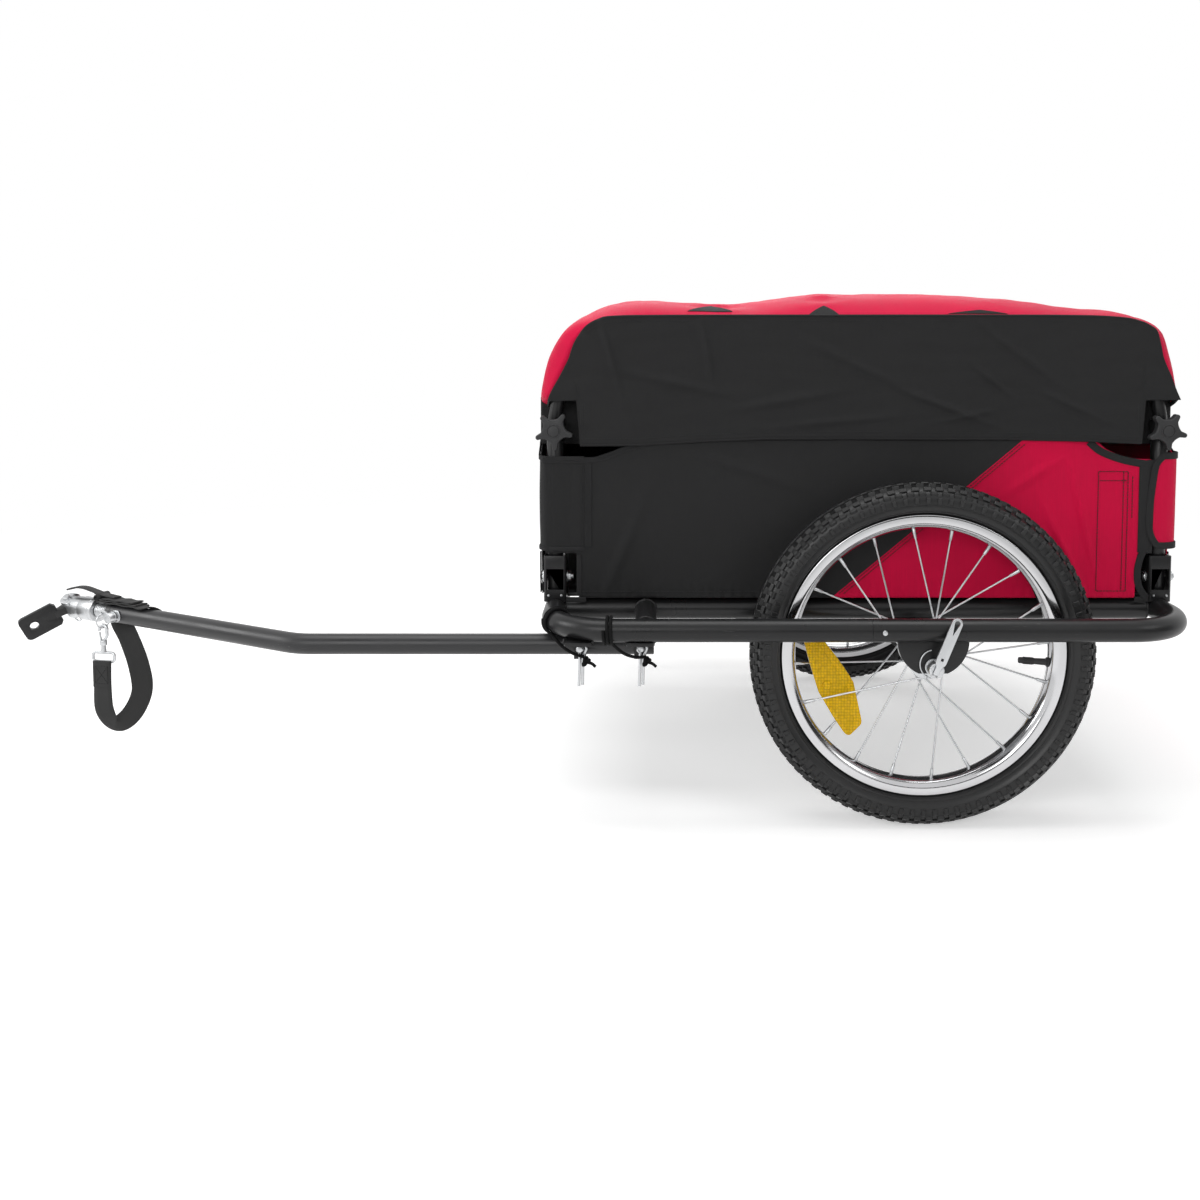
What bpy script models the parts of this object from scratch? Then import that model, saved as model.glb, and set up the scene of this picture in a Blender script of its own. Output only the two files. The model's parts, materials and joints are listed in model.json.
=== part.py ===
"""Two-wheeled cargo trailer for a bicycle.

A bent steel tube runs round both wheels and carries a fabric box between two side frames that fold
inwards over the floor. A bent drawbar under the left side ends in a sprung coupling and a plate for
the bicycle's rear axle. The drawbar points to -X, the left side is -Y, and the ground is at Z = 0.
"""

import math

import bmesh
import bpy
from mathutils import Matrix, Vector

# Clearances
GAP = 0.0003
RUNNING_GAP = 0.0004

# Sides of round shapes
TUBE_SIDES = 10
ROUND_SIDES = 12
SMALL_SIDES = 8
BORE_SIDES = 6
CUTTER_SIDES = 16

# Wheels
TYRE_RADIUS = 0.196
TYRE_HALF_WIDTH = 0.023
BEAD_TAPER = 0.0005
BEAD_RADIUS = 0.1525
RIM_FLANGE = 0.007
RIM_DEPTH = 0.0085
RIM_HALF_WIDTH = 0.0135
RIM_WALL = 0.0014
SPOKES = 20
SPOKE_R = 0.0012
SPOKE_SIDES = 4
FIRST_SPOKE_DEG = 4.9
SPOKE_LEAN_DEG = 62
HUB_FLANGE_R = 0.0215
HUB_FLANGE_THICK = 0.003
HUB_HALF_FLANGES = 0.028
HUB_BARREL_R = 0.0125
AXLE_R = 0.005
SKEWER_R = 0.0025
LOCKNUT_R = 0.0085
LOCKNUT_LENGTH = 0.014
WHEEL_STEPS = 28
REFLECTOR_MID_R = 0.113
REFLECTOR_HALF_WIDTH = 0.0125
REFLECTOR_HALF_THICK = 0.0043
REFLECTOR_MID_DEG = 197
REFLECTOR_SPAN_DEG = 50
VALVE_DEG = -4.1
VALVE_R = 0.0040
VALVE_INNER_R = 0.110

# Base frame
AXLE_X = 0.400
FRAME_ABOVE_AXLE = 0.040
FRAME_TUBE_R = 0.0125
FRAME_WALL = 0.0015
FRAME_FRONT_X = -0.019
FRAME_REAR_X = 0.686
FRAME_HALF_WIDTH = 0.3525
FRAME_CORNER_R = 0.070
FRAME_JOINT_X = 0.332
SPIGOT_LENGTH = 0.040
SPIGOT_R = 0.0107
RAIL_Y = 0.2405
LINK_X = 0.087
CROSS_TUBE_R = 0.0095
CROSS_TUBE_XS = {"front": 0.200, "rear": 0.560}
AXLE_PLATE_R = 0.039
AXLE_PLATE_THICK = 0.004
AXLE_PLATE_DROP = 0.0075
FLOOR_THICK = 0.0045

# Quick-release
CAP_R = 0.0085
CAP_LENGTH = 0.0164
LEVER_LENGTH = 0.062
LEVER_HALF_WIDTH = 0.0060
LEVER_BASE_HALF_WIDTH = 0.0030
LEVER_THICK = 0.0034
LEVER_LEAN_DEG = 22
LEVER_PIVOT_R = 0.0045
LEVER_PIN_R = 0.0018
LEVER_OFFSET = 0.0030

# Side frames
POST_Y = 0.240
POST_R = 0.0095
HOOP_R = 0.0078
HINGE_HEIGHT = 0.0250
POST_BELOW_HINGE = 0.0140
POST_COLLAR_R = 0.0118
POST_COLLAR_LENGTH = 0.022
KNOB_HEIGHT = 0.1975
HOOP_HEIGHT = 0.3193
HOOP_LEAN = 0.021
HOOP_CORNER_R = 0.050
HOOP_INSERT = 0.031
BRACKET_HALF_WIDTH = 0.013
BRACKET_SHEET = 0.0025
BRACKET_TOP = 0.051
BRACKET_BELOW = 0.003
BRACKET_WINDOW = (0.0110, 0.0355)
HINGE_BOLT_R = 0.003
HINGE_BOLT_HEAD_R = 0.0058
HINGE_BOLT_HEAD = 0.005

# Star knobs
KNOB_TIP_R = 0.0222
KNOB_VALLEY_R = 0.0125
KNOB_THICK = 0.011
KNOB_HUB_R = 0.009
KNOB_HUB_LENGTH = 0.003
KNOB_STUD_R = 0.003
KNOB_BOSS = 0.0012
KNOB_BOSS_R = 0.0068
KNOB_PHASE_DEG = -10

# Fabric box
WALL_THICK = 0.003
WALL_BOTTOM = 0.0015
WALL_TOP = 0.188
POCKET_TOP = 0.167
POCKET_LENGTH = 0.062
POCKET_SLOPE = 0.050
CORNER_CUT_HEIGHT = 0.0545
CORNER_CUT_LENGTH = 0.042
END_CUT_MARGIN = 0.004
END_WALL_THICK = 0.0045
SLEEVE_SHORT = 0.001

# Cover
COVER_SHELL = 0.0025
COVER_SAG = 0.0012
COVER_PAST_POST = 0.0190
COVER_TOP_PAST_POST = 0.0120
COVER_HALF_WIDTH = POST_Y + COVER_PAST_POST
COVER_TOP_HALF_WIDTH = POST_Y + COVER_TOP_PAST_POST
COVER_END_REACH = 0.0215
COVER_HEM = 0.184
COVER_CROWN = 0.0285
COVER_NOTCH_HALF_WIDTH = 0.0300
COVER_NOTCH_TOP = 0.229

# Drawbar
DRAWBAR_R = 0.0117
DRAWBAR_WALL = 0.0015
DRAWBAR_FROM_TUBE = 0.0545
DRAWBAR_Y = -FRAME_HALF_WIDTH + DRAWBAR_FROM_TUBE
DRAWBAR_REAR_X = 0.096
DRAWBAR_BEND_X = -0.308
DRAWBAR_REACH = (-0.2768, 0.1574)
DRAWBAR_FRONT = (DRAWBAR_BEND_X + DRAWBAR_REACH[0], DRAWBAR_Y + DRAWBAR_REACH[1])
DRAWBAR_BEND_R = 0.060
SOCKET_PLATE = 0.004
SOCKET_SHEET = 0.003
SOCKET_LENGTH = 0.032
SOCKET_DEPTH = 0.0255
SOCKET_XS = {"front": 0.013, "rear": 0.0805}
PIN_R = 0.004
PIN_HEAD_R = 0.0068
CLIP_WIRE_R = 0.00125
CLIP_LENGTH = 0.036
CLIP_EYE_R = 0.0036
CLIP_FROM_SOCKET = 0.0055
LANYARD_R = 0.0015
LANYARD_XS = {"front": -0.0135, "rear": 0.046}

# Coupling, measured forward from the end of the drawbar
SPRING_R = 0.0100
SPRING_LENGTH = 0.0230
SPRING_RIBS = 5
SPRING_SPIGOT = 0.012
SLEEVE_R = 0.0150
SLEEVE_BORE = 0.0122
SLEEVE_LENGTH = 0.047
FORK_REACH = 0.018
FORK_HALF_HEIGHT = 0.0125
FORK_SLOT_HALF = 0.0052
FORK_HALF_WIDTH = 0.0100
FORK_PIN_R = 0.003
COUPLING_ROLL_DEG = 30
HITCH_YAW_DEG = 60
HITCH_PLATE_LENGTH = 0.068
HITCH_PLATE_HALF_HEIGHT = 0.0165
HITCH_PLATE_THICK = 0.005
HITCH_HOLE_R = 0.0055
HITCH_NECK_LENGTH = 0.020

# Safety strap
EYE_BACK = 0.024
EYE_BARREL_R = 0.0065
RING_R = 0.0092
RING_WIRE_R = 0.0011
HOOK_LENGTH = 0.040
HOOK_WIRE_R = 0.0021
STRAP_HALF_WIDTH = 0.0125
STRAP_HALF_THICK = 0.0009

# Levels that follow from the sizes above
AXLE_Z = TYRE_RADIUS
FRAME_Z = AXLE_Z + FRAME_ABOVE_AXLE
FRAME_TOP = FRAME_Z + FRAME_TUBE_R
FRAME_BOTTOM = FRAME_Z - FRAME_TUBE_R
FLOOR_BOTTOM = FRAME_TOP + GAP
FLOOR_TOP = FLOOR_BOTTOM + FLOOR_THICK
HINGE_Z = FRAME_TOP + HINGE_HEIGHT
KNOB_Z = FRAME_TOP + KNOB_HEIGHT
POST_TOP = KNOB_Z + POST_COLLAR_LENGTH / 2
HOOP_Z = FRAME_TOP + HOOP_HEIGHT
WHEEL_Y = (FRAME_HALF_WIDTH + RAIL_Y) / 2
PLATE_SPAN = FRAME_HALF_WIDTH - RAIL_Y - AXLE_PLATE_THICK
RIM_INNER_R = BEAD_RADIUS - RIM_DEPTH
POST_XS = {"front": FRAME_FRONT_X, "rear": FRAME_REAR_X}
SIDES = {"left": -1, "right": 1}
SLEEVE_OUTER_R = POST_R + GAP + WALL_THICK
WALL_OUTER = POST_R + GAP + WALL_THICK + 0.0003
DRAWBAR_Z = FRAME_BOTTOM - GAP - SOCKET_PLATE - GAP - DRAWBAR_R

COLOURS = {
    "black steel": ((0.020, 0.020, 0.022), 0.38, 0.0),
    "grey steel": ((0.060, 0.060, 0.062), 0.40, 0.0),
    "zinc": ((0.72, 0.73, 0.74), 0.32, 1.0),
    "chrome": ((0.80, 0.80, 0.81), 0.12, 1.0),
    "tyre rubber": ((0.022, 0.022, 0.023), 0.80, 0.0),
    "black plastic": ((0.055, 0.055, 0.058), 0.50, 0.0),
    "amber": ((0.85, 0.50, 0.02), 0.25, 0.0),
    "black fabric": ((0.030, 0.030, 0.031), 0.85, 0.0),
    "red fabric": ((0.55, 0.002, 0.035), 0.75, 0.0),
    "webbing": ((0.022, 0.022, 0.023), 0.85, 0.0),
    "floor sheet": ((0.045, 0.045, 0.046), 0.60, 0.0),
}


def clear_scene():
    """Remove every object of the start-up scene."""
    for obj in list(bpy.data.objects):
        bpy.data.objects.remove(obj, do_unlink=True)


def new_collection(name):
    """A new collection in the scene."""
    made = bpy.data.collections.new(name)
    bpy.context.scene.collection.children.link(made)
    return made


def material(name):
    """The Principled material of this finish, made once."""
    found = bpy.data.materials.get(name)
    if found:
        return found
    colour, roughness, metallic = COLOURS[name]
    made = bpy.data.materials.new(name)
    made.use_nodes = True
    shader = made.node_tree.nodes["Principled BSDF"]
    shader.inputs["Base Color"].default_value = (*colour, 1.0)
    shader.inputs["Roughness"].default_value = roughness
    shader.inputs["Metallic"].default_value = metallic
    made.diffuse_color = (*colour, 1.0)
    return made


def place_mesh(name, mesh, finish="", matrix=None):
    """Put a mesh in the trailer's collection as an object."""
    obj = bpy.data.objects.new(name, mesh)
    TRAILER.objects.link(obj)
    if finish:
        mesh.materials.clear()
        mesh.materials.append(material(finish))
    if matrix is not None:
        obj.matrix_world = matrix
    return obj


def baked(obj, outward=True):
    """Replace an object by a plain mesh of what it shows, with its seams welded and its faces out."""
    bpy.context.view_layer.update()
    graph = bpy.context.evaluated_depsgraph_get()
    mesh = bpy.data.meshes.new_from_object(obj.evaluated_get(graph))
    shape = bmesh.new()
    shape.from_mesh(mesh)
    bmesh.ops.remove_doubles(shape, verts=shape.verts, dist=0.000002)
    if outward:
        bmesh.ops.recalc_face_normals(shape, faces=shape.faces)
    shape.to_mesh(mesh)
    shape.free()
    name = obj.name
    place = obj.matrix_world.copy()
    bpy.data.objects.remove(obj, do_unlink=True)
    mesh.name = name
    return place_mesh(name, mesh, matrix=place)


def boolean(target, other, operation):
    """Cut one object out of another, or join it to it, and use up the second."""
    bpy.context.view_layer.update()
    step = target.modifiers.new(operation, "BOOLEAN")
    step.object = other
    step.operation = operation
    step.solver = "EXACT"
    done = baked(target, outward=False)
    bpy.data.objects.remove(other, do_unlink=True)
    return done


def cut(target, *cutters):
    for cutter in cutters:
        target = boolean(target, cutter, "DIFFERENCE")
    return target


def join(target, *others):
    for other in others:
        target = boolean(target, other, "UNION")
    return target


def finished(obj, finish, origin=None, smooth=True):
    """Give a piece its finish, its smooth round faces and its origin."""
    obj.data.materials.clear()
    obj.data.materials.append(material(finish))
    if origin is not None:
        shift = Vector(origin)
        obj.data.transform(Matrix.Translation(-shift) @ obj.matrix_world)
        obj.matrix_world = Matrix.Translation(shift)
    if smooth:
        obj.data.shade_smooth()
        obj.data.set_sharp_from_angle(angle=math.radians(40))
    return obj


def box(name, low, high, radius=0.0, along=None, segments=3):
    """A box between two corners. Its edges along one axis can be rounded."""
    shape = bmesh.new()
    size = [high[i] - low[i] for i in range(3)]
    middle = [(high[i] + low[i]) / 2 for i in range(3)]
    bmesh.ops.create_cube(shape, size=1.0)
    bmesh.ops.scale(shape, vec=size, verts=shape.verts)
    if radius:
        edges = [e for e in shape.edges if abs(e.verts[0].co[along] - e.verts[1].co[along]) > 1e-6]
        bmesh.ops.bevel(shape, geom=edges, offset=radius, segments=segments, profile=0.5, affect="EDGES")
    bmesh.ops.translate(shape, vec=middle, verts=shape.verts)
    mesh = bpy.data.meshes.new(name)
    shape.to_mesh(mesh)
    shape.free()
    return place_mesh(name, mesh)


def rod(name, start, end, radius, sides=ROUND_SIDES):
    """A round bar between two points."""
    start = Vector(start)
    end = Vector(end)
    shape = bmesh.new()
    bmesh.ops.create_cone(
        shape,
        cap_ends=True,
        segments=sides,
        radius1=radius,
        radius2=radius,
        depth=(end - start).length,
    )
    turn = (end - start).to_track_quat("Z", "Y").to_matrix().to_4x4()
    shape.transform(Matrix.Translation((start + end) / 2) @ turn)
    mesh = bpy.data.meshes.new(name)
    shape.to_mesh(mesh)
    shape.free()
    return place_mesh(name, mesh)


def turned(name, profile, steps, closed_loop=False):
    """A profile of (radius, height) points turned round Z."""
    shape = bmesh.new()
    verts = [shape.verts.new((r, 0.0, z)) for r, z in profile]
    for a, b in zip(verts, verts[1:]):
        shape.edges.new((a, b))
    if closed_loop:
        shape.edges.new((verts[-1], verts[0]))
    mesh = bpy.data.meshes.new(name)
    shape.to_mesh(mesh)
    shape.free()
    obj = place_mesh(name, mesh)
    screw = obj.modifiers.new("Screw", "SCREW")
    screw.axis = "Z"
    screw.angle = math.tau
    screw.steps = steps
    screw.render_steps = steps
    screw.use_merge_vertices = True
    screw.merge_threshold = 0.00001
    return baked(obj)


def along_y(obj, centre, side=1):
    """Turn a piece made round Z so that its Z points outwards along Y, and move it."""
    turn = Matrix.Rotation(math.radians(-90 * side), 4, "X")
    obj.matrix_world = Matrix.Translation(Vector(centre)) @ turn @ obj.matrix_world
    bpy.context.view_layer.update()
    return obj


def moved(obj, matrix):
    """Move a piece by a matrix."""
    obj.matrix_world = matrix @ obj.matrix_world
    bpy.context.view_layer.update()
    return obj


def filleted(corners, radii, step_deg=22.5):
    """The points of a path whose corners are arcs. Radii are given for the inner corners."""
    corners = [Vector(c) for c in corners]
    points = [corners[0]]
    for before, corner, after, radius in zip(corners, corners[1:], corners[2:], radii):
        into = (before - corner).normalized()
        out = (after - corner).normalized()
        angle = into.angle(out)
        back = radius / math.tan(angle / 2)
        centre = corner + (into + out).normalized() * (radius / math.sin(angle / 2))
        first = corner + into * back - centre
        turn = math.pi - angle
        axis = first.cross(corner + out * back - centre).normalized()
        count = max(1, round(math.degrees(turn) / step_deg))
        for i in range(count + 1):
            points.append(centre + Matrix.Rotation(turn * i / count, 3, axis) @ first)
    points.append(corners[-1])
    return points


def wire(name, points, radius, sides=TUBE_SIDES, closed=False):
    """A round bar along a path."""
    data = bpy.data.curves.new(name, "CURVE")
    data.dimensions = "3D"
    data.bevel_depth = radius
    data.bevel_resolution = (sides - 4) // 2
    data.use_fill_caps = not closed
    spline = data.splines.new("POLY")
    spline.points.add(len(points) - 1)
    spline.use_cyclic_u = closed
    for point, place in zip(spline.points, points):
        point.co = (*place, 1.0)
    return baked(place_mesh(name, data))


def extended(points, length):
    """The same path with both ends made longer."""
    first = points[0] + (points[0] - points[1]).normalized() * length
    last = points[-1] + (points[-1] - points[-2]).normalized() * length
    return [first, *points, last]


def tube(name, points, radius, wall, sides=TUBE_SIDES):
    """A hollow tube along a path, open at both ends."""
    inside = wire(name + " bore", extended(points, 0.002), radius - wall, BORE_SIDES)
    return cut(wire(name, points, radius, sides), inside)


def sheet(name, outlines, thickness):
    """A flat piece in XY with holes, half its thickness on each side of Z = 0."""
    data = bpy.data.curves.new(name, "CURVE")
    data.dimensions = "2D"
    data.fill_mode = "BOTH"
    data.extrude = thickness / 2
    for outline in outlines:
        spline = data.splines.new("POLY")
        spline.points.add(len(outline) - 1)
        spline.use_cyclic_u = True
        for point, (x, y) in zip(spline.points, outline):
            point.co = (x, y, 0.0, 1.0)
    return baked(place_mesh(name, data))


def arc(centre, radius, start_deg, end_deg, count):
    """Points on an arc in a plane, both ends among them."""
    angles = [math.radians(start_deg + (end_deg - start_deg) * i / count) for i in range(count + 1)]
    return [(centre[0] + radius * math.cos(a), centre[1] + radius * math.sin(a)) for a in angles]


def circle(centre, radius, count=16):
    return arc(centre, radius, 0, 360, count)[:-1]


def standing(obj, centre):
    """Turn a flat XY piece so that its Y points up and its Z points to -Y, and move it."""
    turn = Matrix.Rotation(math.radians(90), 4, "X")
    return moved(obj, Matrix.Translation(Vector(centre)) @ turn)


def facing(obj, centre):
    """Turn a flat XY piece so that its X lies along Y and its Y points up, and move it."""
    turn = Matrix(((0, 0, 1, 0), (1, 0, 0, 0), (0, 1, 0, 0), (0, 0, 0, 1)))
    return moved(obj, Matrix.Translation(Vector(centre)) @ turn)


def pivot(name, place):
    """An empty on a joint's axis, which the pieces of a moving body hang on."""
    empty = bpy.data.objects.new(name, None)
    empty.empty_display_size = 0.03
    empty.location = place
    TRAILER.objects.link(empty)
    return empty


def hang(parent, *pieces):
    """Parent pieces to an empty without moving them."""
    bpy.context.view_layer.update()
    for piece in pieces:
        piece.parent = parent
        piece.matrix_parent_inverse = parent.matrix_world.inverted()


# Base frame


def perimeter_path(end_x):
    """The path of one U of the outer tube, from the joint on the left round to the joint on the right."""
    w = FRAME_HALF_WIDTH
    corners = [(FRAME_JOINT_X, -w, FRAME_Z), (end_x, -w, FRAME_Z)]
    corners += [(end_x, w, FRAME_Z), (FRAME_JOINT_X, w, FRAME_Z)]
    return filleted(corners, [FRAME_CORNER_R] * 2)


def axle_plate(name, y, drop_from):
    """A half disc under a tube, with an open slot for the axle."""
    bottom = AXLE_Z - AXLE_PLATE_DROP
    centre = (AXLE_X, drop_from)
    reach = math.degrees(math.acos((drop_from - bottom) / AXLE_PLATE_R))
    outline = [(AXLE_X + AXLE_PLATE_R, drop_from + 0.0008), (AXLE_X - AXLE_PLATE_R, drop_from + 0.0008)]
    outline += arc(centre, AXLE_PLATE_R, 180, 270 - reach, 4)
    outline += arc(centre, AXLE_PLATE_R, 270 + reach, 360, 4)
    plate = standing(sheet(name, [outline], AXLE_PLATE_THICK), (0, y, 0))
    hole_r = AXLE_R + RUNNING_GAP
    slot_end = rod("slot end", (AXLE_X, y - 0.01, AXLE_Z), (AXLE_X, y + 0.01, AXLE_Z), hole_r)
    slot_low = (AXLE_X - hole_r, y - 0.01, bottom - 0.01)
    slot_high = (AXLE_X + hole_r, y + 0.01, AXLE_Z)
    return cut(plate, slot_end, box("slot", slot_low, slot_high))


def make_perimeter():
    """The outer tube in two U halves: the front one is swaged at its ends and pushed into the rear one."""
    path = perimeter_path(FRAME_FRONT_X)
    front = wire("frame_front_loop", path, FRAME_TUBE_R)
    for side in SIDES.values():
        y = side * FRAME_HALF_WIDTH
        start = (FRAME_JOINT_X - 0.004, y, FRAME_Z)
        end = (FRAME_JOINT_X + SPIGOT_LENGTH, y, FRAME_Z)
        front = join(front, rod("spigot", start, end, SPIGOT_R))
    bore_path = [Vector((p.x, p.y, p.z)) for p in path]
    bore_path[0].x = FRAME_JOINT_X - 0.010
    bore_path[-1].x = FRAME_JOINT_X - 0.010
    front = cut(front, wire("bore", bore_path, FRAME_TUBE_R - FRAME_WALL, BORE_SIDES))
    for side in SIDES.values():
        y = side * FRAME_HALF_WIDTH
        start = (FRAME_JOINT_X - 0.012, y, FRAME_Z)
        end = (FRAME_JOINT_X + SPIGOT_LENGTH + 0.002, y, FRAME_Z)
        front = cut(front, rod("spigot bore", start, end, SPIGOT_R - FRAME_WALL, SMALL_SIDES))
    finished(front, "black steel")

    path = perimeter_path(FRAME_REAR_X)
    path[0].x = FRAME_JOINT_X + GAP
    path[-1].x = FRAME_JOINT_X + GAP
    rear = wire("frame_rear_loop", path, FRAME_TUBE_R)
    bore_path = [Vector((p.x, p.y, p.z)) for p in path]
    bore_path[0].x = FRAME_JOINT_X + SPIGOT_LENGTH - 0.002
    bore_path[-1].x = FRAME_JOINT_X + SPIGOT_LENGTH - 0.002
    rear = cut(rear, wire("bore", bore_path, FRAME_TUBE_R - FRAME_WALL, BORE_SIDES))
    for side in SIDES.values():
        y = side * FRAME_HALF_WIDTH
        start = (FRAME_JOINT_X - 0.004, y, FRAME_Z)
        end = (FRAME_JOINT_X + SPIGOT_LENGTH + GAP, y, FRAME_Z)
        rear = cut(rear, rod("spigot socket", start, end, SPIGOT_R + GAP))
        rear = join(rear, axle_plate("outer plate", y, FRAME_BOTTOM))
    finished(rear, "black steel")


def cross_cutter(x, radius):
    """A bar along Y that shapes what sits on a cross tube."""
    return rod("cope", (x, -0.40, FRAME_Z), (x, 0.40, FRAME_Z), radius + GAP, CUTTER_SIDES)


def rail_cutter(y, radius=FRAME_TUBE_R):
    """A bar along X that shapes what sits on a rail."""
    return rod("cope", (-0.10, y, FRAME_Z), (0.80, y, FRAME_Z), radius + GAP, CUTTER_SIDES)


def make_rail(side_name, side):
    """A straight rail between the cross tubes, with its axle plate and the short link to the outer tube."""
    y = side * RAIL_Y
    rail = rod(f"rail_{side_name}", (FRAME_FRONT_X, y, FRAME_Z), (FRAME_REAR_X, y, FRAME_Z), FRAME_TUBE_R)
    link = rod("link", (LINK_X, y, FRAME_Z), (LINK_X, side * FRAME_HALF_WIDTH, FRAME_Z), FRAME_TUBE_R)
    rail = join(rail, link)
    rail = cut(rail, rail_cutter(side * FRAME_HALF_WIDTH))
    bore_r = FRAME_TUBE_R - FRAME_WALL
    rail = cut(rail, rod("bore", (-0.05, y, FRAME_Z), (0.75, y, FRAME_Z), bore_r, BORE_SIDES))
    outer_end = (LINK_X, side * (FRAME_HALF_WIDTH + 0.01), FRAME_Z)
    inner_end = (LINK_X, side * (RAIL_Y + 0.006), FRAME_Z)
    rail = cut(rail, rod("link bore", inner_end, outer_end, bore_r, BORE_SIDES))
    rail = cut(rail, cross_cutter(FRAME_FRONT_X, FRAME_TUBE_R), cross_cutter(FRAME_REAR_X, FRAME_TUBE_R))
    rail = join(rail, axle_plate("inner plate", y, FRAME_BOTTOM))
    finished(rail, "black steel")


def make_cross_tube(end_name, x):
    """A thinner tube between the rails under the floor."""
    z = FRAME_TOP - CROSS_TUBE_R
    name = f"cross_tube_{end_name}"
    path = [Vector((x, -RAIL_Y, z)), Vector((x, RAIL_Y, z))]
    cross = tube(name, path, CROSS_TUBE_R, FRAME_WALL)
    cross = cut(cross, rail_cutter(-RAIL_Y), rail_cutter(RAIL_Y))
    finished(cross, "black steel")


def make_floor():
    """The floor sheet on the rails, with a notch at each hinge bracket."""
    edge = RAIL_Y - 0.002
    low = (FRAME_FRONT_X, -edge, FLOOR_BOTTOM)
    high = (FRAME_REAR_X, edge, FLOOR_TOP)
    floor = box("floor_board", low, high)
    notch = BRACKET_HALF_WIDTH + GAP
    inner = POST_Y - 0.012 - GAP
    for x in POST_XS.values():
        for side in SIDES.values():
            ys = sorted([side * inner, side * 0.30])
            low = (x - notch, ys[0], FLOOR_BOTTOM - 0.01)
            corner = box("notch", low, (x + notch, ys[1], FLOOR_TOP + 0.01))
            floor = cut(floor, corner)
    finished(floor, "floor sheet", smooth=False)


# Side frames


def make_bracket(end_name, side_name, side):
    """A folded bracket that holds a post's foot on a bolt, with a window that lets the foot swing out."""
    x = POST_XS[end_name]
    low_z = FRAME_TOP - BRACKET_BELOW
    outer = side * (POST_Y + POST_R + 0.0020 + BRACKET_SHEET)
    inner = side * (POST_Y - 0.012)
    ys = sorted([outer, inner])
    body = box(
        f"hinge_bracket_{end_name}_{side_name}",
        (x - BRACKET_HALF_WIDTH, ys[0], low_z),
        (x + BRACKET_HALF_WIDTH, ys[1], FRAME_TOP + BRACKET_TOP),
        radius=0.0020,
        along=2,
        segments=1,
    )
    half = BRACKET_HALF_WIDTH - BRACKET_SHEET
    web_inside = side * (POST_Y + POST_R + 0.0020)
    ys = sorted([web_inside, side * (POST_Y - 0.03)])
    pocket_top = FRAME_TOP + BRACKET_TOP + 0.01
    pocket = box("pocket", (x - half, ys[0], FRAME_TOP + 0.003), (x + half, ys[1], pocket_top))
    ys = sorted([side * (POST_Y + 0.005), side * (POST_Y + 0.03)])
    window = box(
        "window",
        (x - half + 0.0004, ys[0], FRAME_TOP + BRACKET_WINDOW[0]),
        (x + half - 0.0004, ys[1], FRAME_TOP + BRACKET_WINDOW[1]),
    )
    body = cut(body, pocket, window)
    body = cut(body, cross_cutter(x, FRAME_TUBE_R), rail_cutter(side * RAIL_Y, FRAME_TUBE_R + GAP))
    y = side * POST_Y
    shank = BRACKET_HALF_WIDTH + HINGE_BOLT_HEAD
    reach = shank - 0.001
    bolt = rod("bolt", (x - reach, y, HINGE_Z), (x + reach, y, HINGE_Z), HINGE_BOLT_R, SMALL_SIDES)
    body = join(body, bolt)
    for way in (-1, 1):
        start = (x + way * (BRACKET_HALF_WIDTH - 0.0005), y, HINGE_Z)
        end = (x + way * shank, y, HINGE_Z)
        body = join(body, rod("bolt head", start, end, HINGE_BOLT_HEAD_R, 6))
    finished(body, "black steel")


def stud_hole(x, side):
    """The drill for a knob's stud, from the middle of the tube outwards."""
    y = side * POST_Y
    radius = KNOB_STUD_R + RUNNING_GAP
    return rod("stud hole", (x, y, KNOB_Z), (x, y + side * 0.03, KNOB_Z), radius, SMALL_SIDES)


def make_post(end_name, side_name, side, hinge):
    """The lower tube of a side frame, with its clamp collar at the top."""
    x = POST_XS[end_name]
    y = side * POST_Y
    foot = HINGE_Z - POST_BELOW_HINGE
    post = rod(f"post_{end_name}_{side_name}", (x, y, foot), (x, y, POST_TOP - 0.0005), POST_R)
    collar = rod("collar", (x, y, POST_TOP - POST_COLLAR_LENGTH), (x, y, POST_TOP), POST_COLLAR_R)
    post = join(post, collar)
    post = cut(post, rod("bore", (x, y, foot - 0.01), (x, y, POST_TOP + 0.01), HOOP_R + GAP))
    hole_r = HINGE_BOLT_R + RUNNING_GAP
    bolt_hole = rod("bolt hole", (x - 0.03, y, HINGE_Z), (x + 0.03, y, HINGE_Z), hole_r, SMALL_SIDES)
    post = cut(post, bolt_hole, stud_hole(x, side))
    hang(hinge, finished(post, "black steel", origin=(x, y, HINGE_Z)))


def make_hoop(side_name, side, hinge):
    """The upper tube of a side frame. Its legs lean together above the knobs and stand in the posts."""
    y = side * POST_Y
    foot = POST_TOP - HOOP_INSERT - 0.012
    front = POST_XS["front"]
    rear = POST_XS["rear"]
    bend_z = POST_TOP + 0.004
    corners = [
        (front, y, foot),
        (front, y, bend_z),
        (front + HOOP_LEAN, y, HOOP_Z),
        (rear - HOOP_LEAN, y, HOOP_Z),
        (rear, y, bend_z),
        (rear, y, foot),
    ]
    path = filleted(corners, [0.03, HOOP_CORNER_R, HOOP_CORNER_R, 0.03])
    hoop = tube(f"hoop_{side_name}", path, HOOP_R, FRAME_WALL, SMALL_SIDES)
    hoop = cut(hoop, stud_hole(front, side), stud_hole(rear, side))
    hang(hinge, finished(hoop, "black steel", origin=((front + rear) / 2, y, HINGE_Z)))


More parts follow.
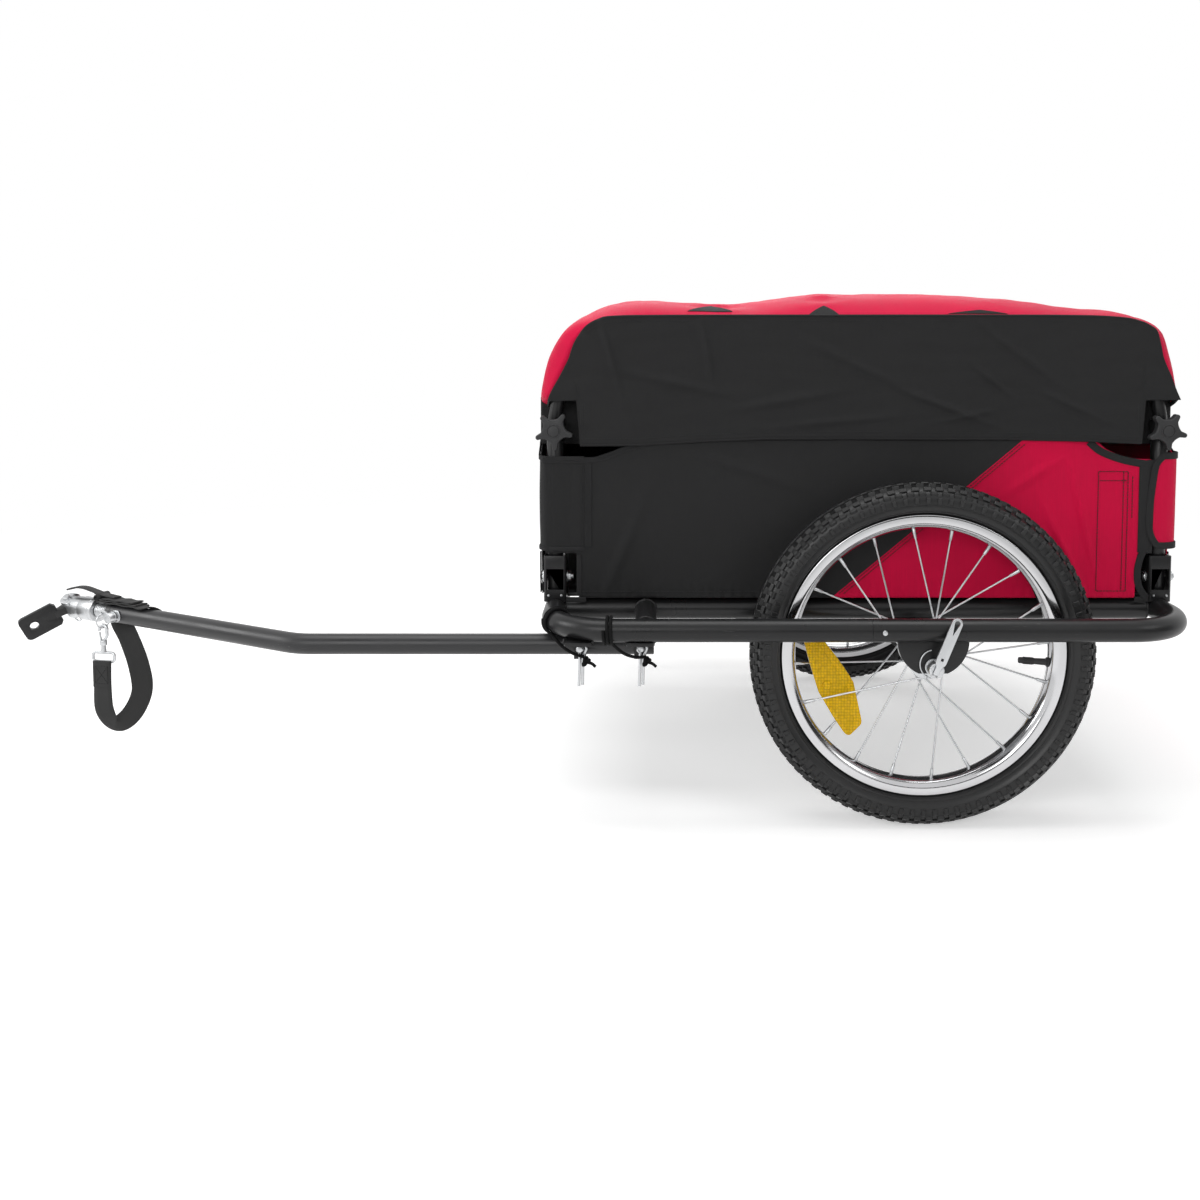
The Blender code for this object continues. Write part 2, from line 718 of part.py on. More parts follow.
def star_outline():
    """Five rounded points with hollow flanks between them."""
    outline = []
    for i in range(5):
        tip = math.radians(KNOB_PHASE_DEG + 72 * i)
        tip_round = 0.0034
        centre = ((KNOB_TIP_R - tip_round) * math.cos(tip), (KNOB_TIP_R - tip_round) * math.sin(tip))
        outline += arc(centre, tip_round, math.degrees(tip) - 70, math.degrees(tip) + 70, 2)
        middle = tip + math.radians(36)
        flank = 0.0150
        far = KNOB_VALLEY_R + flank
        hollow = (far * math.cos(middle), far * math.sin(middle))
        back = math.degrees(middle) + 180
        outline += arc(hollow, flank, back + 26, back - 26, 2)
    return outline


def make_knob(end_name, side_name, side, hinge):
    """A star knob whose stud clamps the hoop in the post."""
    x = POST_XS[end_name]
    rear_face = POST_Y + POST_COLLAR_R + GAP
    star_low = rear_face + KNOB_HUB_LENGTH
    star_mid = side * (star_low + KNOB_THICK / 2)
    name = f"star_knob_{end_name}_{side_name}"
    star = standing(sheet(name, [star_outline()], KNOB_THICK), (x, star_mid, KNOB_Z))
    seat = side * (star_low + 0.001)
    hub = rod("hub", (x, side * rear_face, KNOB_Z), (x, seat, KNOB_Z), KNOB_HUB_R, SMALL_SIDES)
    stud = rod("stud", (x, side * (POST_Y + 0.0020), KNOB_Z), (x, seat, KNOB_Z), KNOB_STUD_R, SMALL_SIDES)
    face = star_low + KNOB_THICK
    low = (x, side * (face - 0.001), KNOB_Z)
    boss = rod("boss", low, (x, side * (face + KNOB_BOSS), KNOB_Z), KNOB_BOSS_R, SMALL_SIDES)
    knob = join(star, hub, stud, boss)
    axis = pivot(f"{name}_axis", (x, side * POST_Y, KNOB_Z))
    hang(axis, finished(knob, "black plastic", origin=(x, side * POST_Y, KNOB_Z)))
    hang(hinge, axis)


# Fabric box


def wall_outline():
    """The outline of a side wall in X and Z: pockets at the ends, cut corners at the brackets."""
    low = FRAME_TOP + WALL_BOTTOM
    cut_z = FRAME_TOP + CORNER_CUT_HEIGHT
    pocket = FRAME_TOP + POCKET_TOP
    top = FRAME_TOP + WALL_TOP
    front = POST_XS["front"] - SLEEVE_OUTER_R
    rear = POST_XS["rear"] + SLEEVE_OUTER_R
    reach = CORNER_CUT_LENGTH
    outline = [(front, cut_z), (front + reach - 0.004, cut_z - 0.002)]
    outline += [(front + reach, cut_z - 0.008), (front + reach, low)]
    outline += [(rear - reach, low), (rear - reach, cut_z - 0.008)]
    outline += [(rear - reach + 0.004, cut_z - 0.002), (rear, cut_z)]
    outline += [(rear, pocket), (rear - POCKET_LENGTH, pocket - 0.006)]
    outline += [(rear - POCKET_LENGTH - POCKET_SLOPE, top), (front + POCKET_LENGTH + POCKET_SLOPE, top)]
    outline += [(front + POCKET_LENGTH, pocket + 0.004), (front, pocket)]
    return outline


def make_side_wall(side_name, side, hinge):
    """A fabric side wall between the posts, with a sleeve round each post."""
    y = side * (POST_Y + WALL_OUTER - WALL_THICK / 2)
    name = f"bag_side_{side_name}"
    wall = standing(sheet(name, [wall_outline()], WALL_THICK), (0, y, 0))
    low = FRAME_TOP + CORNER_CUT_HEIGHT + SLEEVE_SHORT
    high = FRAME_TOP + POCKET_TOP - SLEEVE_SHORT
    for x in POST_XS.values():
        wall = join(wall, rod("sleeve", (x, side * POST_Y, low), (x, side * POST_Y, high), SLEEVE_OUTER_R))
    for x in POST_XS.values():
        start = (x, side * POST_Y, low - 0.01)
        end = (x, side * POST_Y, high + 0.01)
        wall = cut(wall, rod("sleeve bore", start, end, POST_R + GAP))
    middle = (POST_XS["front"] + POST_XS["rear"]) / 2
    hang(hinge, finished(wall, "black fabric", origin=(middle, side * POST_Y, HINGE_Z)))


def make_end_wall(end_name, way):
    """A fabric end wall just outside the posts."""
    inner = POST_XS[end_name] + way * (SLEEVE_OUTER_R + GAP)
    half = POST_Y + WALL_OUTER
    notch = POST_Y - 0.012 - END_CUT_MARGIN
    low = FRAME_TOP + WALL_BOTTOM
    cut_z = FRAME_TOP + CORNER_CUT_HEIGHT
    top = FRAME_TOP + POCKET_TOP
    outline = [(-notch, low), (notch, low), (notch, cut_z - 0.006), (notch + 0.006, cut_z)]
    outline += [(half, cut_z), (half, top), (-half, top), (-half, cut_z)]
    outline += [(-notch - 0.006, cut_z), (-notch, cut_z - 0.006)]
    wall = sheet(f"bag_{end_name}", [outline], END_WALL_THICK)
    finished(facing(wall, (inner + way * END_WALL_THICK / 2, 0, 0)), "black fabric")


# Cover


def make_cover():
    """The cover: a crowned top over the hoops, skirts all round and a notch at each knob."""
    front = POST_XS["front"] - COVER_END_REACH
    rear = POST_XS["rear"] + COVER_END_REACH
    length = rear - front
    hem = FRAME_TOP + COVER_HEM
    top = HOOP_Z + HOOP_R + GAP + COVER_SHELL - COVER_SAG
    shape = bmesh.new()
    bmesh.ops.create_cube(shape, size=1.0)
    bmesh.ops.scale(shape, vec=(length, 2 * COVER_HALF_WIDTH, top - hem), verts=shape.verts)
    bmesh.ops.translate(shape, vec=((front + rear) / 2, 0, (top + hem) / 2), verts=shape.verts)
    bottom = min(shape.faces, key=lambda f: f.calc_center_median().z)
    bmesh.ops.delete(shape, geom=[bottom], context="FACES_ONLY")
    for v in shape.verts:
        if v.co.z > (top + hem) / 2:
            v.co.y *= COVER_TOP_HALF_WIDTH / COVER_HALF_WIDTH
    wide = [e for e in shape.edges if abs(e.verts[0].co.y - e.verts[1].co.y) > 0.1]
    across = [e for e in wide if e.verts[0].co.z > hem + 0.1]
    bmesh.ops.bevel(shape, geom=across, offset=0.055, segments=4, profile=0.5, affect="EDGES")
    wide = [e for e in shape.edges if abs(e.verts[0].co.y - e.verts[1].co.y) > 0.1]
    along = [e for e in wide if e.verts[0].co.z > hem + 0.01]
    bmesh.ops.subdivide_edges(shape, edges=along, cuts=5, use_grid_fill=True)
    lengthwise = [e for e in shape.edges if abs(e.verts[0].co.x - e.verts[1].co.x) > 0.2]
    bmesh.ops.subdivide_edges(shape, edges=lengthwise, cuts=4, use_grid_fill=True)
    middle = (front + rear) / 2
    for v in shape.verts:
        across_share = abs(v.co.y) / COVER_TOP_HALF_WIDTH
        along_share = abs(v.co.x - middle) / (length / 2)
        height_share = (v.co.z - hem) / (top - hem)
        if across_share < 0.999 and height_share > 0.2:
            crown = COVER_CROWN * (1 - across_share**2)
            v.co.z += crown * (1 - 0.75 * along_share**3) * min(1.0, height_share)
    mesh = bpy.data.meshes.new("cover")
    bmesh.ops.recalc_face_normals(shape, faces=shape.faces)
    shape.to_mesh(mesh)
    shape.free()
    cover = place_mesh("cover", mesh)
    thick = cover.modifiers.new("Solidify", "SOLIDIFY")
    thick.thickness = COVER_SHELL
    thick.offset = -1.0
    thick.use_even_offset = True
    cover = baked(cover)
    for x in POST_XS.values():
        for side in SIDES.values():
            ys = sorted([side * (POST_Y - 0.006), side * (COVER_HALF_WIDTH + 0.02)])
            notch = box(
                "notch",
                (x - COVER_NOTCH_HALF_WIDTH, ys[0], hem - 0.02),
                (x + COVER_NOTCH_HALF_WIDTH, ys[1], FRAME_TOP + COVER_NOTCH_TOP),
            )
            cover = cut(cover, notch)
    lift = pivot("cover_lift_axis", (middle, 0, hem))
    hang(lift, finished(cover, "red fabric", origin=(middle, 0, hem)))


# Wheels


def tyre_profile():
    """The section of the tyre with its inflated tube, from one bead over the tread to the other."""
    w = TYRE_HALF_WIDTH
    flange = BEAD_RADIUS + RIM_FLANGE
    bead_y = RIM_HALF_WIDTH - RIM_WALL - GAP
    outer = [
        (BEAD_RADIUS + GAP, bead_y - BEAD_TAPER),
        (flange + GAP, bead_y),
        (flange + 0.0115, w),
        (TYRE_RADIUS - 0.0060, w * 0.78),
    ]
    return outer + [(TYRE_RADIUS, 0.0)] + [(r, -y) for r, y in reversed(outer)]


def rim_profile():
    """The section of the single-wall rim with its two flanges and the dropped well."""
    half = RIM_HALF_WIDTH
    seat = BEAD_RADIUS
    well = RIM_INNER_R + RIM_WALL
    outer = [(seat + RIM_FLANGE, half), (seat - 0.002, half), (RIM_INNER_R, half * 0.45)]
    inside = [(well, half * 0.40), (seat, half - RIM_WALL), (seat + RIM_FLANGE, half - RIM_WALL)]
    return outer + [(r, -y) for r, y in reversed(outer)] + [(r, -y) for r, y in reversed(inside)] + inside


def on_wheel(radius, angle_deg, y=0.0):
    """A point on the wheel, seen from the outside of the left wheel, with the angle from +X towards +Z."""
    a = math.radians(angle_deg)
    return Vector((radius * math.cos(a), y, radius * math.sin(a)))


def make_spoked_hub(name):
    """The hub shell with its flanges and the crossed spokes that it pulls on."""
    flange = HUB_HALF_FLANGES
    thick = HUB_FLANGE_THICK
    end = PLATE_SPAN / 2 - LOCKNUT_LENGTH - GAP
    bore = AXLE_R + RUNNING_GAP
    half = [(bore, end), (HUB_BARREL_R - 0.002, end), (HUB_BARREL_R, flange + thick)]
    half += [(HUB_FLANGE_R, flange + thick), (HUB_FLANGE_R, flange), (HUB_BARREL_R - 0.002, flange - 0.003)]
    profile = half + [(r, -y) for r, y in reversed(half)]
    hub = baked(along_y(turned(name, profile, TUBE_SIDES, closed_loop=True), (0, 0, 0)))
    reach = HUB_FLANGE_R - 0.003
    rim_flat = RIM_INNER_R * math.cos(math.pi / WHEEL_STEPS) - 2 * GAP
    for i in range(SPOKES):
        rim_deg = FIRST_SPOKE_DEG + 360 / SPOKES * i
        outward = -1 if i % 2 else 1
        leading = (i // 2) % 2
        lean = SPOKE_LEAN_DEG if leading else -SPOKE_LEAN_DEG
        face = flange + (thick - SPOKE_R / 2 if leading else SPOKE_R / 2)
        start = on_wheel(reach, rim_deg + lean, outward * face)
        end_point = on_wheel(rim_flat, rim_deg, outward * 0.0022)
        way = (end_point - start).normalized()
        hub = join(hub, rod("spoke", start - way * 0.001, end_point, SPOKE_R, SPOKE_SIDES))
    return hub


def reflector_outline():
    """A curved bar of the wheel's disc with rounded ends."""
    first = REFLECTOR_MID_DEG - REFLECTOR_SPAN_DEG / 2
    last = REFLECTOR_MID_DEG + REFLECTOR_SPAN_DEG / 2
    outer = arc((0, 0), REFLECTOR_MID_R + REFLECTOR_HALF_WIDTH, first + 2, last - 4, 8)
    inner = arc((0, 0), REFLECTOR_MID_R - REFLECTOR_HALF_WIDTH, last - 5, first + 3, 8)
    return outer + [on_xz(REFLECTOR_MID_R, last)] + inner + [on_xz(REFLECTOR_MID_R, first)]


def on_xz(radius, angle_deg):
    point = on_wheel(radius, angle_deg)
    return (point.x, point.z)


def make_axle(side_name, side):
    """The axle with its locknuts, the skewer inside it and the nut at its inner end."""
    half = PLATE_SPAN / 2
    inner_face = half + AXLE_PLATE_THICK + GAP
    skewer_end = half + AXLE_PLATE_THICK + CAP_LENGTH * 0.18
    up = [
        (0.0, -inner_face - 0.012),
        (0.0050, -inner_face - 0.012),
        (0.0080, -inner_face - 0.009),
        (0.0080, -inner_face),
        (AXLE_R, -inner_face),
        (AXLE_R, -half + GAP),
        (LOCKNUT_R, -half + GAP),
        (AXLE_R, -half + LOCKNUT_LENGTH),
        (AXLE_R, half - LOCKNUT_LENGTH),
        (LOCKNUT_R, half - GAP),
        (AXLE_R, half - GAP),
        (AXLE_R, half + AXLE_PLATE_THICK - GAP),
        (SKEWER_R, half + AXLE_PLATE_THICK - GAP),
        (SKEWER_R, skewer_end),
        (0.0, skewer_end),
    ]
    axle = turned(f"axle_{side_name}", up, SMALL_SIDES)
    place = (AXLE_X, side * WHEEL_Y, AXLE_Z)
    finished(along_y(axle, place, side), "zinc", origin=place)


def lever_frame(side):
    """A matrix whose X runs along the closed lever, Y along its pivot pin and Z out of the trailer."""
    lean = math.radians(LEVER_LEAN_DEG)
    along = Vector((math.sin(lean), 0, math.cos(lean)))
    out = Vector((0, side, 0))
    pin = out.cross(along)
    face = side * (FRAME_HALF_WIDTH + AXLE_PLATE_THICK / 2 + GAP)
    centre = Vector((AXLE_X, face, AXLE_Z)) + out * (CAP_LENGTH - LEVER_PIVOT_R - 0.0002)
    rotation = Matrix((along, pin, out)).transposed().to_4x4()
    return Matrix.Translation(centre) @ rotation


def make_quick_release(side_name, side):
    """The cap on the outer axle plate and the cam lever that pivots in its slot."""
    frame = lever_frame(side)
    base = -(CAP_LENGTH - LEVER_PIVOT_R - 0.0002)
    cap = rod(f"qr_cap_{side_name}", (0, 0, base), (0, 0, base + CAP_LENGTH), CAP_R)
    slot_half = LEVER_BASE_HALF_WIDTH + RUNNING_GAP
    slot = box("slot", (-0.02, -slot_half, -LEVER_PIVOT_R - 0.0034), (0.02, slot_half, 0.02))
    pin_hole = rod("pin hole", (0, -0.02, 0), (0, 0.02, 0), LEVER_PIN_R + RUNNING_GAP, SMALL_SIDES)
    low = (0, 0, base - 0.01)
    high = (0, 0, base + CAP_LENGTH * 0.33)
    skewer_hole = rod("skewer hole", low, high, SKEWER_R + RUNNING_GAP, SMALL_SIDES)
    cap = cut(cap, slot, pin_hole, skewer_hole)
    finished(moved(cap, frame), "zinc", origin=frame.translation)

    base_half = LEVER_BASE_HALF_WIDTH
    wide = LEVER_HALF_WIDTH
    tip = LEVER_LENGTH - wide
    outline = [(-0.0045, -base_half), (0.0110, -base_half), (0.0160, -wide), (tip, -wide)]
    outline += arc((tip, 0), wide, -72, 72, 4)
    outline += [(tip, wide), (0.0160, wide), (0.0110, base_half), (-0.0045, base_half)]
    drop = [(tip - 0.013, 0.0)] + arc((tip, 0), 0.0030, -100, 100, 5)
    lever = sheet(f"qr_lever_{side_name}", [outline, drop], LEVER_THICK)
    lever = moved(lever, Matrix.Translation((0, 0, LEVER_OFFSET + LEVER_THICK / 2)))
    boss = rod("boss", (0, -base_half, 0), (0, base_half, 0), LEVER_PIVOT_R)
    pin = rod("pin", (0, -0.0075, 0), (0, 0.0075, 0), LEVER_PIN_R, SMALL_SIDES)
    lever = join(lever, boss, pin)
    axis = pivot(f"qr_lever_{side_name}_axis", frame.translation)
    hang(axis, finished(moved(lever, frame), "zinc", origin=frame.translation))


def make_wheel(side_name, side):
    """A spoked wheel on its axle, with tyre, reflector and valve."""
    centre = Vector((AXLE_X, side * WHEEL_Y, AXLE_Z))
    spin = pivot(f"wheel_{side_name}_axis", centre)
    hub = moved(make_spoked_hub(f"hub_{side_name}"), Matrix.Translation(centre))
    tyre = along_y(turned(f"tyre_{side_name}", tyre_profile(), WHEEL_STEPS, closed_loop=True), centre)
    rim = along_y(turned(f"rim_{side_name}", rim_profile(), WHEEL_STEPS, closed_loop=True), centre)
    hole_start = centre + on_wheel(RIM_INNER_R - 0.01, VALVE_DEG)
    hole_end = centre + on_wheel(BEAD_RADIUS - 0.002, VALVE_DEG)
    rim = cut(rim, rod("valve hole", hole_start, hole_end, VALVE_R + GAP, SMALL_SIDES))
    stem_start = centre + on_wheel(VALVE_INNER_R, VALVE_DEG)
    valve = rod(f"valve_{side_name}", stem_start, hole_end, VALVE_R, SMALL_SIDES)
    bar = sheet(f"reflector_{side_name}", [reflector_outline()], 2 * REFLECTOR_HALF_THICK)
    reflector = standing(bar, centre)
    hang(
        spin,
        finished(hub, "zinc", origin=centre),
        finished(tyre, "tyre rubber", origin=centre),
        finished(rim, "chrome", origin=centre),
        finished(valve, "black plastic", origin=centre),
        finished(reflector, "amber", origin=centre, smooth=False),
    )


# Drawbar and its sockets


def drawbar_ways():
    """The unit vectors of the front part of the drawbar: forward along it, and out of its left side."""
    bend = Vector((DRAWBAR_BEND_X, DRAWBAR_Y, 0))
    forward = (Vector((*DRAWBAR_FRONT, 0)) - bend).normalized()
    return forward, Vector((-0.0, 0.0, 1.0)).cross(forward)


def drawbar_point(back):
    """A point on the drawbar's axis, this far behind its front end."""
    forward, _ = drawbar_ways()
    return Vector((*DRAWBAR_FRONT, DRAWBAR_Z)) - forward * back


def make_drawbar():
    """The bent drawbar with the holes for its two hitch pins and the eye."""
    z = DRAWBAR_Z
    corners = [(DRAWBAR_REAR_X, DRAWBAR_Y, z), (DRAWBAR_BEND_X, DRAWBAR_Y, z), (*DRAWBAR_FRONT, z)]
    bar = tube("drawbar", filleted(corners, [DRAWBAR_BEND_R], 8), DRAWBAR_R, DRAWBAR_WALL)
    for x in SOCKET_XS.values():
        start = (x, DRAWBAR_Y - 0.03, z)
        end = (x, DRAWBAR_Y + 0.03, z)
        bar = cut(bar, rod("pin hole", start, end, PIN_R + GAP, SMALL_SIDES))
    _, left = drawbar_ways()
    place = drawbar_point(EYE_BACK)
    bar = cut(bar, rod("eye hole", place - left * 0.02, place + left * 0.02, PIN_R + GAP, SMALL_SIDES))
    finished(bar, "grey steel")


def make_socket(end_name):
    """A channel under the frame that holds the drawbar: a top plate out to the outer tube, and two cheeks."""
    x = SOCKET_XS[end_name]
    half = SOCKET_LENGTH / 2
    top = FRAME_BOTTOM - GAP
    outer = -FRAME_HALF_WIDTH - 0.006
    inner = DRAWBAR_Y + DRAWBAR_R + GAP + SOCKET_SHEET
    low = (x - half, outer, top - SOCKET_PLATE)
    plate = box(f"socket_{end_name}", low, (x + half, inner, top), 0.006, along=2, segments=2)
    for way in (-1, 1):
        near = DRAWBAR_Y + way * (DRAWBAR_R + GAP)
        ys = sorted([near, near + way * SOCKET_SHEET])
        low = top - SOCKET_PLATE - SOCKET_DEPTH
        high = (x + half, ys[1], top - 0.001)
        cheek = box("cheek", (x - half, ys[0], low), high, 0.009, along=1, segments=3)
        plate = join(plate, cheek)
    start = (x, DRAWBAR_Y - 0.03, DRAWBAR_Z)
    end = (x, DRAWBAR_Y + 0.03, DRAWBAR_Z)
    plate = cut(plate, rod("pin hole", start, end, PIN_R + GAP, SMALL_SIDES))
    finished(plate, "black steel")


def make_hitch_pin(end_name):
    """A headed pin through socket and drawbar, with the spring clip that keeps it in."""
    x = SOCKET_XS[end_name]
    reach = DRAWBAR_R + GAP + SOCKET_SHEET + GAP
    head = DRAWBAR_Y + reach
    tip = DRAWBAR_Y - reach - 0.011
    start = (x, head + 0.001, DRAWBAR_Z)
    pin = rod(f"hitch_pin_{end_name}", start, (x, tip, DRAWBAR_Z), PIN_R, SMALL_SIDES)
    pin = join(pin, rod("head", (x, head, DRAWBAR_Z), (x, head + 0.0035, DRAWBAR_Z), PIN_HEAD_R))
    y = DRAWBAR_Y - reach - CLIP_FROM_SOCKET
    outline = [(0.0, -CLIP_LENGTH)] + arc((CLIP_EYE_R, 0.0062), CLIP_EYE_R, 180, -50, 5)
    outline += [(0.0072, 0.0), (0.0036, -0.0095), (0.0062, -CLIP_LENGTH + 0.006)]
    clip = wire("clip", [Vector((x + dx, y, DRAWBAR_Z + dz)) for dx, dz in outline], CLIP_WIRE_R, 4)
    pin = join(pin, clip)
    finished(pin, "zinc")


def frame_at(x):
    """The middle of the outer tube on the left at this X, and its way forward there."""
    y = -FRAME_HALF_WIDTH
    middle = Vector((FRAME_FRONT_X + FRAME_CORNER_R, y + FRAME_CORNER_R, FRAME_Z))
    if x >= middle.x:
        return Vector((x, y, FRAME_Z)), Vector((-1, 0, 0))
    away = math.acos((middle.x - x) / FRAME_CORNER_R)
    radial = Vector((-math.cos(away), -math.sin(away), 0))
    return middle + radial * FRAME_CORNER_R, Vector((-math.sin(away), math.cos(away), 0))


def make_lanyard(end_name, wrap_x):
    """A cord that ties the clip of a hitch pin to the outer tube, once round it."""
    x = SOCKET_XS[end_name]
    middle, forward = frame_at(wrap_x)
    outward = forward.cross(Vector((0, 0, 1)))
    if outward.y > 0:
        outward = -outward
    up = Vector((0, 0, 1))
    turn_deg = 430
    count = 14
    round_r = (FRAME_TUBE_R + LANYARD_R + 2 * GAP) / math.cos(math.radians(turn_deg / count / 2))
    pitch = 2 * LANYARD_R + 0.0010
    points = []
    for i in range(count + 1):
        a = math.radians(-20 - turn_deg + turn_deg * i / count)
        drift = pitch * (i / count - 0.5) * turn_deg / 360
        points.append(middle - forward * drift + outward * round_r * math.cos(a) + up * round_r * math.sin(a))
    clip_y = DRAWBAR_Y - DRAWBAR_R - GAP - SOCKET_SHEET - GAP - CLIP_FROM_SOCKET
    last = Vector((x - 0.0010, clip_y - LANYARD_R - CLIP_WIRE_R - GAP, DRAWBAR_Z - 0.0085))
    first = points[-1]
    points.append(first.lerp(last, 0.35) + Vector((0, -0.002, -0.005)))
    points.append(first.lerp(last, 0.70) + Vector((0, -0.002, -0.004)))
    points.append(last)
    finished(wire(f"lanyard_{end_name}", points, LANYARD_R, 4), "webbing")


# Coupling


def coupling_frame():
    """A matrix at the drawbar's front end: X forward along it, and Z up but rolled to the left."""
    forward, left = drawbar_ways()
    roll = Matrix.Rotation(math.radians(-COUPLING_ROLL_DEG), 3, forward)
    up = roll @ Vector((0, 0, 1))
    if up.dot(left) < 0:
        up = Matrix.Rotation(math.radians(COUPLING_ROLL_DEG), 3, forward) @ Vector((0, 0, 1))
    rotation = Matrix((forward, up.cross(forward), up)).transposed().to_4x4()
    return Matrix.Translation(drawbar_point(0)) @ rotation


def make_spring():
    """The ribbed spring that joins the drawbar to the sleeve, with a spigot into each."""
    inside = GAP - SPRING_SPIGOT
    bore_flat = (DRAWBAR_R - DRAWBAR_WALL) * math.cos(math.pi / BORE_SIDES)
    profile = [(0.0, inside), (bore_flat - GAP, inside), (bore_flat - GAP, GAP)]
    pitch = SPRING_LENGTH / SPRING_RIBS
    for i in range(SPRING_RIBS):
        low = GAP + pitch * i
        profile += [(SPRING_R - 0.0016, low), (SPRING_R, low + pitch * 0.3), (SPRING_R, low + pitch * 0.7)]
    end = GAP + SPRING_LENGTH
    tip = end + SPRING_SPIGOT - GAP
    profile += [(SPRING_R - 0.0016, end), (SPRING_R - 0.0016, tip), (0.0, tip)]
    spring = turned("coupling_spring", profile, TUBE_SIDES)
    frame = coupling_frame()
    turn = Matrix.Rotation(math.radians(90), 4, "Y")
    spring = moved(spring, frame @ turn)
    flex = frame @ Matrix.Translation((GAP + SPRING_LENGTH / 2, 0, 0))
    axis = pivot("coupling_flex_axis", flex.translation)
    hang(axis, finished(spring, "zinc", origin=flex.translation))
    return axis


def fork_pin_x():
    """How far in front of the drawbar the fork's pin stands."""
    return SPRING_LENGTH + SLEEVE_LENGTH + FORK_REACH - FORK_HALF_WIDTH


def make_sleeve(flex_axis):
    """The sleeve over the spring's end, with the fork cut in its front."""
    start = SPRING_LENGTH + GAP
    end = start + SLEEVE_LENGTH
    frame = coupling_frame()
    profile = [(0.0, start + SPRING_SPIGOT), (SLEEVE_BORE, start + SPRING_SPIGOT), (SLEEVE_BORE, start)]
    profile += [(SLEEVE_R, start), (SLEEVE_R, start + 0.026), (SLEEVE_R - 0.0012, start + 0.028)]
    profile += [(SLEEVE_R - 0.0012, end), (0.0, end)]
    body = turned("coupling_sleeve", list(reversed(profile)), ROUND_SIDES)
    body = baked(moved(body, Matrix.Rotation(math.radians(90), 4, "Y")))
    pin_x = fork_pin_x()
    height = FORK_HALF_HEIGHT
    width = FORK_HALF_WIDTH
    outline = [(end - 0.006, -width)] + arc((pin_x, 0), width, -90, 90, 6) + [(end - 0.006, width)]
    cheeks = baked(sheet("cheeks", [outline], 2 * height))
    body = join(body, cheeks)
    slot = box("slot", (end - 0.0035, -0.03, -FORK_SLOT_HALF), (end + 0.06, 0.03, FORK_SLOT_HALF))
    hole = rod("pin hole", (pin_x, 0, -0.03), (pin_x, 0, 0.03), FORK_PIN_R + GAP, SMALL_SIDES)
    body = moved(cut(body, slot, hole), frame)
    origin = (frame @ Matrix.Translation((SPRING_LENGTH, 0, 0))).translation
    roll = pivot("coupling_roll_axis", origin)
    hang(roll, finished(body, "zinc", origin=origin))
    hang(flex_axis, roll)

    top = height + GAP
    pin = rod("coupling_pin", (pin_x, 0, -top - 0.006), (pin_x, 0, top + 0.001), FORK_PIN_R, SMALL_SIDES)
    pin = join(pin, rod("head", (pin_x, 0, top), (pin_x, 0, top + 0.0035), 0.0052))
    ring = [Vector((pin_x + 0.0045 + x, 0, -top - 0.0085 + z)) for x, z in circle((0, 0), 0.0062, 10)]
    pin = moved(join(pin, wire("ring", ring, 0.0009, 4, closed=True)), frame)
    hang(roll, finished(pin, "zinc", origin=(frame @ Matrix.Translation((pin_x, 0, 0))).translation))
    return roll


def hitch_frame():
    """A matrix on the fork's pin: X along the hitch plate, Z along the pin, Y through the plate."""
    frame = coupling_frame() @ Matrix.Translation((fork_pin_x(), 0, 0))
    options = [frame @ Matrix.Rotation(math.radians(a), 4, "Z") for a in (HITCH_YAW_DEG, -HITCH_YAW_DEG)]
    return min(options, key=lambda m: m.col[0].y)


def make_hitch_plate(roll_axis):
    """The plate for the bicycle's rear axle: a neck with an eye, and an upright plate with a hole."""
    frame = hitch_frame()
    half = FORK_SLOT_HALF - RUNNING_GAP
    neck_end = HITCH_NECK_LENGTH
    outline = arc((0, 0), 0.0085, 60, 300, 8) + [(neck_end + 0.002, -0.0026), (neck_end + 0.002, 0.0026)]
    neck = sheet("hitch_plate", [outline], 2 * half)
    neck = cut(neck, rod("eye", (0, 0, -0.03), (0, 0, 0.03), FORK_PIN_R + RUNNING_GAP, SMALL_SIDES))
    tall = HITCH_PLATE_HALF_HEIGHT
    tip = HITCH_PLATE_LENGTH - 0.004
    shape = [(neck_end - 0.003, -tall + 0.0045), (neck_end + 0.001, -tall), (tip - 0.006, -tall)]
    shape += arc((tip - 0.006, -tall + 0.006), 0.006, -90, 0, 3)
    shape += arc((tip - 0.006, tall - 0.006), 0.006, 0, 90, 3)
    shape += [(tip - 0.006, tall), (neck_end + 0.001, tall), (neck_end - 0.003, tall - 0.0045)]
    plate = sheet("plate", [shape, circle((tip - 0.015, 0.0), HITCH_HOLE_R, CUTTER_SIDES)], HITCH_PLATE_THICK)
    plate = baked(moved(plate, Matrix.Rotation(math.radians(90), 4, "X")))
    hitch = moved(join(neck, plate), frame)
    axis = pivot("hitch_plate_axis", frame.translation)
    hang(axis, finished(hitch, "black steel", origin=frame.translation))
    hang(roll_axis, axis)


# Safety strap


def eye_frame():
    """A matrix on the drawbar where the strap's eye is: X back along it, Y up, Z out of its left side."""
    forward, left = drawbar_ways()
    rotation = Matrix((-forward, forward.cross(left), left)).transposed().to_4x4()
    return Matrix.Translation(drawbar_point(EYE_BACK)) @ rotation


def ring_centre():
    """The middle of the split ring, which hangs from the eye."""
    return Vector((-0.0115, 0.0045 - RING_R, DRAWBAR_R + 0.0110))


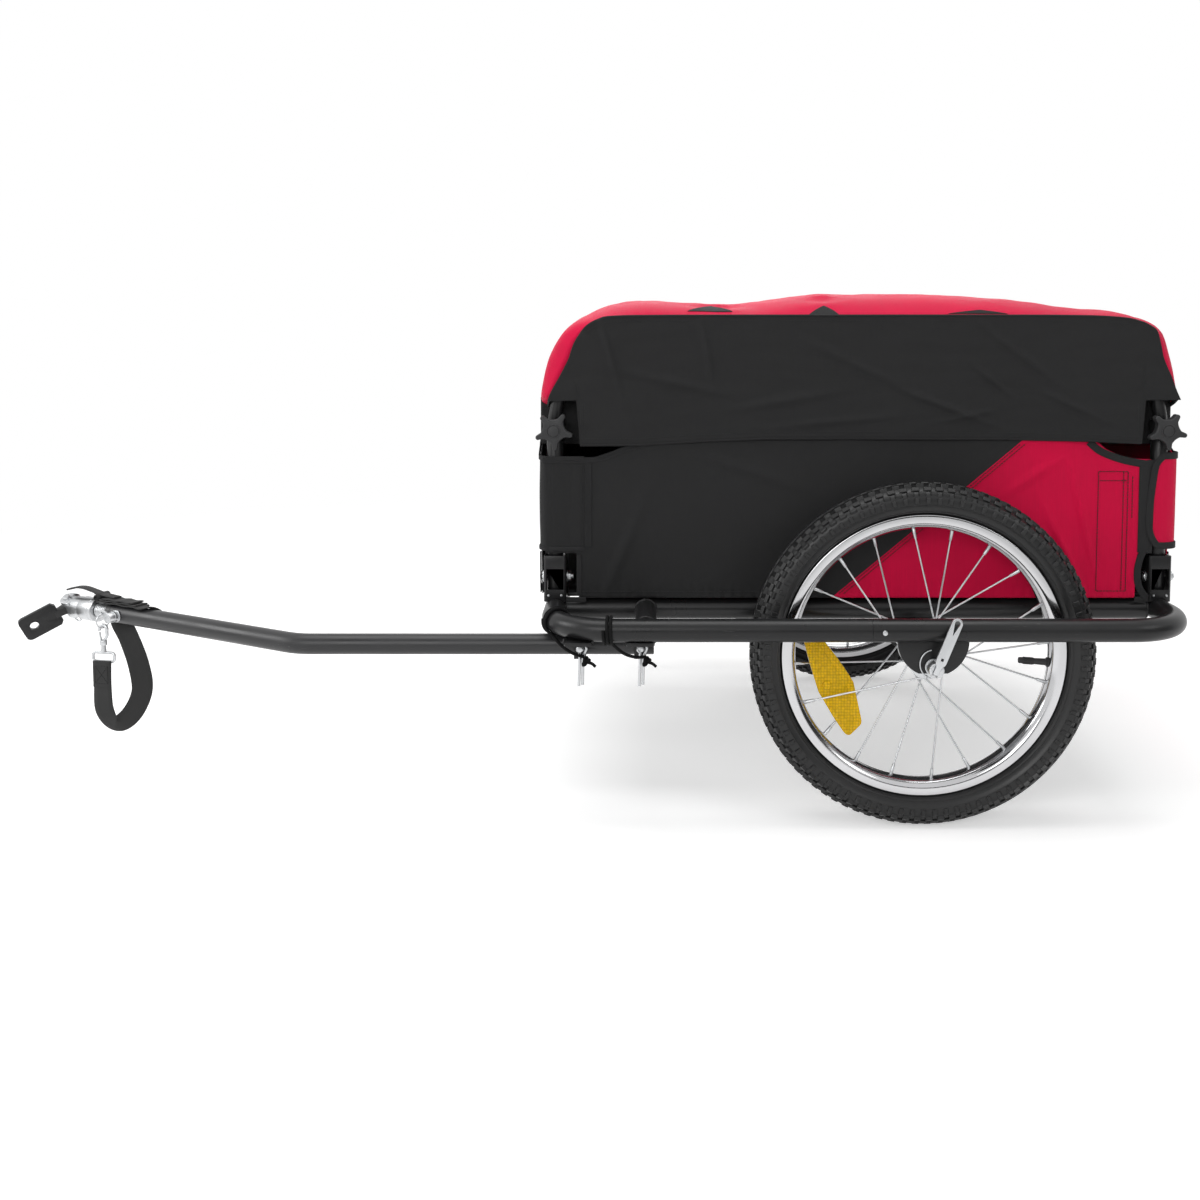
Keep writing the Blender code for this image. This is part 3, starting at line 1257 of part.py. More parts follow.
def make_eye():
    """A pin through the drawbar with an eye at its outer end."""
    frame = eye_frame()
    out = DRAWBAR_R + GAP
    eye = rod("strap_eye", (0, 0, -DRAWBAR_R), (0, 0, out + 0.001), PIN_R, SMALL_SIDES)
    eye = join(eye, rod("barrel", (0, 0, out), (0, 0, out + 0.0135), EYE_BARREL_R))
    centre = ring_centre()
    hole = (centre.x, centre.y + RING_R)
    ear = arc(hole, 0.0045, 60, 260, 6) + [(0.0, -0.002), (0.0, EYE_BARREL_R - 0.001)]
    ear = moved(sheet("ear", [ear], 0.0024), Matrix.Translation((0, 0, centre.z)))
    eye = join(eye, ear)
    drill_r = RING_WIRE_R + 0.0009
    drill = rod("drill", (*hole, centre.z - 0.01), (*hole, centre.z + 0.01), drill_r, SMALL_SIDES)
    eye = moved(cut(eye, drill), frame)
    finished(eye, "zinc", origin=frame.translation)


def make_ring():
    """The split ring in the eye."""
    centre = ring_centre()
    points = [Vector((centre.x, centre.y + a, centre.z + b)) for a, b in circle((0, 0), RING_R, 14)]
    ring = moved(wire("split_ring", points, RING_WIRE_R, 4, closed=True), eye_frame())
    finished(ring, "zinc")


def hook_frame():
    """A matrix at the top of the snap hook, which hangs in the ring: Z up, X across the strap."""
    top = eye_frame() @ (ring_centre() + Vector((0, -RING_R + RING_WIRE_R + GAP + 2 * HOOK_WIRE_R, 0)))
    return Matrix.Translation(top) @ Matrix.Rotation(math.radians(-12), 4, "Z")


def make_hook():
    """The snap hook: an open hook with a gate, a stem and a wide loop for the strap."""
    frame = hook_frame()
    r = 0.0052
    drop = 0.0165
    path = [Vector((x, 0, z)) for x, z in arc((0, -r - HOOK_WIRE_R), r, 205, -20, 7)]
    path += [Vector((r, 0, -drop)), Vector((0.0, 0, -drop - 0.0055)), Vector((0.0, 0, -HOOK_LENGTH + 0.004))]
    hook = wire("snap_hook", path, HOOK_WIRE_R, 6)
    hook = join(hook, rod("swivel", (0, 0, -drop - 0.0045), (0, 0, -drop - 0.0105), 0.0042, SMALL_SIDES))
    half = STRAP_HALF_WIDTH + 0.0022
    low = -HOOK_LENGTH - 0.0075
    corners = [(0, 0, -HOOK_LENGTH + 0.0045), (-half, 0, -HOOK_LENGTH + 0.0035)]
    corners += [(-half, 0, low), (half, 0, low)]
    corners += [(half, 0, -HOOK_LENGTH + 0.0035), (0.0004, 0, -HOOK_LENGTH + 0.0045)]
    loop = filleted(corners[1:-1], [0.003, 0.003], 30)
    loop = [Vector((0, 0, -HOOK_LENGTH + 0.0045))] + loop
    hook = join(hook, wire("loop", loop, 0.0018, 6, closed=True))
    finished(moved(hook, frame), "zinc", origin=frame.translation)

    gate_x = -r + 0.0002
    start = Vector((gate_x + 0.0018, 0, -drop - 0.0041))
    end = Vector((gate_x + 0.0001, 0, -r - HOOK_WIRE_R - 0.0036))
    gate = moved(rod("snap_gate", start, end, 0.0013, 6), frame)
    base = frame @ start
    axis = pivot("snap_gate_axis", base)
    hang(axis, finished(gate, "zinc", origin=base))


def ribbon(name, points, normals, half_width, half_thick):
    """A flat strap along a path, whose broad face looks along the normals."""
    shape = bmesh.new()
    rings = []
    count = len(points)
    for i, (point, normal) in enumerate(zip(points, normals)):
        way = (points[min(i + 1, count - 1)] - points[max(i - 1, 0)]).normalized()
        across = way.cross(normal).normalized()
        face = across.cross(way).normalized()
        corner = [(-1, -1), (1, -1), (1, 1), (-1, 1)]
        places = [point + across * half_width * a + face * half_thick * b for a, b in corner]
        rings.append([shape.verts.new(p) for p in places])
    for one, two in zip(rings, rings[1:]):
        for k in range(4):
            shape.faces.new((one[k], one[(k + 1) % 4], two[(k + 1) % 4], two[k]))
    shape.faces.new(rings[0])
    shape.faces.new(list(reversed(rings[-1])))
    bmesh.ops.recalc_face_normals(shape, faces=shape.faces)
    mesh = bpy.data.meshes.new(name)
    shape.to_mesh(mesh)
    shape.free()
    return place_mesh(name, mesh)


def smooth_route(points, per_span=2):
    """Points of a smooth curve through a route."""
    points = [Vector(p) for p in points]
    ends = [2 * points[0] - points[1], *points, 2 * points[-1] - points[-2]]
    out = []
    for a, b, c, d in zip(ends, ends[1:], ends[2:], ends[3:]):
        for i in range(per_span):
            t = i / per_span
            square = (2 * a - 5 * b + 4 * c - d) * t**2
            cube = (3 * b - 3 * c + d - a) * t**3
            out.append(0.5 * (2 * b + (c - a) * t + square + cube))
    out.append(points[-1])
    return out


def make_safety_strap():
    """The strap from the snap hook's loop down and back up to the drawbar, with half a twist in it."""
    frame = hook_frame()
    start = frame @ Vector((0, -0.0018 - STRAP_HALF_THICK - 0.0006, -HOOK_LENGTH - 0.0060))
    face = frame.to_3x3() @ Vector((0, -1, 0))
    over = drawbar_point(EYE_BACK + 0.010)
    lift = DRAWBAR_R + GAP + STRAP_HALF_THICK + 0.0002
    forward, left = drawbar_ways()
    low = DRAWBAR_Z - 0.150
    route = [
        start,
        start + Vector((0.000, -0.001, -0.030)),
        start + Vector((0.001, 0.000, -0.056)),
        Vector((start.x + 0.014, start.y + 0.006, low)),
        Vector((start.x + 0.033, start.y + 0.022, low + 0.020)),
        Vector((start.x + 0.040, start.y + 0.034, low + 0.048)),
        Vector((start.x + 0.030, over.y + 0.020, low + 0.082)),
        over - left * (lift + 0.004) + Vector((0.006, 0, -0.018)),
        over - left * lift + Vector((0.0, 0, 0.002)),
    ]
    ways = [face, face, left + Vector((0, 0, -0.6)), Vector((-0.4, -0.5, -1.2)), Vector((-1.0, -0.1, -0.5))]
    ways += [Vector((-0.9, -0.6, 0.1)), Vector((-0.6, -0.9, 0.1)), left, left]
    points = smooth_route(route)
    normals = smooth_route(ways)
    strap = ribbon("safety_strap", points, normals, STRAP_HALF_WIDTH, STRAP_HALF_THICK)
    finished(strap, "webbing")


def make_coupling_strap():
    """The second strap, which lies on the drawbar and arches forward over the coupling to the hitch plate."""
    forward, left = drawbar_ways()
    up = Vector((0, 0, 1))
    rest = DRAWBAR_R * math.cos(math.pi / TUBE_SIDES) + 2 * GAP + STRAP_HALF_THICK
    route = []
    for back, height in ((0.044, rest), (0.030, rest + 0.001), (0.010, rest + 0.002), (-0.012, rest + 0.004)):
        route.append(drawbar_point(back) + up * height)
    for back, height in ((-0.035, rest + 0.0110), (-0.058, rest + 0.0130), (-0.080, rest + 0.0085)):
        route.append(drawbar_point(back) + up * height)
    points = smooth_route(route)
    normals = [up] * len(points)
    strap = ribbon("coupling_strap", points, normals, STRAP_HALF_WIDTH * 0.7, STRAP_HALF_THICK)
    finished(strap, "webbing")


def main():
    make_perimeter()
    for side_name, side in SIDES.items():
        make_rail(side_name, side)
    for end_name, x in CROSS_TUBE_XS.items():
        make_cross_tube(end_name, x)
    make_floor()
    for side_name, side in SIDES.items():
        hinge = pivot(f"side_frame_{side_name}_axis", (POST_XS["front"], side * POST_Y, HINGE_Z))
        for end_name in POST_XS:
            make_bracket(end_name, side_name, side)
            make_post(end_name, side_name, side, hinge)
            make_knob(end_name, side_name, side, hinge)
        make_hoop(side_name, side, hinge)
        make_side_wall(side_name, side, hinge)
    make_end_wall("front", -1)
    make_end_wall("rear", 1)
    make_cover()
    for side_name, side in SIDES.items():
        make_wheel(side_name, side)
        make_axle(side_name, side)
        make_quick_release(side_name, side)
    make_drawbar()
    for end_name in SOCKET_XS:
        make_socket(end_name)
        make_hitch_pin(end_name)
    for end_name, x in LANYARD_XS.items():
        make_lanyard(end_name, x)
    flex_axis = make_spring()
    roll_axis = make_sleeve(flex_axis)
    make_hitch_plate(roll_axis)
    make_eye()
    make_ring()
    make_hook()
    make_safety_strap()
    make_coupling_strap()


clear_scene()
TRAILER = new_collection("Bike_Cargo_Trailer")
main()
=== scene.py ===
"""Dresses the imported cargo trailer: its tubes, wheels, fabric box, cover, coupling and straps."""

import json
import math
from typing import NamedTuple

import bmesh
import bpy
import numpy as np
from mathutils import Matrix, Vector, noise
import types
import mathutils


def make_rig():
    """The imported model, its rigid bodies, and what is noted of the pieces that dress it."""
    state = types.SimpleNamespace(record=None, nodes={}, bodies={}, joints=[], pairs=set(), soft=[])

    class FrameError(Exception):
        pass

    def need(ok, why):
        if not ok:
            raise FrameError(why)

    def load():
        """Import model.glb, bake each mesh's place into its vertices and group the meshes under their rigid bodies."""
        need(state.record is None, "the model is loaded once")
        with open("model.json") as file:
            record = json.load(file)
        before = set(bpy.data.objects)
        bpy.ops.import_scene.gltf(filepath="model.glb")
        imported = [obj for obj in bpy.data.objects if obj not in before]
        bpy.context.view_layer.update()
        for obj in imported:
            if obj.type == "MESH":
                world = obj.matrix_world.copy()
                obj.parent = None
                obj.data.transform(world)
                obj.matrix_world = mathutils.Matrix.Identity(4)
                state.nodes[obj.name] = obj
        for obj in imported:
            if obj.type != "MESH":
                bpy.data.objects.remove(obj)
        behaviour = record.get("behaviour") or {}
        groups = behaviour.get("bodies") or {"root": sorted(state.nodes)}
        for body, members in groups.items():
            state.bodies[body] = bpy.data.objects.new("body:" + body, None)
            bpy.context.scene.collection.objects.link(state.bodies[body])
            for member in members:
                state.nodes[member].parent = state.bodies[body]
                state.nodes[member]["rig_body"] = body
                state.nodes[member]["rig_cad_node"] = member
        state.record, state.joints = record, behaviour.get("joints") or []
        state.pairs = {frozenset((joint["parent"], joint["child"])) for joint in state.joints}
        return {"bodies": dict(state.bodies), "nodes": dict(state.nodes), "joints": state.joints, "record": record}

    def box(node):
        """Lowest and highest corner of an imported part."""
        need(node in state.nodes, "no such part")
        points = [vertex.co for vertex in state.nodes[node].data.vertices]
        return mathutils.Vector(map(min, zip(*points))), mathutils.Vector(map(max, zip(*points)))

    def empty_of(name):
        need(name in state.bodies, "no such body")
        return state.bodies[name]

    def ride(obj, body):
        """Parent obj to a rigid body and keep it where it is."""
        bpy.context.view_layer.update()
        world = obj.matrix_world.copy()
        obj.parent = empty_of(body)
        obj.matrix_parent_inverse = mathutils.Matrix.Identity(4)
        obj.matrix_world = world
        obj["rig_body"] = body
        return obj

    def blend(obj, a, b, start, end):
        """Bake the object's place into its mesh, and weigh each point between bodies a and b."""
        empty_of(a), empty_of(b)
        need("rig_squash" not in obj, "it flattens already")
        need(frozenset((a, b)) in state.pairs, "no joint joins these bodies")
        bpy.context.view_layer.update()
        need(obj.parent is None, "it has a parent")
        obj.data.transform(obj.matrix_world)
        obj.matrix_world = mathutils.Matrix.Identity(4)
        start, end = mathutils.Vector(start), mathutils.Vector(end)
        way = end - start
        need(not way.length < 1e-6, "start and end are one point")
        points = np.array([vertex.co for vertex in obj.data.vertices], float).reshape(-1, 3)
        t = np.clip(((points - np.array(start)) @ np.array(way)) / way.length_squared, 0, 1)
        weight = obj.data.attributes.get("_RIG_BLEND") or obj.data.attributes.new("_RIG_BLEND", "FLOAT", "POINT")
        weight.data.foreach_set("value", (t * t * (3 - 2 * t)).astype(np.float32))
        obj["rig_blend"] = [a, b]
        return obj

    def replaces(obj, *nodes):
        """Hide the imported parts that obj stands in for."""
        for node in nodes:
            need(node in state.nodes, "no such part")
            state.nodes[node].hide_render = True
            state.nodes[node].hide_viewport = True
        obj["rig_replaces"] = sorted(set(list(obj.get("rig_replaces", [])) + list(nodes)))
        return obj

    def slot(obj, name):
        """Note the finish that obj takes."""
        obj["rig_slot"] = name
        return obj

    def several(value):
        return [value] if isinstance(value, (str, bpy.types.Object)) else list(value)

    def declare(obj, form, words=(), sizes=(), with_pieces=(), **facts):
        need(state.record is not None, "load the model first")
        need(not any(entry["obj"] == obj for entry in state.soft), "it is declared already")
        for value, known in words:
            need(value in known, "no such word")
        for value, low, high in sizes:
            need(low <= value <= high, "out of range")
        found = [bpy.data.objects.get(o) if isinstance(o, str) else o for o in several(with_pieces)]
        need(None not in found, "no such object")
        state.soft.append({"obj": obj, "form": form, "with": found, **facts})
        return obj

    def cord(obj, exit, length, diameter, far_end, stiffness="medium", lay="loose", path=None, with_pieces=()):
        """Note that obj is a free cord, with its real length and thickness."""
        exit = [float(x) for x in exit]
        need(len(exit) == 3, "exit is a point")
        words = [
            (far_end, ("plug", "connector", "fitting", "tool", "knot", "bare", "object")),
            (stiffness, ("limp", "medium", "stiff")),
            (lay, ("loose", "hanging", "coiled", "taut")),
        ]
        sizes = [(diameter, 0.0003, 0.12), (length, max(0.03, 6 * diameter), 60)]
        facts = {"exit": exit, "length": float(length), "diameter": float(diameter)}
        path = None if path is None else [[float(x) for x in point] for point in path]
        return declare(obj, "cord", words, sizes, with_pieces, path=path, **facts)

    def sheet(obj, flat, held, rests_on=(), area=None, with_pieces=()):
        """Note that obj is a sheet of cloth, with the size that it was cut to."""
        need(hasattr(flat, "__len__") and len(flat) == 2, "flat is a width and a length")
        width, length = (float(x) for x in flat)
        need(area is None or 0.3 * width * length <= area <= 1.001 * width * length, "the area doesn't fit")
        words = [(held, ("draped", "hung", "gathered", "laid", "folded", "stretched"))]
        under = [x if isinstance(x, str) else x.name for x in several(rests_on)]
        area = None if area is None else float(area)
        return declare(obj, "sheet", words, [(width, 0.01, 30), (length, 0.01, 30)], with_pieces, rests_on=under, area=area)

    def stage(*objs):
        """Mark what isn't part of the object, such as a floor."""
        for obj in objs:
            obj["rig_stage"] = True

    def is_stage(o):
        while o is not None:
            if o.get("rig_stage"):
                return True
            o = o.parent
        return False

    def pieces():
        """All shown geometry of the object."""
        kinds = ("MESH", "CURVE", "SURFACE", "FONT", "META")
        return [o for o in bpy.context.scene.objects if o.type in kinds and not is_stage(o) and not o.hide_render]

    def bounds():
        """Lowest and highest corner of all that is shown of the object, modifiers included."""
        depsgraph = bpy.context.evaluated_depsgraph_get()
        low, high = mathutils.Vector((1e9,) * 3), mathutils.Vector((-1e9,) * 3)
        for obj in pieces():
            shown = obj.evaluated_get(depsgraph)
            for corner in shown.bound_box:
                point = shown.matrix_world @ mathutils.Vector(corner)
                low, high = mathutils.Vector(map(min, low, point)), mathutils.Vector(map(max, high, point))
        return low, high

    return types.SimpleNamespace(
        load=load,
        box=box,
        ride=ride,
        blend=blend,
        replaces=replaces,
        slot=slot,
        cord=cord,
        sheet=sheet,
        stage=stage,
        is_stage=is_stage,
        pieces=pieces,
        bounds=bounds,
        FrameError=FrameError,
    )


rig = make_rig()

bl_info = {
    "name": "Bicycle cargo trailer",
    "version": (1, 0, 0),
    "blender": (4, 5, 0),
    "location": "View3D > Sidebar > Trailer",
    "description": "Builds the detailed pieces of a covered two-wheeled cargo trailer on its solid model",
    "category": "Object",
}

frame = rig.load()
CAD_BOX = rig.bounds()

# The angle from which an edge is sharp, and how near to each other two points are one, in metres
SHARP = math.radians(35)
MERGE = 0.00001

SIDES = {"left": -1, "right": 1}
ENDS = {"front": -1, "rear": 1}

# Levels and axes of the solid model, which the pieces are set on
TUBE_R = (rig.box("frame_front_loop")[1].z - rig.box("frame_front_loop")[0].z) / 2
TUBE_Z = 0.236
TUBE_LOOK = TUBE_R + 0.0009
TUBE_HALF = 0.3525
FRONT_X = -0.019
REAR_X = 0.686
POST_XS = {"front": FRONT_X, "rear": REAR_X}
RAIL_Y = 0.2405
POST_Y = 0.24
AXLE = Vector((0.4, 0.0, 0.196))
WHEEL_Y = 0.2965
HINGE_Z = 0.2735
KNOB_Z = 0.446
HOOP_Z = 0.5678
BAR_Z = 0.2072
BAR_R = 0.0117
BAR_FRONT = Vector((-0.5848, -0.1406, BAR_Z))
BAR_BEND = Vector((-0.308, -0.298, BAR_Z))

# The slanting seam of the box's sides, in X and Z, from its foot to its top
SLANT = ((0.303, 0.2505), (0.522, 0.4348))


def length_property(label, text, value):
    return bpy.props.FloatProperty(name=label, description=text, default=value, unit="LENGTH")


class TrailerSizes(bpy.types.PropertyGroup):
    """Sizes of the details, in metres."""

    binding: length_property("Binding", "Width of the edge binding", 0.0088)
    thread: length_property("Thread", "Distance between two threads of the weave", 0.0007)
    lugs: bpy.props.IntProperty(name="Lugs", description="Tread blocks in one ring of a tyre", default=88, min=20)
    lug_depth: length_property("Lug depth", "Height of a tread block", 0.0031)
    spoke: length_property("Spoke", "Radius of a spoke", 0.00105)
    strap_width: length_property("Strap", "Width of the safety strap", 0.025)
    cord: length_property("Cord", "Diameter of the pins' cords", 0.0036)


def colour_property(label, text, value):
    return bpy.props.FloatVectorProperty(
        name=label, description=text, default=value, subtype="COLOR", size=3, min=0.0, max=1.0
    )


class TrailerColours(bpy.types.PropertyGroup):
    """Colours of the finishes."""

    steel: colour_property("Steel", "Black powder coat", (0.0105, 0.0105, 0.011))
    # The drawbar is black like the frame. Its lighter colour is painted light, standing in for the light that its tube
    # catches
    drawbar: colour_property("Drawbar", "Black powder coat, painted lighter for the light on it", (0.022, 0.022, 0.0232))
    zinc: colour_property("Zinc", "Zinc plating", (0.52, 0.53, 0.54))
    chrome: colour_property("Chrome", "Chrome plating of the rims", (0.52, 0.52, 0.53))
    rubber: colour_property("Rubber", "Tyres", (0.0085, 0.0085, 0.0088))
    plastic: colour_property("Plastic", "Knobs and valve caps", (0.026, 0.026, 0.027))
    amber: colour_property("Amber", "Wheel reflectors", (0.93, 0.56, 0.006))
    black_cloth: colour_property("Black cloth", "Black box fabric", (0.018, 0.018, 0.0185))
    red_cloth: colour_property("Red cloth", "Red box fabric", (0.6, 0.0004, 0.046))
    webbing: colour_property("Webbing", "Straps and cords", (0.0048, 0.0048, 0.005))
    board: colour_property("Board", "Floor sheet", (0.022, 0.022, 0.023))


# Selection and modelling steps


def deselect():
    """Leave edit mode with nothing selected."""
    if bpy.context.mode != "OBJECT":
        bpy.ops.object.mode_set(mode="OBJECT")
    bpy.ops.object.select_all(action="DESELECT")


def take(obj):
    """Select only this object and make it active."""
    deselect()
    obj.select_set(True)
    bpy.context.view_layer.objects.active = obj
    return obj


def edit(obj):
    """Enter edit mode with the whole mesh selected."""
    take(obj)
    bpy.ops.object.mode_set(mode="EDIT")
    bpy.ops.mesh.select_all(action="SELECT")


def done(obj):
    """Leave edit mode and put the object's place into its mesh."""
    take(obj)
    bpy.ops.object.transform_apply(location=True, rotation=True, scale=True)
    return obj


def named(obj, name):
    """Give a piece its own name."""
    obj.name = name
    obj.data.name = name
    return obj


def fresh(name):
    """Name the object that an operator has just added or joined."""
    return named(bpy.context.object, name)


def modify(obj, kind, **values):
    """Add a modifier with these settings and apply it."""
    take(obj)
    step = obj.modifiers.new(kind, kind)
    for key, value in values.items():
        setattr(step, key, value)
    bpy.ops.object.modifier_apply(modifier=step.name)
    return obj


def rounded(obj, width, segments=2):
    """Round the sharp edges of a piece."""
    return modify(obj, "BEVEL", width=width, segments=segments, limit_method="ANGLE", angle_limit=SHARP)


def smooth(obj, angle=35):
    """Smooth shading, with edges sharper than the angle left sharp."""
    take(obj)
    bpy.ops.object.shade_smooth_by_angle(angle=math.radians(angle))
    return obj


def joined(name, *pieces):
    """Join pieces into one object."""
    take(pieces[0])
    for piece in pieces:
        piece.select_set(True)
    bpy.ops.object.join()
    return fresh(name)


def cut_with(obj, cutter):
    """Cut one closed piece out of another and use it up."""
    modify(obj, "BOOLEAN", object=cutter, operation="DIFFERENCE", solver="EXACT")
    bpy.data.objects.remove(cutter, do_unlink=True)
    return obj


def placed(obj, matrix):
    """Move a piece's mesh by a matrix, with its faces kept outwards."""
    obj.data.transform(matrix)
    if matrix.determinant() < 0:
        obj.data.flip_normals()
    return obj


def bar(name, start, end, radius, sides=32, end_radius=None, edge=0.0):
    """A round bar between two points."""
    start = Vector(start)
    end = Vector(end)
    deselect()
    bpy.ops.mesh.primitive_cone_add(
        vertices=sides,
        radius1=radius,
        radius2=radius if end_radius is None else end_radius,
        depth=(end - start).length,
        location=(start + end) / 2,
        rotation=(end - start).to_track_quat("Z", "Y").to_euler(),
    )
    obj = done(fresh(name))
    if edge:
        rounded(obj, edge)
    return smooth(obj)


def block(name, low, high, edge=0.0, segments=2):
    """A block between two corners."""
    deselect()
    low = Vector(low)
    high = Vector(high)
    bpy.ops.mesh.primitive_cube_add(size=1.0, location=(low + high) / 2)
    obj = fresh(name)
    obj.scale = high - low
    done(obj)
    if edge:
        rounded(obj, edge, segments)
    return smooth(obj)


def plate(name, outline, thickness, edge=0.0, segments=2):
    """A flat piece in XY, half its thickness on each side of Z = 0, from a filled outline that is extruded."""
    deselect()
    bpy.ops.mesh.primitive_circle_add(vertices=len(outline), radius=0.01, fill_type="NGON")
    obj = fresh(name)
    for vert, (x, y) in zip(obj.data.vertices, outline):
        vert.co = (x, y, -thickness / 2)
    edit(obj)
    bpy.ops.mesh.extrude_region_move(TRANSFORM_OT_translate={"value": (0.0, 0.0, thickness)})
    bpy.ops.mesh.select_all(action="SELECT")
    bpy.ops.mesh.normals_make_consistent(inside=False)
    deselect()
    if edge:
        rounded(obj, edge, segments)
    return smooth(obj)


def ring(name, centre, normal, radius, wire_radius, steps=32, sides=12):
    """A round ring."""
    deselect()
    bpy.ops.mesh.primitive_torus_add(
        location=centre,
        rotation=Vector(normal).to_track_quat("Z", "Y").to_euler(),
        major_radius=radius,
        minor_radius=wire_radius,
        major_segments=steps,
        minor_segments=sides,
    )
    return smooth(done(fresh(name)), 60)


def surface(name, across, along, place, size, thickness):
    """A cloth: a grid whose points are moved to place(u, v), with a UV map of this size in metres.

    A negative thickness is on the other side of the grid.
    """
    deselect()
    bpy.ops.mesh.primitive_grid_add(x_subdivisions=across, y_subdivisions=along, size=2.0, calc_uvs=True)
    obj = fresh(name)
    mesh = obj.data
    flat = np.empty(len(mesh.vertices) * 3)
    mesh.vertices.foreach_get("co", flat)
    uv = (flat.reshape(-1, 3)[:, :2] + 1.0) / 2.0
    spots = np.array([place(u, v) for u, v in uv])
    mesh.vertices.foreach_set("co", spots.ravel())
    index = np.empty(len(mesh.loops), int)
    mesh.loops.foreach_get("vertex_index", index)
    mesh.uv_layers[0].data.foreach_set("uv", (uv[index] * np.array(size)).ravel())
    mesh.update()
    modify(obj, "SOLIDIFY", thickness=abs(thickness), offset=math.copysign(1.0, thickness), use_even_offset=True)
    take(obj)
    bpy.ops.object.shade_smooth()
    return obj


def lengths(points):
    """The distance along a path to each of its points, as shares of its length, and the length."""
    steps = [0.0]
    for a, b in zip(points, points[1:]):
        steps.append(steps[-1] + (b - a).length)
    return [s / steps[-1] for s in steps], steps[-1]


def along_path(points, shares, v):
    """The point at this share of a path."""
    for i in range(1, len(points)):
        if v <= shares[i] + 1e-12:
            span = shares[i] - shares[i - 1]
            t = (v - shares[i - 1]) / span if span else 0.0
            return points[i - 1].lerp(points[i], min(max(t, 0.0), 1.0))
    return points[-1].copy()


def flowing(points, per_span=8):
    """Points of a smooth curve through a route."""
    points = [Vector(p) for p in points]
    ends = [2 * points[0] - points[1], *points, 2 * points[-1] - points[-2]]
    out = []
    for a, b, c, d in zip(ends, ends[1:], ends[2:], ends[3:]):
        for i in range(per_span):
            t = i / per_span
            bend = (2 * a - 5 * b + 4 * c - d) * t**2 + (3 * b - 3 * c + d - a) * t**3
            out.append(0.5 * (2 * b + (c - a) * t + bend))
    out.append(points[-1])
    return out


def filleted(corners, radii, step_deg=6):
    """The points of a path whose corners are arcs."""
    corners = [Vector(c) for c in corners]
    points = [corners[0]]
    for before, corner, after, radius in zip(corners, corners[1:], corners[2:], radii):
        into = (before - corner).normalized()
        out = (after - corner).normalized()
        angle = into.angle(out)
        centre = corner + (into + out).normalized() * (radius / math.sin(angle / 2))
        first = corner + into * (radius / math.tan(angle / 2)) - centre
        last = corner + out * (radius / math.tan(angle / 2)) - centre
        axis = first.cross(last).normalized()
        turn = math.pi - angle
        count = max(2, round(math.degrees(turn) / step_deg))
        for i in range(count + 1):
            points.append(centre + Matrix.Rotation(turn * i / count, 3, axis) @ first)
    points.append(corners[-1])
    return points


def ways_along(points, closed=False):
    """The direction of a path at each of its points."""
    last = len(points) - 1
    if closed:
        return [(points[(i + 1) % last] - points[(i - 1) % last]).normalized() for i in range(last + 1)]
    return [(points[min(i + 1, last)] - points[max(i - 1, 0)]).normalized() for i in range(last + 1)]


def each(normals, points):
    """A normal for each point. One that isn't in a list stands for all."""
    return [Vector(n) for n in normals] if isinstance(normals, list) else [Vector(normals)] * len(points)


def linked(obj, angle):
    """Put an object in the scene, smooth up to this angle."""
    bpy.context.scene.collection.objects.link(obj)
    return smooth(obj, angle)


def made_from(shape, name, angle):
    """An object with this shape, which is used up."""
    mesh = bpy.data.meshes.new(name)
    shape.to_mesh(mesh)
    shape.free()
    return linked(bpy.data.objects.new(name, mesh), angle)


def skin(shape, rows, across, along):
    """Faces between closed rows of points, with a UV map from across(number in its row) and along[row]."""
    layer = shape.loops.layers.uv.new("UVMap")
    for i, (one, two) in enumerate(zip(rows, rows[1:])):
        for k in range(len(one)):
            after = (k + 1) % len(one)
            face = shape.faces.new((one[k], one[after], two[after], two[k]))
            for loop, (a, b) in zip(face.loops, ((k, i), (k + 1, i), (k + 1, i + 1), (k, i + 1))):
                loop[layer].uv = (across(a), along[b])


def capped(shape, rows):
    """Close both ends of a tube."""
    shape.faces.new(list(reversed(rows[0])))
    shape.faces.new(rows[-1])


def arc(x, y, radius, start, step, count):
    """Points on a round arc, (x, y) each, with its first angle and its steps in degrees."""
    angles = [math.radians(start + step * k) for k in range(count)]
    return [(x + radius * math.cos(a), y + radius * math.sin(a)) for a in angles]


def on_circle(radius, angle_deg):
    a = math.radians(angle_deg)
    return radius * math.cos(a), radius * math.sin(a)


def hose(name, points, radius, sides=24, closed=False):
    """A round tube or cord along a path, with a UV map in metres that follows it.

    The radius is a number, or a function of the share of the length.
    """
    points = [Vector(p) for p in points]
    if closed:
        points.append(points[0].copy())
    ways = ways_along(points, closed)
    side = ways[0].orthogonal()
    turns = []
    for way in ways:
        side = (side - way * side.dot(way)).normalized()
        turns.append((side, way.cross(side)))
    twist = 0.0
    if closed:
        first, last = turns[0][0], turns[-1][0]
        twist = math.copysign(first.angle(last), -first.cross(last).dot(ways[0])) / (len(points) - 1)
    size = radius if callable(radius) else lambda share: radius
    shares, length = lengths(points)
    shape = bmesh.new()
    rows = []
    for i in range(len(points) - closed):
        side, up = turns[i]
        angles = [math.tau * k / sides + twist * i for k in range(sides)]
        r = size(shares[i])
        spots = [points[i] + side * (r * math.cos(a)) + up * (r * math.sin(a)) for a in angles]
        rows.append([shape.verts.new(spot) for spot in spots])
    if closed:
        rows.append(rows[0])
    girth = math.tau * size(0.5)
    skin(shape, rows, lambda k: girth * k / sides, [length * share for share in shares])
    if not closed:
        capped(shape, rows)
    return made_from(shape, name, 50)


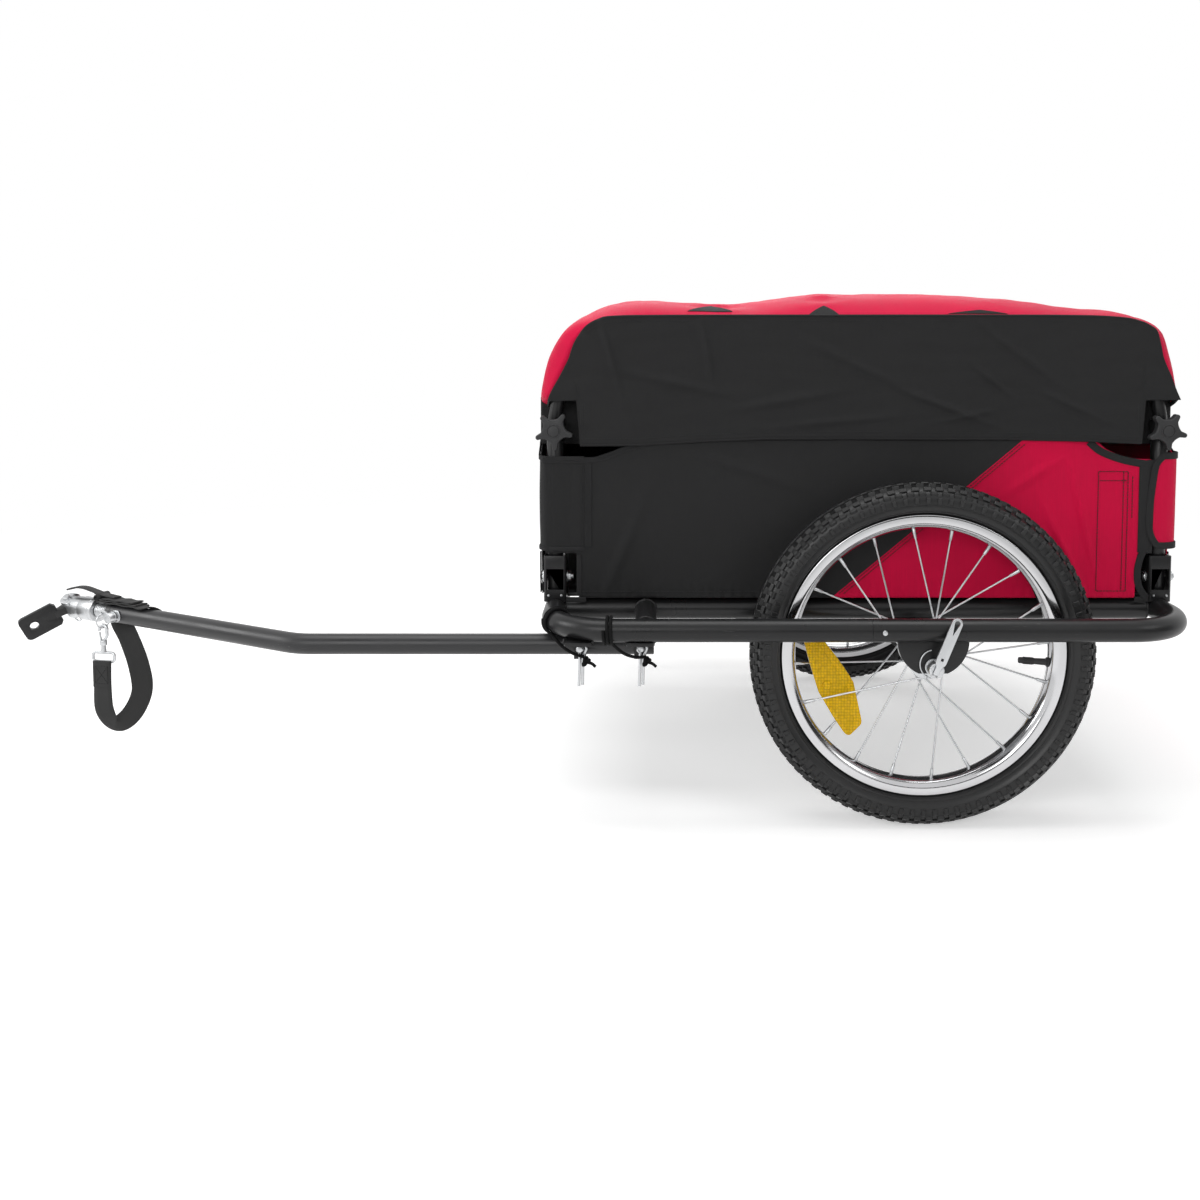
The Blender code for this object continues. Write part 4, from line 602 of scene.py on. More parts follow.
def strap(name, points, normals, width, thickness):
    """A flat strap along a path with rounded edges. Its UV map runs across and along it, in metres."""
    points = [Vector(p) for p in points]
    shares, length = lengths(points)
    h = thickness / 2
    w = width / 2
    section = [(-w, 0.0), (-w + h, h), (-w / 2, h), (0.0, h), (w / 2, h), (w - h, h), (w, 0.0)]
    section += [(a, -b) for a, b in reversed(section[1:-1])]
    shape = bmesh.new()
    rows = []
    for point, way, normal in zip(points, ways_along(points), each(normals, points)):
        across = way.cross(normal).normalized()
        face = across.cross(way).normalized()
        rows.append([shape.verts.new(point + across * a + face * b) for a, b in section])
    skin(shape, rows, lambda k: section[k % len(section)][0] + w, [length * share for share in shares])
    capped(shape, rows)
    bmesh.ops.recalc_face_normals(shape, faces=shape.faces)
    return made_from(shape, name, 60)


def spun(name, profile, steps, centre):
    """A closed section of (radius, y) points turned round the Y axis through a centre."""
    points = [Vector((r, y, 0.0)) for r, y in (*profile, profile[0])]
    shares, length = lengths(points)
    shape = bmesh.new()
    x, y, z = centre
    angles = [math.tau * k / steps for k in range(steps)]
    rows = [
        [shape.verts.new((x + p.x * math.cos(a), y + p.y, z + p.x * math.sin(a))) for a in angles]
        for p in points[:-1]
    ]
    rows.append(rows[0])
    girth = math.tau * max(p.x for p in points)
    skin(shape, rows, lambda k: girth * k / steps, [length * share for share in shares])
    bmesh.ops.remove_doubles(shape, verts=shape.verts, dist=MERGE / 10)
    bmesh.ops.recalc_face_normals(shape, faces=shape.faces)
    return made_from(shape, name, 40)


def repeated(name, piece, matrices):
    """One mesh with a copy of a small piece at each matrix. The piece is used up."""
    spots = np.array([v.co for v in piece.data.vertices])
    faces = [tuple(p.vertices) for p in piece.data.polygons]
    points = []
    polygons = []
    for matrix in matrices:
        m = np.array(matrix)
        base = len(points) * len(spots)
        points.append(spots @ m[:3, :3].T + m[:3, 3])
        polygons += [tuple(i + base for i in face) for face in faces]
    mesh = bpy.data.meshes.new(name)
    mesh.from_pydata(np.concatenate(points).tolist(), [], polygons)
    bpy.data.objects.remove(piece, do_unlink=True)
    return linked(bpy.data.objects.new(name, mesh), 30)


def dressed(node, name, edge):
    """A copy of a solid with its triangles merged into faces and its edges rounded."""
    source = frame["nodes"][node]
    obj = source.copy()
    obj.data = source.data.copy()
    named(obj, name)
    for key in list(obj.keys()):
        del obj[key]
    obj.parent = None
    bpy.context.scene.collection.objects.link(obj)
    edit(obj)
    bpy.ops.mesh.remove_doubles(threshold=MERGE)
    bpy.ops.mesh.dissolve_limited(angle_limit=math.radians(4))
    deselect()
    return smooth(rounded(obj, edge), 40)


def finished(piece, kind):
    """Give a piece its finish and its material slot."""
    piece.data.materials.clear()
    piece.data.materials.append(material(kind))
    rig.slot(piece, FINISHES[kind].slot)
    return piece


def wear(piece, kind, body, *nodes):
    """Give a piece its finish and the body that it moves with, and hide the solids that it stands for."""
    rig.ride(finished(piece, kind), body)
    if nodes:
        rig.replaces(piece, *nodes)
    return piece


def cut_from(obj, flat, held, rests_on, with_pieces=()):
    """Declare a cloth by the size that it is cut from, with the area that its own shape takes up of it."""
    area = sum(face.area for face in obj.data.polygons) / 2
    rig.sheet(obj, flat, held, rests_on=rests_on, area=area, with_pieces=with_pieces)


def mm(*numbers):
    """The points of a table in millimetres, with two numbers for each."""
    return [(x / 1000, y / 1000) for x, y in zip(numbers[::2], numbers[1::2])]


def lumps(place, scale, seed=0.0):
    """Smooth noise from -1 to 1 at a place."""
    return noise.noise(Vector(place) * scale + Vector((seed, seed * 1.7, -seed)))


def between(x, table):
    """The value at x in a table of rising (x, value) pairs, in a straight line between two of them."""
    if x <= table[0][0]:
        return table[0][1]
    for (x0, y0), (x1, y1) in zip(table, table[1:]):
        if x <= x1:
            t = (x - x0) / (x1 - x0)
            return y0 + (y1 - y0) * t
    return table[-1][1]


# Finishes

# The shader's socket for how strongly a finish mirrors
SHINE = "Specular IOR Level"


class Sheet:
    """A material's node tree with short ways to add nodes to it."""

    def __init__(self, tree):
        self.tree = tree

    def fill(self, node, sockets):
        """Give a node's sockets a number, a colour or a link each."""
        for key, value in sockets.items():
            socket = node.inputs[key]
            if isinstance(value, bpy.types.NodeSocket):
                self.tree.links.new(value, socket)
            elif socket.type == "RGBA":
                socket.default_value = (*value, 1.0)
            elif value is not None:
                socket.default_value = value

    def add(self, kind, sockets=None, **settings):
        made = self.tree.nodes.new(kind)
        for key, value in settings.items():
            setattr(made, key, value)
        self.fill(made, sockets or {})
        return made

    def math(self, operation, a, b=None):
        return self.add("ShaderNodeMath", {0: a, 1: b}, operation=operation).outputs[0]

    def noise(self, vector, scale, detail=2.0):
        return self.add("ShaderNodeTexNoise", {"Vector": vector, "Scale": scale, "Detail": detail}).outputs["Fac"]

    def stretched(self, vector, scale, rotation=(0.0, 0.0, 0.0)):
        sockets = {"Vector": vector, "Scale": scale, "Rotation": rotation}
        return self.add("ShaderNodeMapping", sockets).outputs[0]

    def ramp(self, value, *stops):
        names = ("Value", "From Min", "From Max", "To Min", "To Max")
        return self.add("ShaderNodeMapRange", dict(zip(names, (value, *stops))), clamp=True).outputs["Result"]

    def mix(self, factor, a, b):
        return self.add("ShaderNodeMix", {0: factor, 6: a, 7: b}, data_type="RGBA").outputs[2]

    def bump(self, height, distance, strength):
        sockets = {"Height": height, "Distance": distance, "Strength": strength}
        return self.add("ShaderNodeBump", sockets).outputs[0]

    def place(self):
        return self.add("ShaderNodeTexCoord").outputs["Object"]

    def split(self, vector):
        return self.add("ShaderNodeSeparateXYZ", {0: vector}).outputs

    def emission(self, strength):
        return self.add("ShaderNodeEmission", {"Strength": strength}).outputs[0]

    def mixed(self, factor, a, b):
        return self.add("ShaderNodeMixShader", {0: factor, 1: a, 2: b}).outputs[0]

    def seen_directly(self):
        """1 for a ray from the camera, a mirror or glass."""
        path = self.add("ShaderNodeLightPath").outputs
        glossy = self.math("MAXIMUM", path["Is Camera Ray"], path["Is Glossy Ray"])
        return self.math("MAXIMUM", glossy, path["Is Transmission Ray"])


def effect(name, inputs, outputs, build):
    """A node group with named inputs and outputs, made once."""
    found = bpy.data.node_groups.get(name)
    if found:
        return found
    tree = bpy.data.node_groups.new(name, "ShaderNodeTree")
    tree.interface.new_socket(name="Vector", in_out="INPUT", socket_type="NodeSocketVector")
    for label, value in inputs.items():
        socket = tree.interface.new_socket(name=label, in_out="INPUT", socket_type="NodeSocketFloat")
        socket.default_value = value
    for label in outputs:
        tree.interface.new_socket(name=label, in_out="OUTPUT", socket_type="NodeSocketFloat")
    sheet = Sheet(tree)
    entry = sheet.add("NodeGroupInput")
    sheet.fill(sheet.add("NodeGroupOutput"), build(sheet, entry.outputs))
    return tree


def build_weave(sheet, given):
    """Two sets of crossing threads, and uneven shade from thread to thread."""
    where = given["Vector"]
    pitch = sheet.math("DIVIDE", math.pi, given["Thread"])
    scaled = sheet.add("ShaderNodeVectorMath", {0: where, "Scale": pitch}, operation="SCALE")
    parts = sheet.split(scaled.outputs[0])
    warp = sheet.math("SINE", parts[0])
    weft = sheet.math("SINE", parts[1])
    over = sheet.math("GREATER_THAN", sheet.math("MULTIPLY", warp, weft), 0.0)
    up = sheet.math("MULTIPLY", sheet.math("ABSOLUTE", warp), over)
    down = sheet.math("MULTIPLY", sheet.math("ABSOLUTE", weft), sheet.math("SUBTRACT", 1.0, over))
    slub = sheet.noise(sheet.stretched(where, (900.0, 25.0, 25.0)), 1.0, 1.0)
    cloud = sheet.noise(where, 9.0, 4.0)
    shade = sheet.math("ADD", sheet.math("MULTIPLY", slub, 0.35), sheet.math("MULTIPLY", cloud, 0.65))
    return {"Height": sheet.math("ADD", up, down), "Shade": shade}


def build_grain(sheet, given):
    """The fine dimples of a coating, broad patches of shine, and a few light scuffs."""
    where = given["Vector"]
    patch = sheet.noise(where, 14.0, 4.0)
    line = sheet.noise(sheet.stretched(where, (60.0, 700.0, 700.0), (0.3, 0.5, 0.2)), 1.0)
    scuff = sheet.math("MULTIPLY", sheet.ramp(line, 0.66, 0.78, 0.0, 1.0), sheet.ramp(patch, 0.5, 0.65, 0.0, 1.0))
    return {"Height": sheet.noise(where, given["Scale"]), "Patch": patch, "Scuff": scuff}


def new_finish(name, roughness):
    """A material with its sheet of nodes and its shader."""
    made = bpy.data.materials.new(name)
    made.use_nodes = True
    shader = made.node_tree.nodes["Principled BSDF"]
    shader.inputs["Roughness"].default_value = roughness
    return made, Sheet(made.node_tree), shader


def colour(name, factor=1.0):
    """A colour of the sidebar, lighter or darker by a factor."""
    return tuple(min(1.0, part * factor) for part in getattr(bpy.context.scene.trailer_colours, name))


def sizes():
    return bpy.context.scene.trailer_sizes


class Coating(NamedTuple):
    """A coating or plating with grain, patches and scuffs, and what its shader has besides."""

    name: str
    slot: str
    colour: str
    roughness: float
    scuff: float
    grain: float
    depth: float
    shader: dict

    def make(self):
        made, sheet, shader = new_finish(self.name, self.roughness)
        effect_tree = effect("Coating grain", {"Scale": 900.0}, ("Height", "Patch", "Scuff"), build_grain)
        sockets = {"Scale": self.grain, "Vector": sheet.place()}
        grain = sheet.add("ShaderNodeGroup", sockets, node_tree=effect_tree).outputs
        body = sheet.mix(grain["Patch"], colour(self.colour, 0.85), colour(self.colour, 1.2))
        shine = sheet.ramp(grain["Patch"], 0.3, 0.7, self.roughness - 0.05, self.roughness + 0.08)
        scuffed = (self.scuff, self.scuff, self.scuff)
        sheet.fill(shader, {"Base Color": sheet.mix(grain["Scuff"], body, scuffed), "Roughness": shine})
        sheet.fill(shader, {"Normal": sheet.bump(grain["Height"], self.depth, 0.6), **self.shader})
        return made


class Cloth(NamedTuple):
    """A woven cloth on the piece's own UV map. A thread of 0 is the box cloth's own."""

    name: str
    slot: str
    colour: str
    tint: float
    thread: float
    depth: float
    roughness: float
    sheen: float

    def make(self):
        made, sheet, shader = new_finish(self.name, self.roughness)
        effect_tree = effect("Cloth weave", {"Thread": 0.0007}, ("Height", "Shade"), build_weave)
        sockets = {"Thread": self.thread or sizes().thread, "Vector": sheet.add("ShaderNodeUVMap").outputs[0]}
        weave = sheet.add("ShaderNodeGroup", sockets, node_tree=effect_tree).outputs
        dark, light = [colour(self.colour, self.tint * factor) for factor in (0.72, 1.26)]
        body = sheet.mix(weave["Shade"], dark, light)
        if self.name == "two-colour box cloth":
            body = self.black_behind_line(sheet, weave["Shade"], body)
        shine = sheet.ramp(weave["Shade"], 0.3, 0.7, self.roughness - 0.06, self.roughness + 0.06)
        sheet.fill(shader, {"Base Color": body, "Roughness": shine, SHINE: 0.14})
        sheet.fill(shader, {"Sheen Weight": self.sheen, "Sheen Roughness": 0.4})
        sheet.fill(shader, {"Normal": sheet.bump(weave["Height"], self.depth, 0.8)})
        return made

    def black_behind_line(self, sheet, shade, body):
        """Black cloth from the slanting seam of the box backwards."""
        (x0, z0), (x1, z1) = SLANT
        at = sheet.split(sheet.place())
        rise = sheet.math("SUBTRACT", at[2], z0)
        line = sheet.math("ADD", sheet.math("MULTIPLY", rise, (x1 - x0) / (z1 - z0)), x0)
        past = sheet.math("SUBTRACT", at[0], line)
        dark = sheet.mix(shade, colour("black_cloth", 0.75), colour("black_cloth", 1.25))
        return sheet.mix(sheet.math("GREATER_THAN", past, 0.0), dark, body)


class Reflector(NamedTuple):
    """Clear amber plastic over small prisms."""

    name: str
    slot: str

    def make(self):
        made, sheet, shader = new_finish(self.name, 0.16)
        sockets = {"Vector": sheet.place(), "Scale": 300.0, "Randomness": 0.25}
        cells = sheet.add("ShaderNodeTexVoronoi", sockets, distance="EUCLIDEAN").outputs["Distance"]
        shade = sheet.math("MULTIPLY", cells, 1.4)
        sheet.fill(shader, {"Base Color": sheet.mix(shade, colour("amber", 1.1), colour("amber", 0.55))})
        sheet.fill(shader, {"Coat Weight": 0.05, "Coat Roughness": 0.05, SHINE: 0.14})
        sheet.fill(shader, {"Subsurface Weight": 0.25, "Subsurface Radius": (0.004, 0.002, 0.0005)})
        sheet.fill(shader, {"Normal": sheet.bump(cells, 0.001, 0.9)})
        return made


FINISHES = {
    "steel": Coating("black powder coat", "black_steel", "steel", 0.3, 0.05, 900.0, 0.00006, {SHINE: 0.3}),
    # The drawbar's coat is the frame's black, painted lighter as painted light on the tube
    "drawbar": Coating("black powder coat with painted light", "grey_steel", "drawbar", 0.36, 0.08, 900.0, 0.00006, {SHINE: 0.38}),
    "zinc": Coating("zinc plating", "zinc", "zinc", 0.34, 0.9, 500.0, 0.00004, {"Metallic": 1.0}),
    "spring": Coating("spring steel", "zinc", "zinc", 0.36, 0.9, 700.0, 0.00004, {"Metallic": 0.9}),
    "chrome": Coating("chrome plating", "chrome", "chrome", 0.1, 0.7, 60.0, 0.00003, {"Metallic": 1.0}),
    "rubber": Coating("tyre rubber", "tyre", "rubber", 0.38, 0.03, 420.0, 0.00018, {SHINE: 0.38}),
    "plastic": Coating("moulded plastic", "black_plastic", "plastic", 0.48, 0.06, 1300.0, 0.0001, {SHINE: 0.3}),
    "board": Coating("floor sheet", "floor_sheet", "board", 0.55, 0.09, 600.0, 0.0001, {}),
    "amber": Reflector("amber reflector", "amber"),
    "black cloth": Cloth("black box cloth", "black_fabric", "black_cloth", 1.0, 0.0, 0.00012, 0.66, 0.03),
    "red cloth": Cloth("red box cloth", "red_fabric", "red_cloth", 1.0, 0.0, 0.00012, 0.55, 0.03),
    "box cloth": Cloth("two-colour box cloth", "black_fabric", "red_cloth", 1.0, 0.0, 0.00012, 0.6, 0.02),
    "binding": Cloth("edge binding", "black_fabric", "black_cloth", 1.25, 0.0011, 0.00025, 0.72, 0.03),
    "webbing": Cloth("webbing", "webbing", "webbing", 1.0, 0.0016, 0.0004, 0.74, 0.0),
    "cord": Cloth("cord", "webbing", "webbing", 1.0, 0.0008, 0.0003, 0.76, 0.0),
}


def material(kind):
    """The material of a finish, made once."""
    finish = FINISHES[kind]
    return bpy.data.materials.get(finish.name) or finish.make()


# Stage


class TRAILER_OT_stage(bpy.types.Operator):
    """Add the floor, the lamps, the background and the camera"""

    bl_idname = "trailer.stage"
    bl_label = "Stage"

    # Name, place, what it points at, width, height and power
    LAMPS = (
        ("lamp_over", (0.0, -0.25, 2.6), (0.0, 0.0, 0.2), 2.6, 1.5, 38.0),
        ("lamp_front", (-1.0, -3.0, 1.5), (0.05, 0.0, 0.3), 1.8, 1.2, 27.0),
        ("lamp_left", (-2.9, -0.6, 1.5), (-0.3, -0.1, 0.25), 1.3, 1.2, 30.0),
        ("lamp_right", (2.5, -1.9, 1.3), (0.3, 0.0, 0.3), 1.0, 1.4, 14.0),
        ("lamp_back", (0.3, 2.6, 1.6), (0.1, 0.0, 0.3), 2.2, 0.9, 16.0),
    )
    # Name, place, width and height
    FLAGS = (
        ("flag_low", (1.9, -1.2, 0.45), 1.7, 0.9),
        ("flag_high", (-0.9, -1.5, 2.1), 1.3, 0.9),
        ("flag_behind_camera", (0.4, -3.2, 0.5), 2.6, 0.5),
    )

    def execute(self, context):
        deselect()
        bpy.ops.mesh.primitive_circle_add(vertices=96, radius=14.0, fill_type="NGON", location=(0.0, 0.0, 0.0))
        floor = done(fresh("floor"))
        floor.data.materials.append(self.floor_finish())
        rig.stage(floor)
        for name, place, target, width, height, power in self.LAMPS:
            self.lamp(name, place, target, width, height, power)
        for name, place, width, height in self.FLAGS:
            self.flag(name, place, (0.4, -0.3, 0.25), width, height)
        self.background(context)
        bpy.ops.object.camera_add(location=(0.0852, -1.7027, 0.5685), rotation=(math.radians(86.0), 0.0, 0.0))
        camera = bpy.context.object
        camera.name = "camera"
        camera.data.lens = 37.761
        camera.data.shift_x = -0.037
        camera.data.shift_y = -0.1565
        camera.data.clip_start = 0.05
        context.scene.camera = camera
        context.scene.view_settings.view_transform = "Standard"
        return {"FINISHED"}

    def lamp(self, name, place, target, width, height, power):
        aim = (Vector(target) - Vector(place)).to_track_quat("-Z", "Y").to_euler()
        bpy.ops.object.light_add(type="AREA", location=place, rotation=aim)
        lamp = bpy.context.object
        lamp.name = name
        lamp.data.shape = "RECTANGLE"
        lamp.data.size = width
        lamp.data.size_y = height
        lamp.data.energy = power

    def flag(self, name, place, target, width, height):
        """A black card that only shiny surfaces see, which gives chrome its dark bands."""
        aim = (Vector(target) - Vector(place)).to_track_quat("Z", "Y").to_euler()
        bpy.ops.mesh.primitive_plane_add(size=1.0, location=place, rotation=aim)
        card = fresh(name)
        card.scale = (width, height, 1.0)
        done(card)
        card.data.materials.append(bpy.data.materials.get("black card") or self.card_finish())
        card.visible_camera = False
        card.visible_diffuse = False
        card.visible_shadow = False
        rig.stage(card)

    def card_finish(self):
        made, sheet, shader = new_finish("black card", 0.9)
        sheet.fill(shader, {"Base Color": (0.01, 0.01, 0.01)})
        return made

    def floor_finish(self):
        """A pale floor that looks nearly white where no shadow falls on it."""
        made = bpy.data.materials.new("studio floor")
        made.use_nodes = True
        made.node_tree.nodes.clear()
        sheet = Sheet(made.node_tree)
        plain = sheet.add("ShaderNodeBsdfDiffuse", {"Color": (0.86, 0.86, 0.86)}).outputs[0]
        near = sheet.add("ShaderNodeAddShader", {0: plain, 1: sheet.emission(0.42)}).outputs[0]
        spot = sheet.add("ShaderNodeVectorMath", {0: sheet.place()}, operation="LENGTH")
        fade = sheet.ramp(spot.outputs["Value"], 1.1, 2.4, 0.0, 1.0)
        both = sheet.mixed(fade, near, sheet.emission(1.0))
        sheet.add("ShaderNodeOutputMaterial", {"Surface": sheet.mixed(sheet.seen_directly(), plain, both)})
        return made

    def background(self, context):
        world = bpy.data.worlds.new("studio")
        world.use_nodes = True
        context.scene.world = world
        world.node_tree.nodes.clear()
        sheet = Sheet(world.node_tree)
        light, white = (
            sheet.add("ShaderNodeBackground", {"Color": (1.0, 1.0, 1.0), "Strength": strength}).outputs[0]
            for strength in (0.34, 1.0)
        )
        sheet.add("ShaderNodeOutputWorld", {"Surface": sheet.mixed(sheet.seen_directly(), light, white)})


# Frame


def half_disc(low_z):
    """The outline of an axle plate under a tube, in X and Z, with its open slot."""
    radius = 0.039
    slot = 0.0054
    bottom = AXLE.z - 0.0075
    reach = math.degrees(math.acos((low_z - bottom) / radius))
    step = (90 - reach) / 12
    outline = [(AXLE.x + radius, low_z + 0.002), (AXLE.x - radius, low_z + 0.002)]
    outline += arc(AXLE.x, low_z, radius, 180, step, 13)
    outline += [(AXLE.x - slot, bottom), *arc(AXLE.x, AXLE.z, slot, 180, -15, 13), (AXLE.x + slot, bottom)]
    return outline + arc(AXLE.x, low_z, radius, 270 + reach, step, 13)


def standing(obj, y):
    """Stand a flat XY piece up in XZ at this Y."""
    return placed(obj, Matrix.Translation((0.0, y, 0.0)) @ Matrix.Rotation(math.radians(90), 4, "X"))


def bead(centre, normal, radius, wire_radius=0.0014):
    """An uneven weld bead round the foot of a tube."""
    weld = ring("weld", centre, normal, radius, wire_radius, 56, 8)
    for vert in weld.data.vertices:
        away = (vert.co - Vector(centre)).normalized()
        vert.co += away * 0.0006 * lumps(vert.co, 420.0)
    return weld


def u_path(end_x, joint_x):
    """The path of one half of the outer tube."""
    corners = [(joint_x, -TUBE_HALF, TUBE_Z), (end_x, -TUBE_HALF, TUBE_Z)]
    corners += [(end_x, TUBE_HALF, TUBE_Z), (joint_x, TUBE_HALF, TUBE_Z)]
    return filleted(corners, [0.07, 0.07], 4)


class TRAILER_OT_frame(bpy.types.Operator):
    """Build the outer tube, the rails with their axle plates, the cross tubes and the floor sheet"""

    bl_idname = "trailer.frame"
    bl_label = "Frame"

    def execute(self, context):
        front = [hose("outer tube", u_path(FRONT_X, 0.332), TUBE_LOOK, 40)]
        rear = [hose("outer tube", u_path(REAR_X, 0.3323), TUBE_LOOK, 40)]
        for name, side in SIDES.items():
            y = side * TUBE_HALF
            swage = ((0.326, y, TUBE_Z), (0.3324, y, TUBE_Z))
            front.append(bar("swage", *swage, TUBE_R - 0.0002, 40, TUBE_R - 0.0016))
            skin_y = y + side * TUBE_LOOK
            ends = [(0.345, skin_y + side * out, TUBE_Z) for out in (-0.002, 0.0014)]
            wear(bar(f"tube_screw_{name}", *ends, 0.0034, 24, 0.0026, 0.0004), "zinc", "frame")
            rear.append(self.axle_plate(y))
        wear(joined("outer_tube_front", *front), "steel", "frame", "frame_front_loop")
        wear(joined("outer_tube_rear", *rear), "steel", "frame", "frame_rear_loop")
        for name, side in SIDES.items():
            y = side * RAIL_Y
            low, high = FRONT_X + TUBE_R, REAR_X - TUBE_R
            rail = bar("rail", (low, y, TUBE_Z - 0.0006), (high, y, TUBE_Z - 0.0006), TUBE_R + 0.0005, 40)
            link = bar("link", (0.087, y, TUBE_Z), (0.087, side * (TUBE_HALF - TUBE_R * 0.8), TUBE_Z), TUBE_R, 40)
            welds = [bead((x, y, TUBE_Z), (1, 0, 0), TUBE_R) for x in (low + 0.0008, high - 0.0008)]
            for out in (RAIL_Y + TUBE_R + 0.0002, TUBE_HALF - TUBE_R - 0.0002):
                welds.append(bead((0.087, side * out, TUBE_Z), (0, 1, 0), TUBE_R))
            rail = joined(f"side_rail_{name}", rail, link, self.axle_plate(y), *welds)
            wear(rail, "steel", "frame", f"rail_{name}")
        for name, x in (("front", 0.2), ("rear", 0.56)):
            z = TUBE_Z + TUBE_R - 0.0095
            half = RAIL_Y - TUBE_R * 0.8
            tube = bar("tube", (x, -half, z), (x, half, z), 0.0095, 32)
            welds = [bead((x, y, z), (0, 1, 0), 0.0098, 0.0012) for y in (TUBE_R - RAIL_Y, RAIL_Y - TUBE_R)]
            wear(joined(f"under_tube_{name}", tube, *welds), "steel", "frame", f"cross_tube_{name}")
        wear(dressed("floor_board", "floor_panel", 0.001), "board", "frame", "floor_board")
        return {"FINISHED"}

    def axle_plate(self, y):
        return standing(plate("plate", half_disc(TUBE_Z - TUBE_R), 0.004, 0.0006), y)


class TRAILER_OT_brackets(bpy.types.Operator):
    """Build the folded hinge brackets with their bolts and nuts"""

    bl_idname = "trailer.brackets"
    bl_label = "Hinge brackets"

    # From a bracket's face outwards: start, end, radius, sides, end radius and rounded edge
    WASHER = (0.0, 0.0012, 0.0072, 28, None, 0.0003)
    HEAD = (0.001, 0.0056, 0.0062, 28, 0.003, 0.0012)
    NUT = (0.001, 0.0052, 0.0064, 6, None, 0.0005)
    THREAD = (0.004, 0.0078, 0.0029, 20, None, 0.0004)

    def execute(self, context):
        for end, x in POST_XS.items():
            for name, side in SIDES.items():
                y = side * POST_Y
                node = f"hinge_bracket_{end}_{name}"
                wear(dressed(node, f"bracket_{end}_{name}", 0.0006), "steel", "frame", node)
                parts = []
                for way, steps in ((-1, (self.WASHER, self.HEAD)), (1, (self.WASHER, self.NUT, self.THREAD))):
                    for first, last, *shape in steps:
                        ends = [(x + way * (0.0131 + out), y, HINGE_Z) for out in (first, last)]
                        parts.append(bar("bolt", *ends, *shape))
                    ends = [(x + way * 0.0075, side * (POST_Y + out), HINGE_Z - 0.0205) for out in (0.013, 0.0154)]
                    parts.append(bar("rivet", *ends, 0.0019, 18, 0.0013, 0.0004))
                wear(joined(f"bolts_{end}_{name}", *parts), "zinc", "frame")
        return {"FINISHED"}


class TRAILER_OT_side_frames(bpy.types.Operator):
    """Build the posts with their clamp collars and the hoops that stand in them"""

    bl_idname = "trailer.side_frames"
    bl_label = "Side frames"

    def execute(self, context):
        for name, side in SIDES.items():
            y = side * POST_Y
            body = f"side_frame_{name}"
            for end, x in POST_XS.items():
                top = KNOB_Z + 0.011
                post = bar("post", (x, y, HINGE_Z - 0.0161), (x, y, top - 0.0005), 0.0095, 32, edge=0.0006)
                collar = bar("collar", (x, y, top - 0.022), (x, y, top), 0.0118, 32, edge=0.0012)
                wear(joined(f"lower_post_{end}_{name}", post, collar), "steel", body, f"post_{end}_{name}")
            bend = KNOB_Z + 0.015
            corners = [(FRONT_X, y, KNOB_Z - 0.03), (FRONT_X, y, bend), (FRONT_X + 0.021, y, HOOP_Z)]
            corners += [(REAR_X - 0.021, y, HOOP_Z), (REAR_X, y, bend), (REAR_X, y, KNOB_Z - 0.03)]
            hoop = hose(f"upper_hoop_{name}", filleted(corners, [0.03, 0.05, 0.05, 0.03], 5), 0.0078, 28)
            wear(hoop, "steel", body, f"hoop_{name}")
        return {"FINISHED"}


class TRAILER_OT_knobs(bpy.types.Operator):
    """Build the five-pointed clamping knobs"""

    bl_idname = "trailer.knobs"
    bl_label = "Star knobs"

    def execute(self, context):
        for end, x in POST_XS.items():
            for name, side in SIDES.items():
                self.knob(f"{end}_{name}", x, side)
        return {"FINISHED"}

    def outline(self, tip_r=0.0222, valley_r=0.013):
        points = []
        small = 0.0029
        flank = 0.016
        for i in range(5):
            tip = -14 + 72 * i
            points += arc(*on_circle(tip_r - small, tip), small, tip - 66, 22, 7)
            points += arc(*on_circle(valley_r + flank, tip + 36), flank, tip + 237, -7, 7)
        return points

    def knob(self, label, x, side):
        star_low = POST_Y + 0.0118 + 0.0003 + 0.003
        face = star_low + 0.011
        star = standing(plate("star", self.outline(), 0.011, 0.0013, 3), 0.0)
        placed(star, Matrix.Translation((x, side * (star_low + 0.0055), KNOB_Z)))

        def turned(name, first, last, radius, sides=32, edge=0.0005):
            return bar(name, (x, side * first, KNOB_Z), (x, side * last, KNOB_Z), radius, sides, edge=edge)

        hub = turned("hub", star_low - 0.003, star_low + 0.001, 0.009)
        boss = turned("boss", face - 0.001, face + 0.0009, 0.0062)
        rim = ring("rim", (x, side * (face + 0.0001), KNOB_Z), (0, 1, 0), 0.0074, 0.0006, 36, 8)
        stud = turned("stud", POST_Y + 0.002, star_low, 0.003, 20, 0.0)
        knob = joined(f"clamp_knob_{label}", star, hub, boss, rim, stud)
        wear(knob, "plastic", f"knob_{label}", f"star_knob_{label}")


# Wheels


def on_wheel(radius, angle_deg, y=0.0):
    """A point on a wheel, with the angle from +X towards +Z."""
    x, z = on_circle(radius, angle_deg)
    return Vector((x, y, z))


def standing_out(radius, angle_deg, centre, y, tilt_deg):
    """A matrix on a wheel: Z out along the radius, Y across the wheel and X round it."""
    a = math.radians(angle_deg)
    out = Vector((math.cos(a), 0.0, math.sin(a)))
    across = Vector((0.0, 1.0, 0.0))
    out = Matrix.Rotation(math.radians(tilt_deg), 3, across.cross(out)) @ out
    round_way = across.cross(out).normalized()
    turn = Matrix((round_way, out.cross(round_way), out)).transposed().to_4x4()
    return Matrix.Translation(Vector(centre) + on_wheel(radius, angle_deg, y)) @ turn


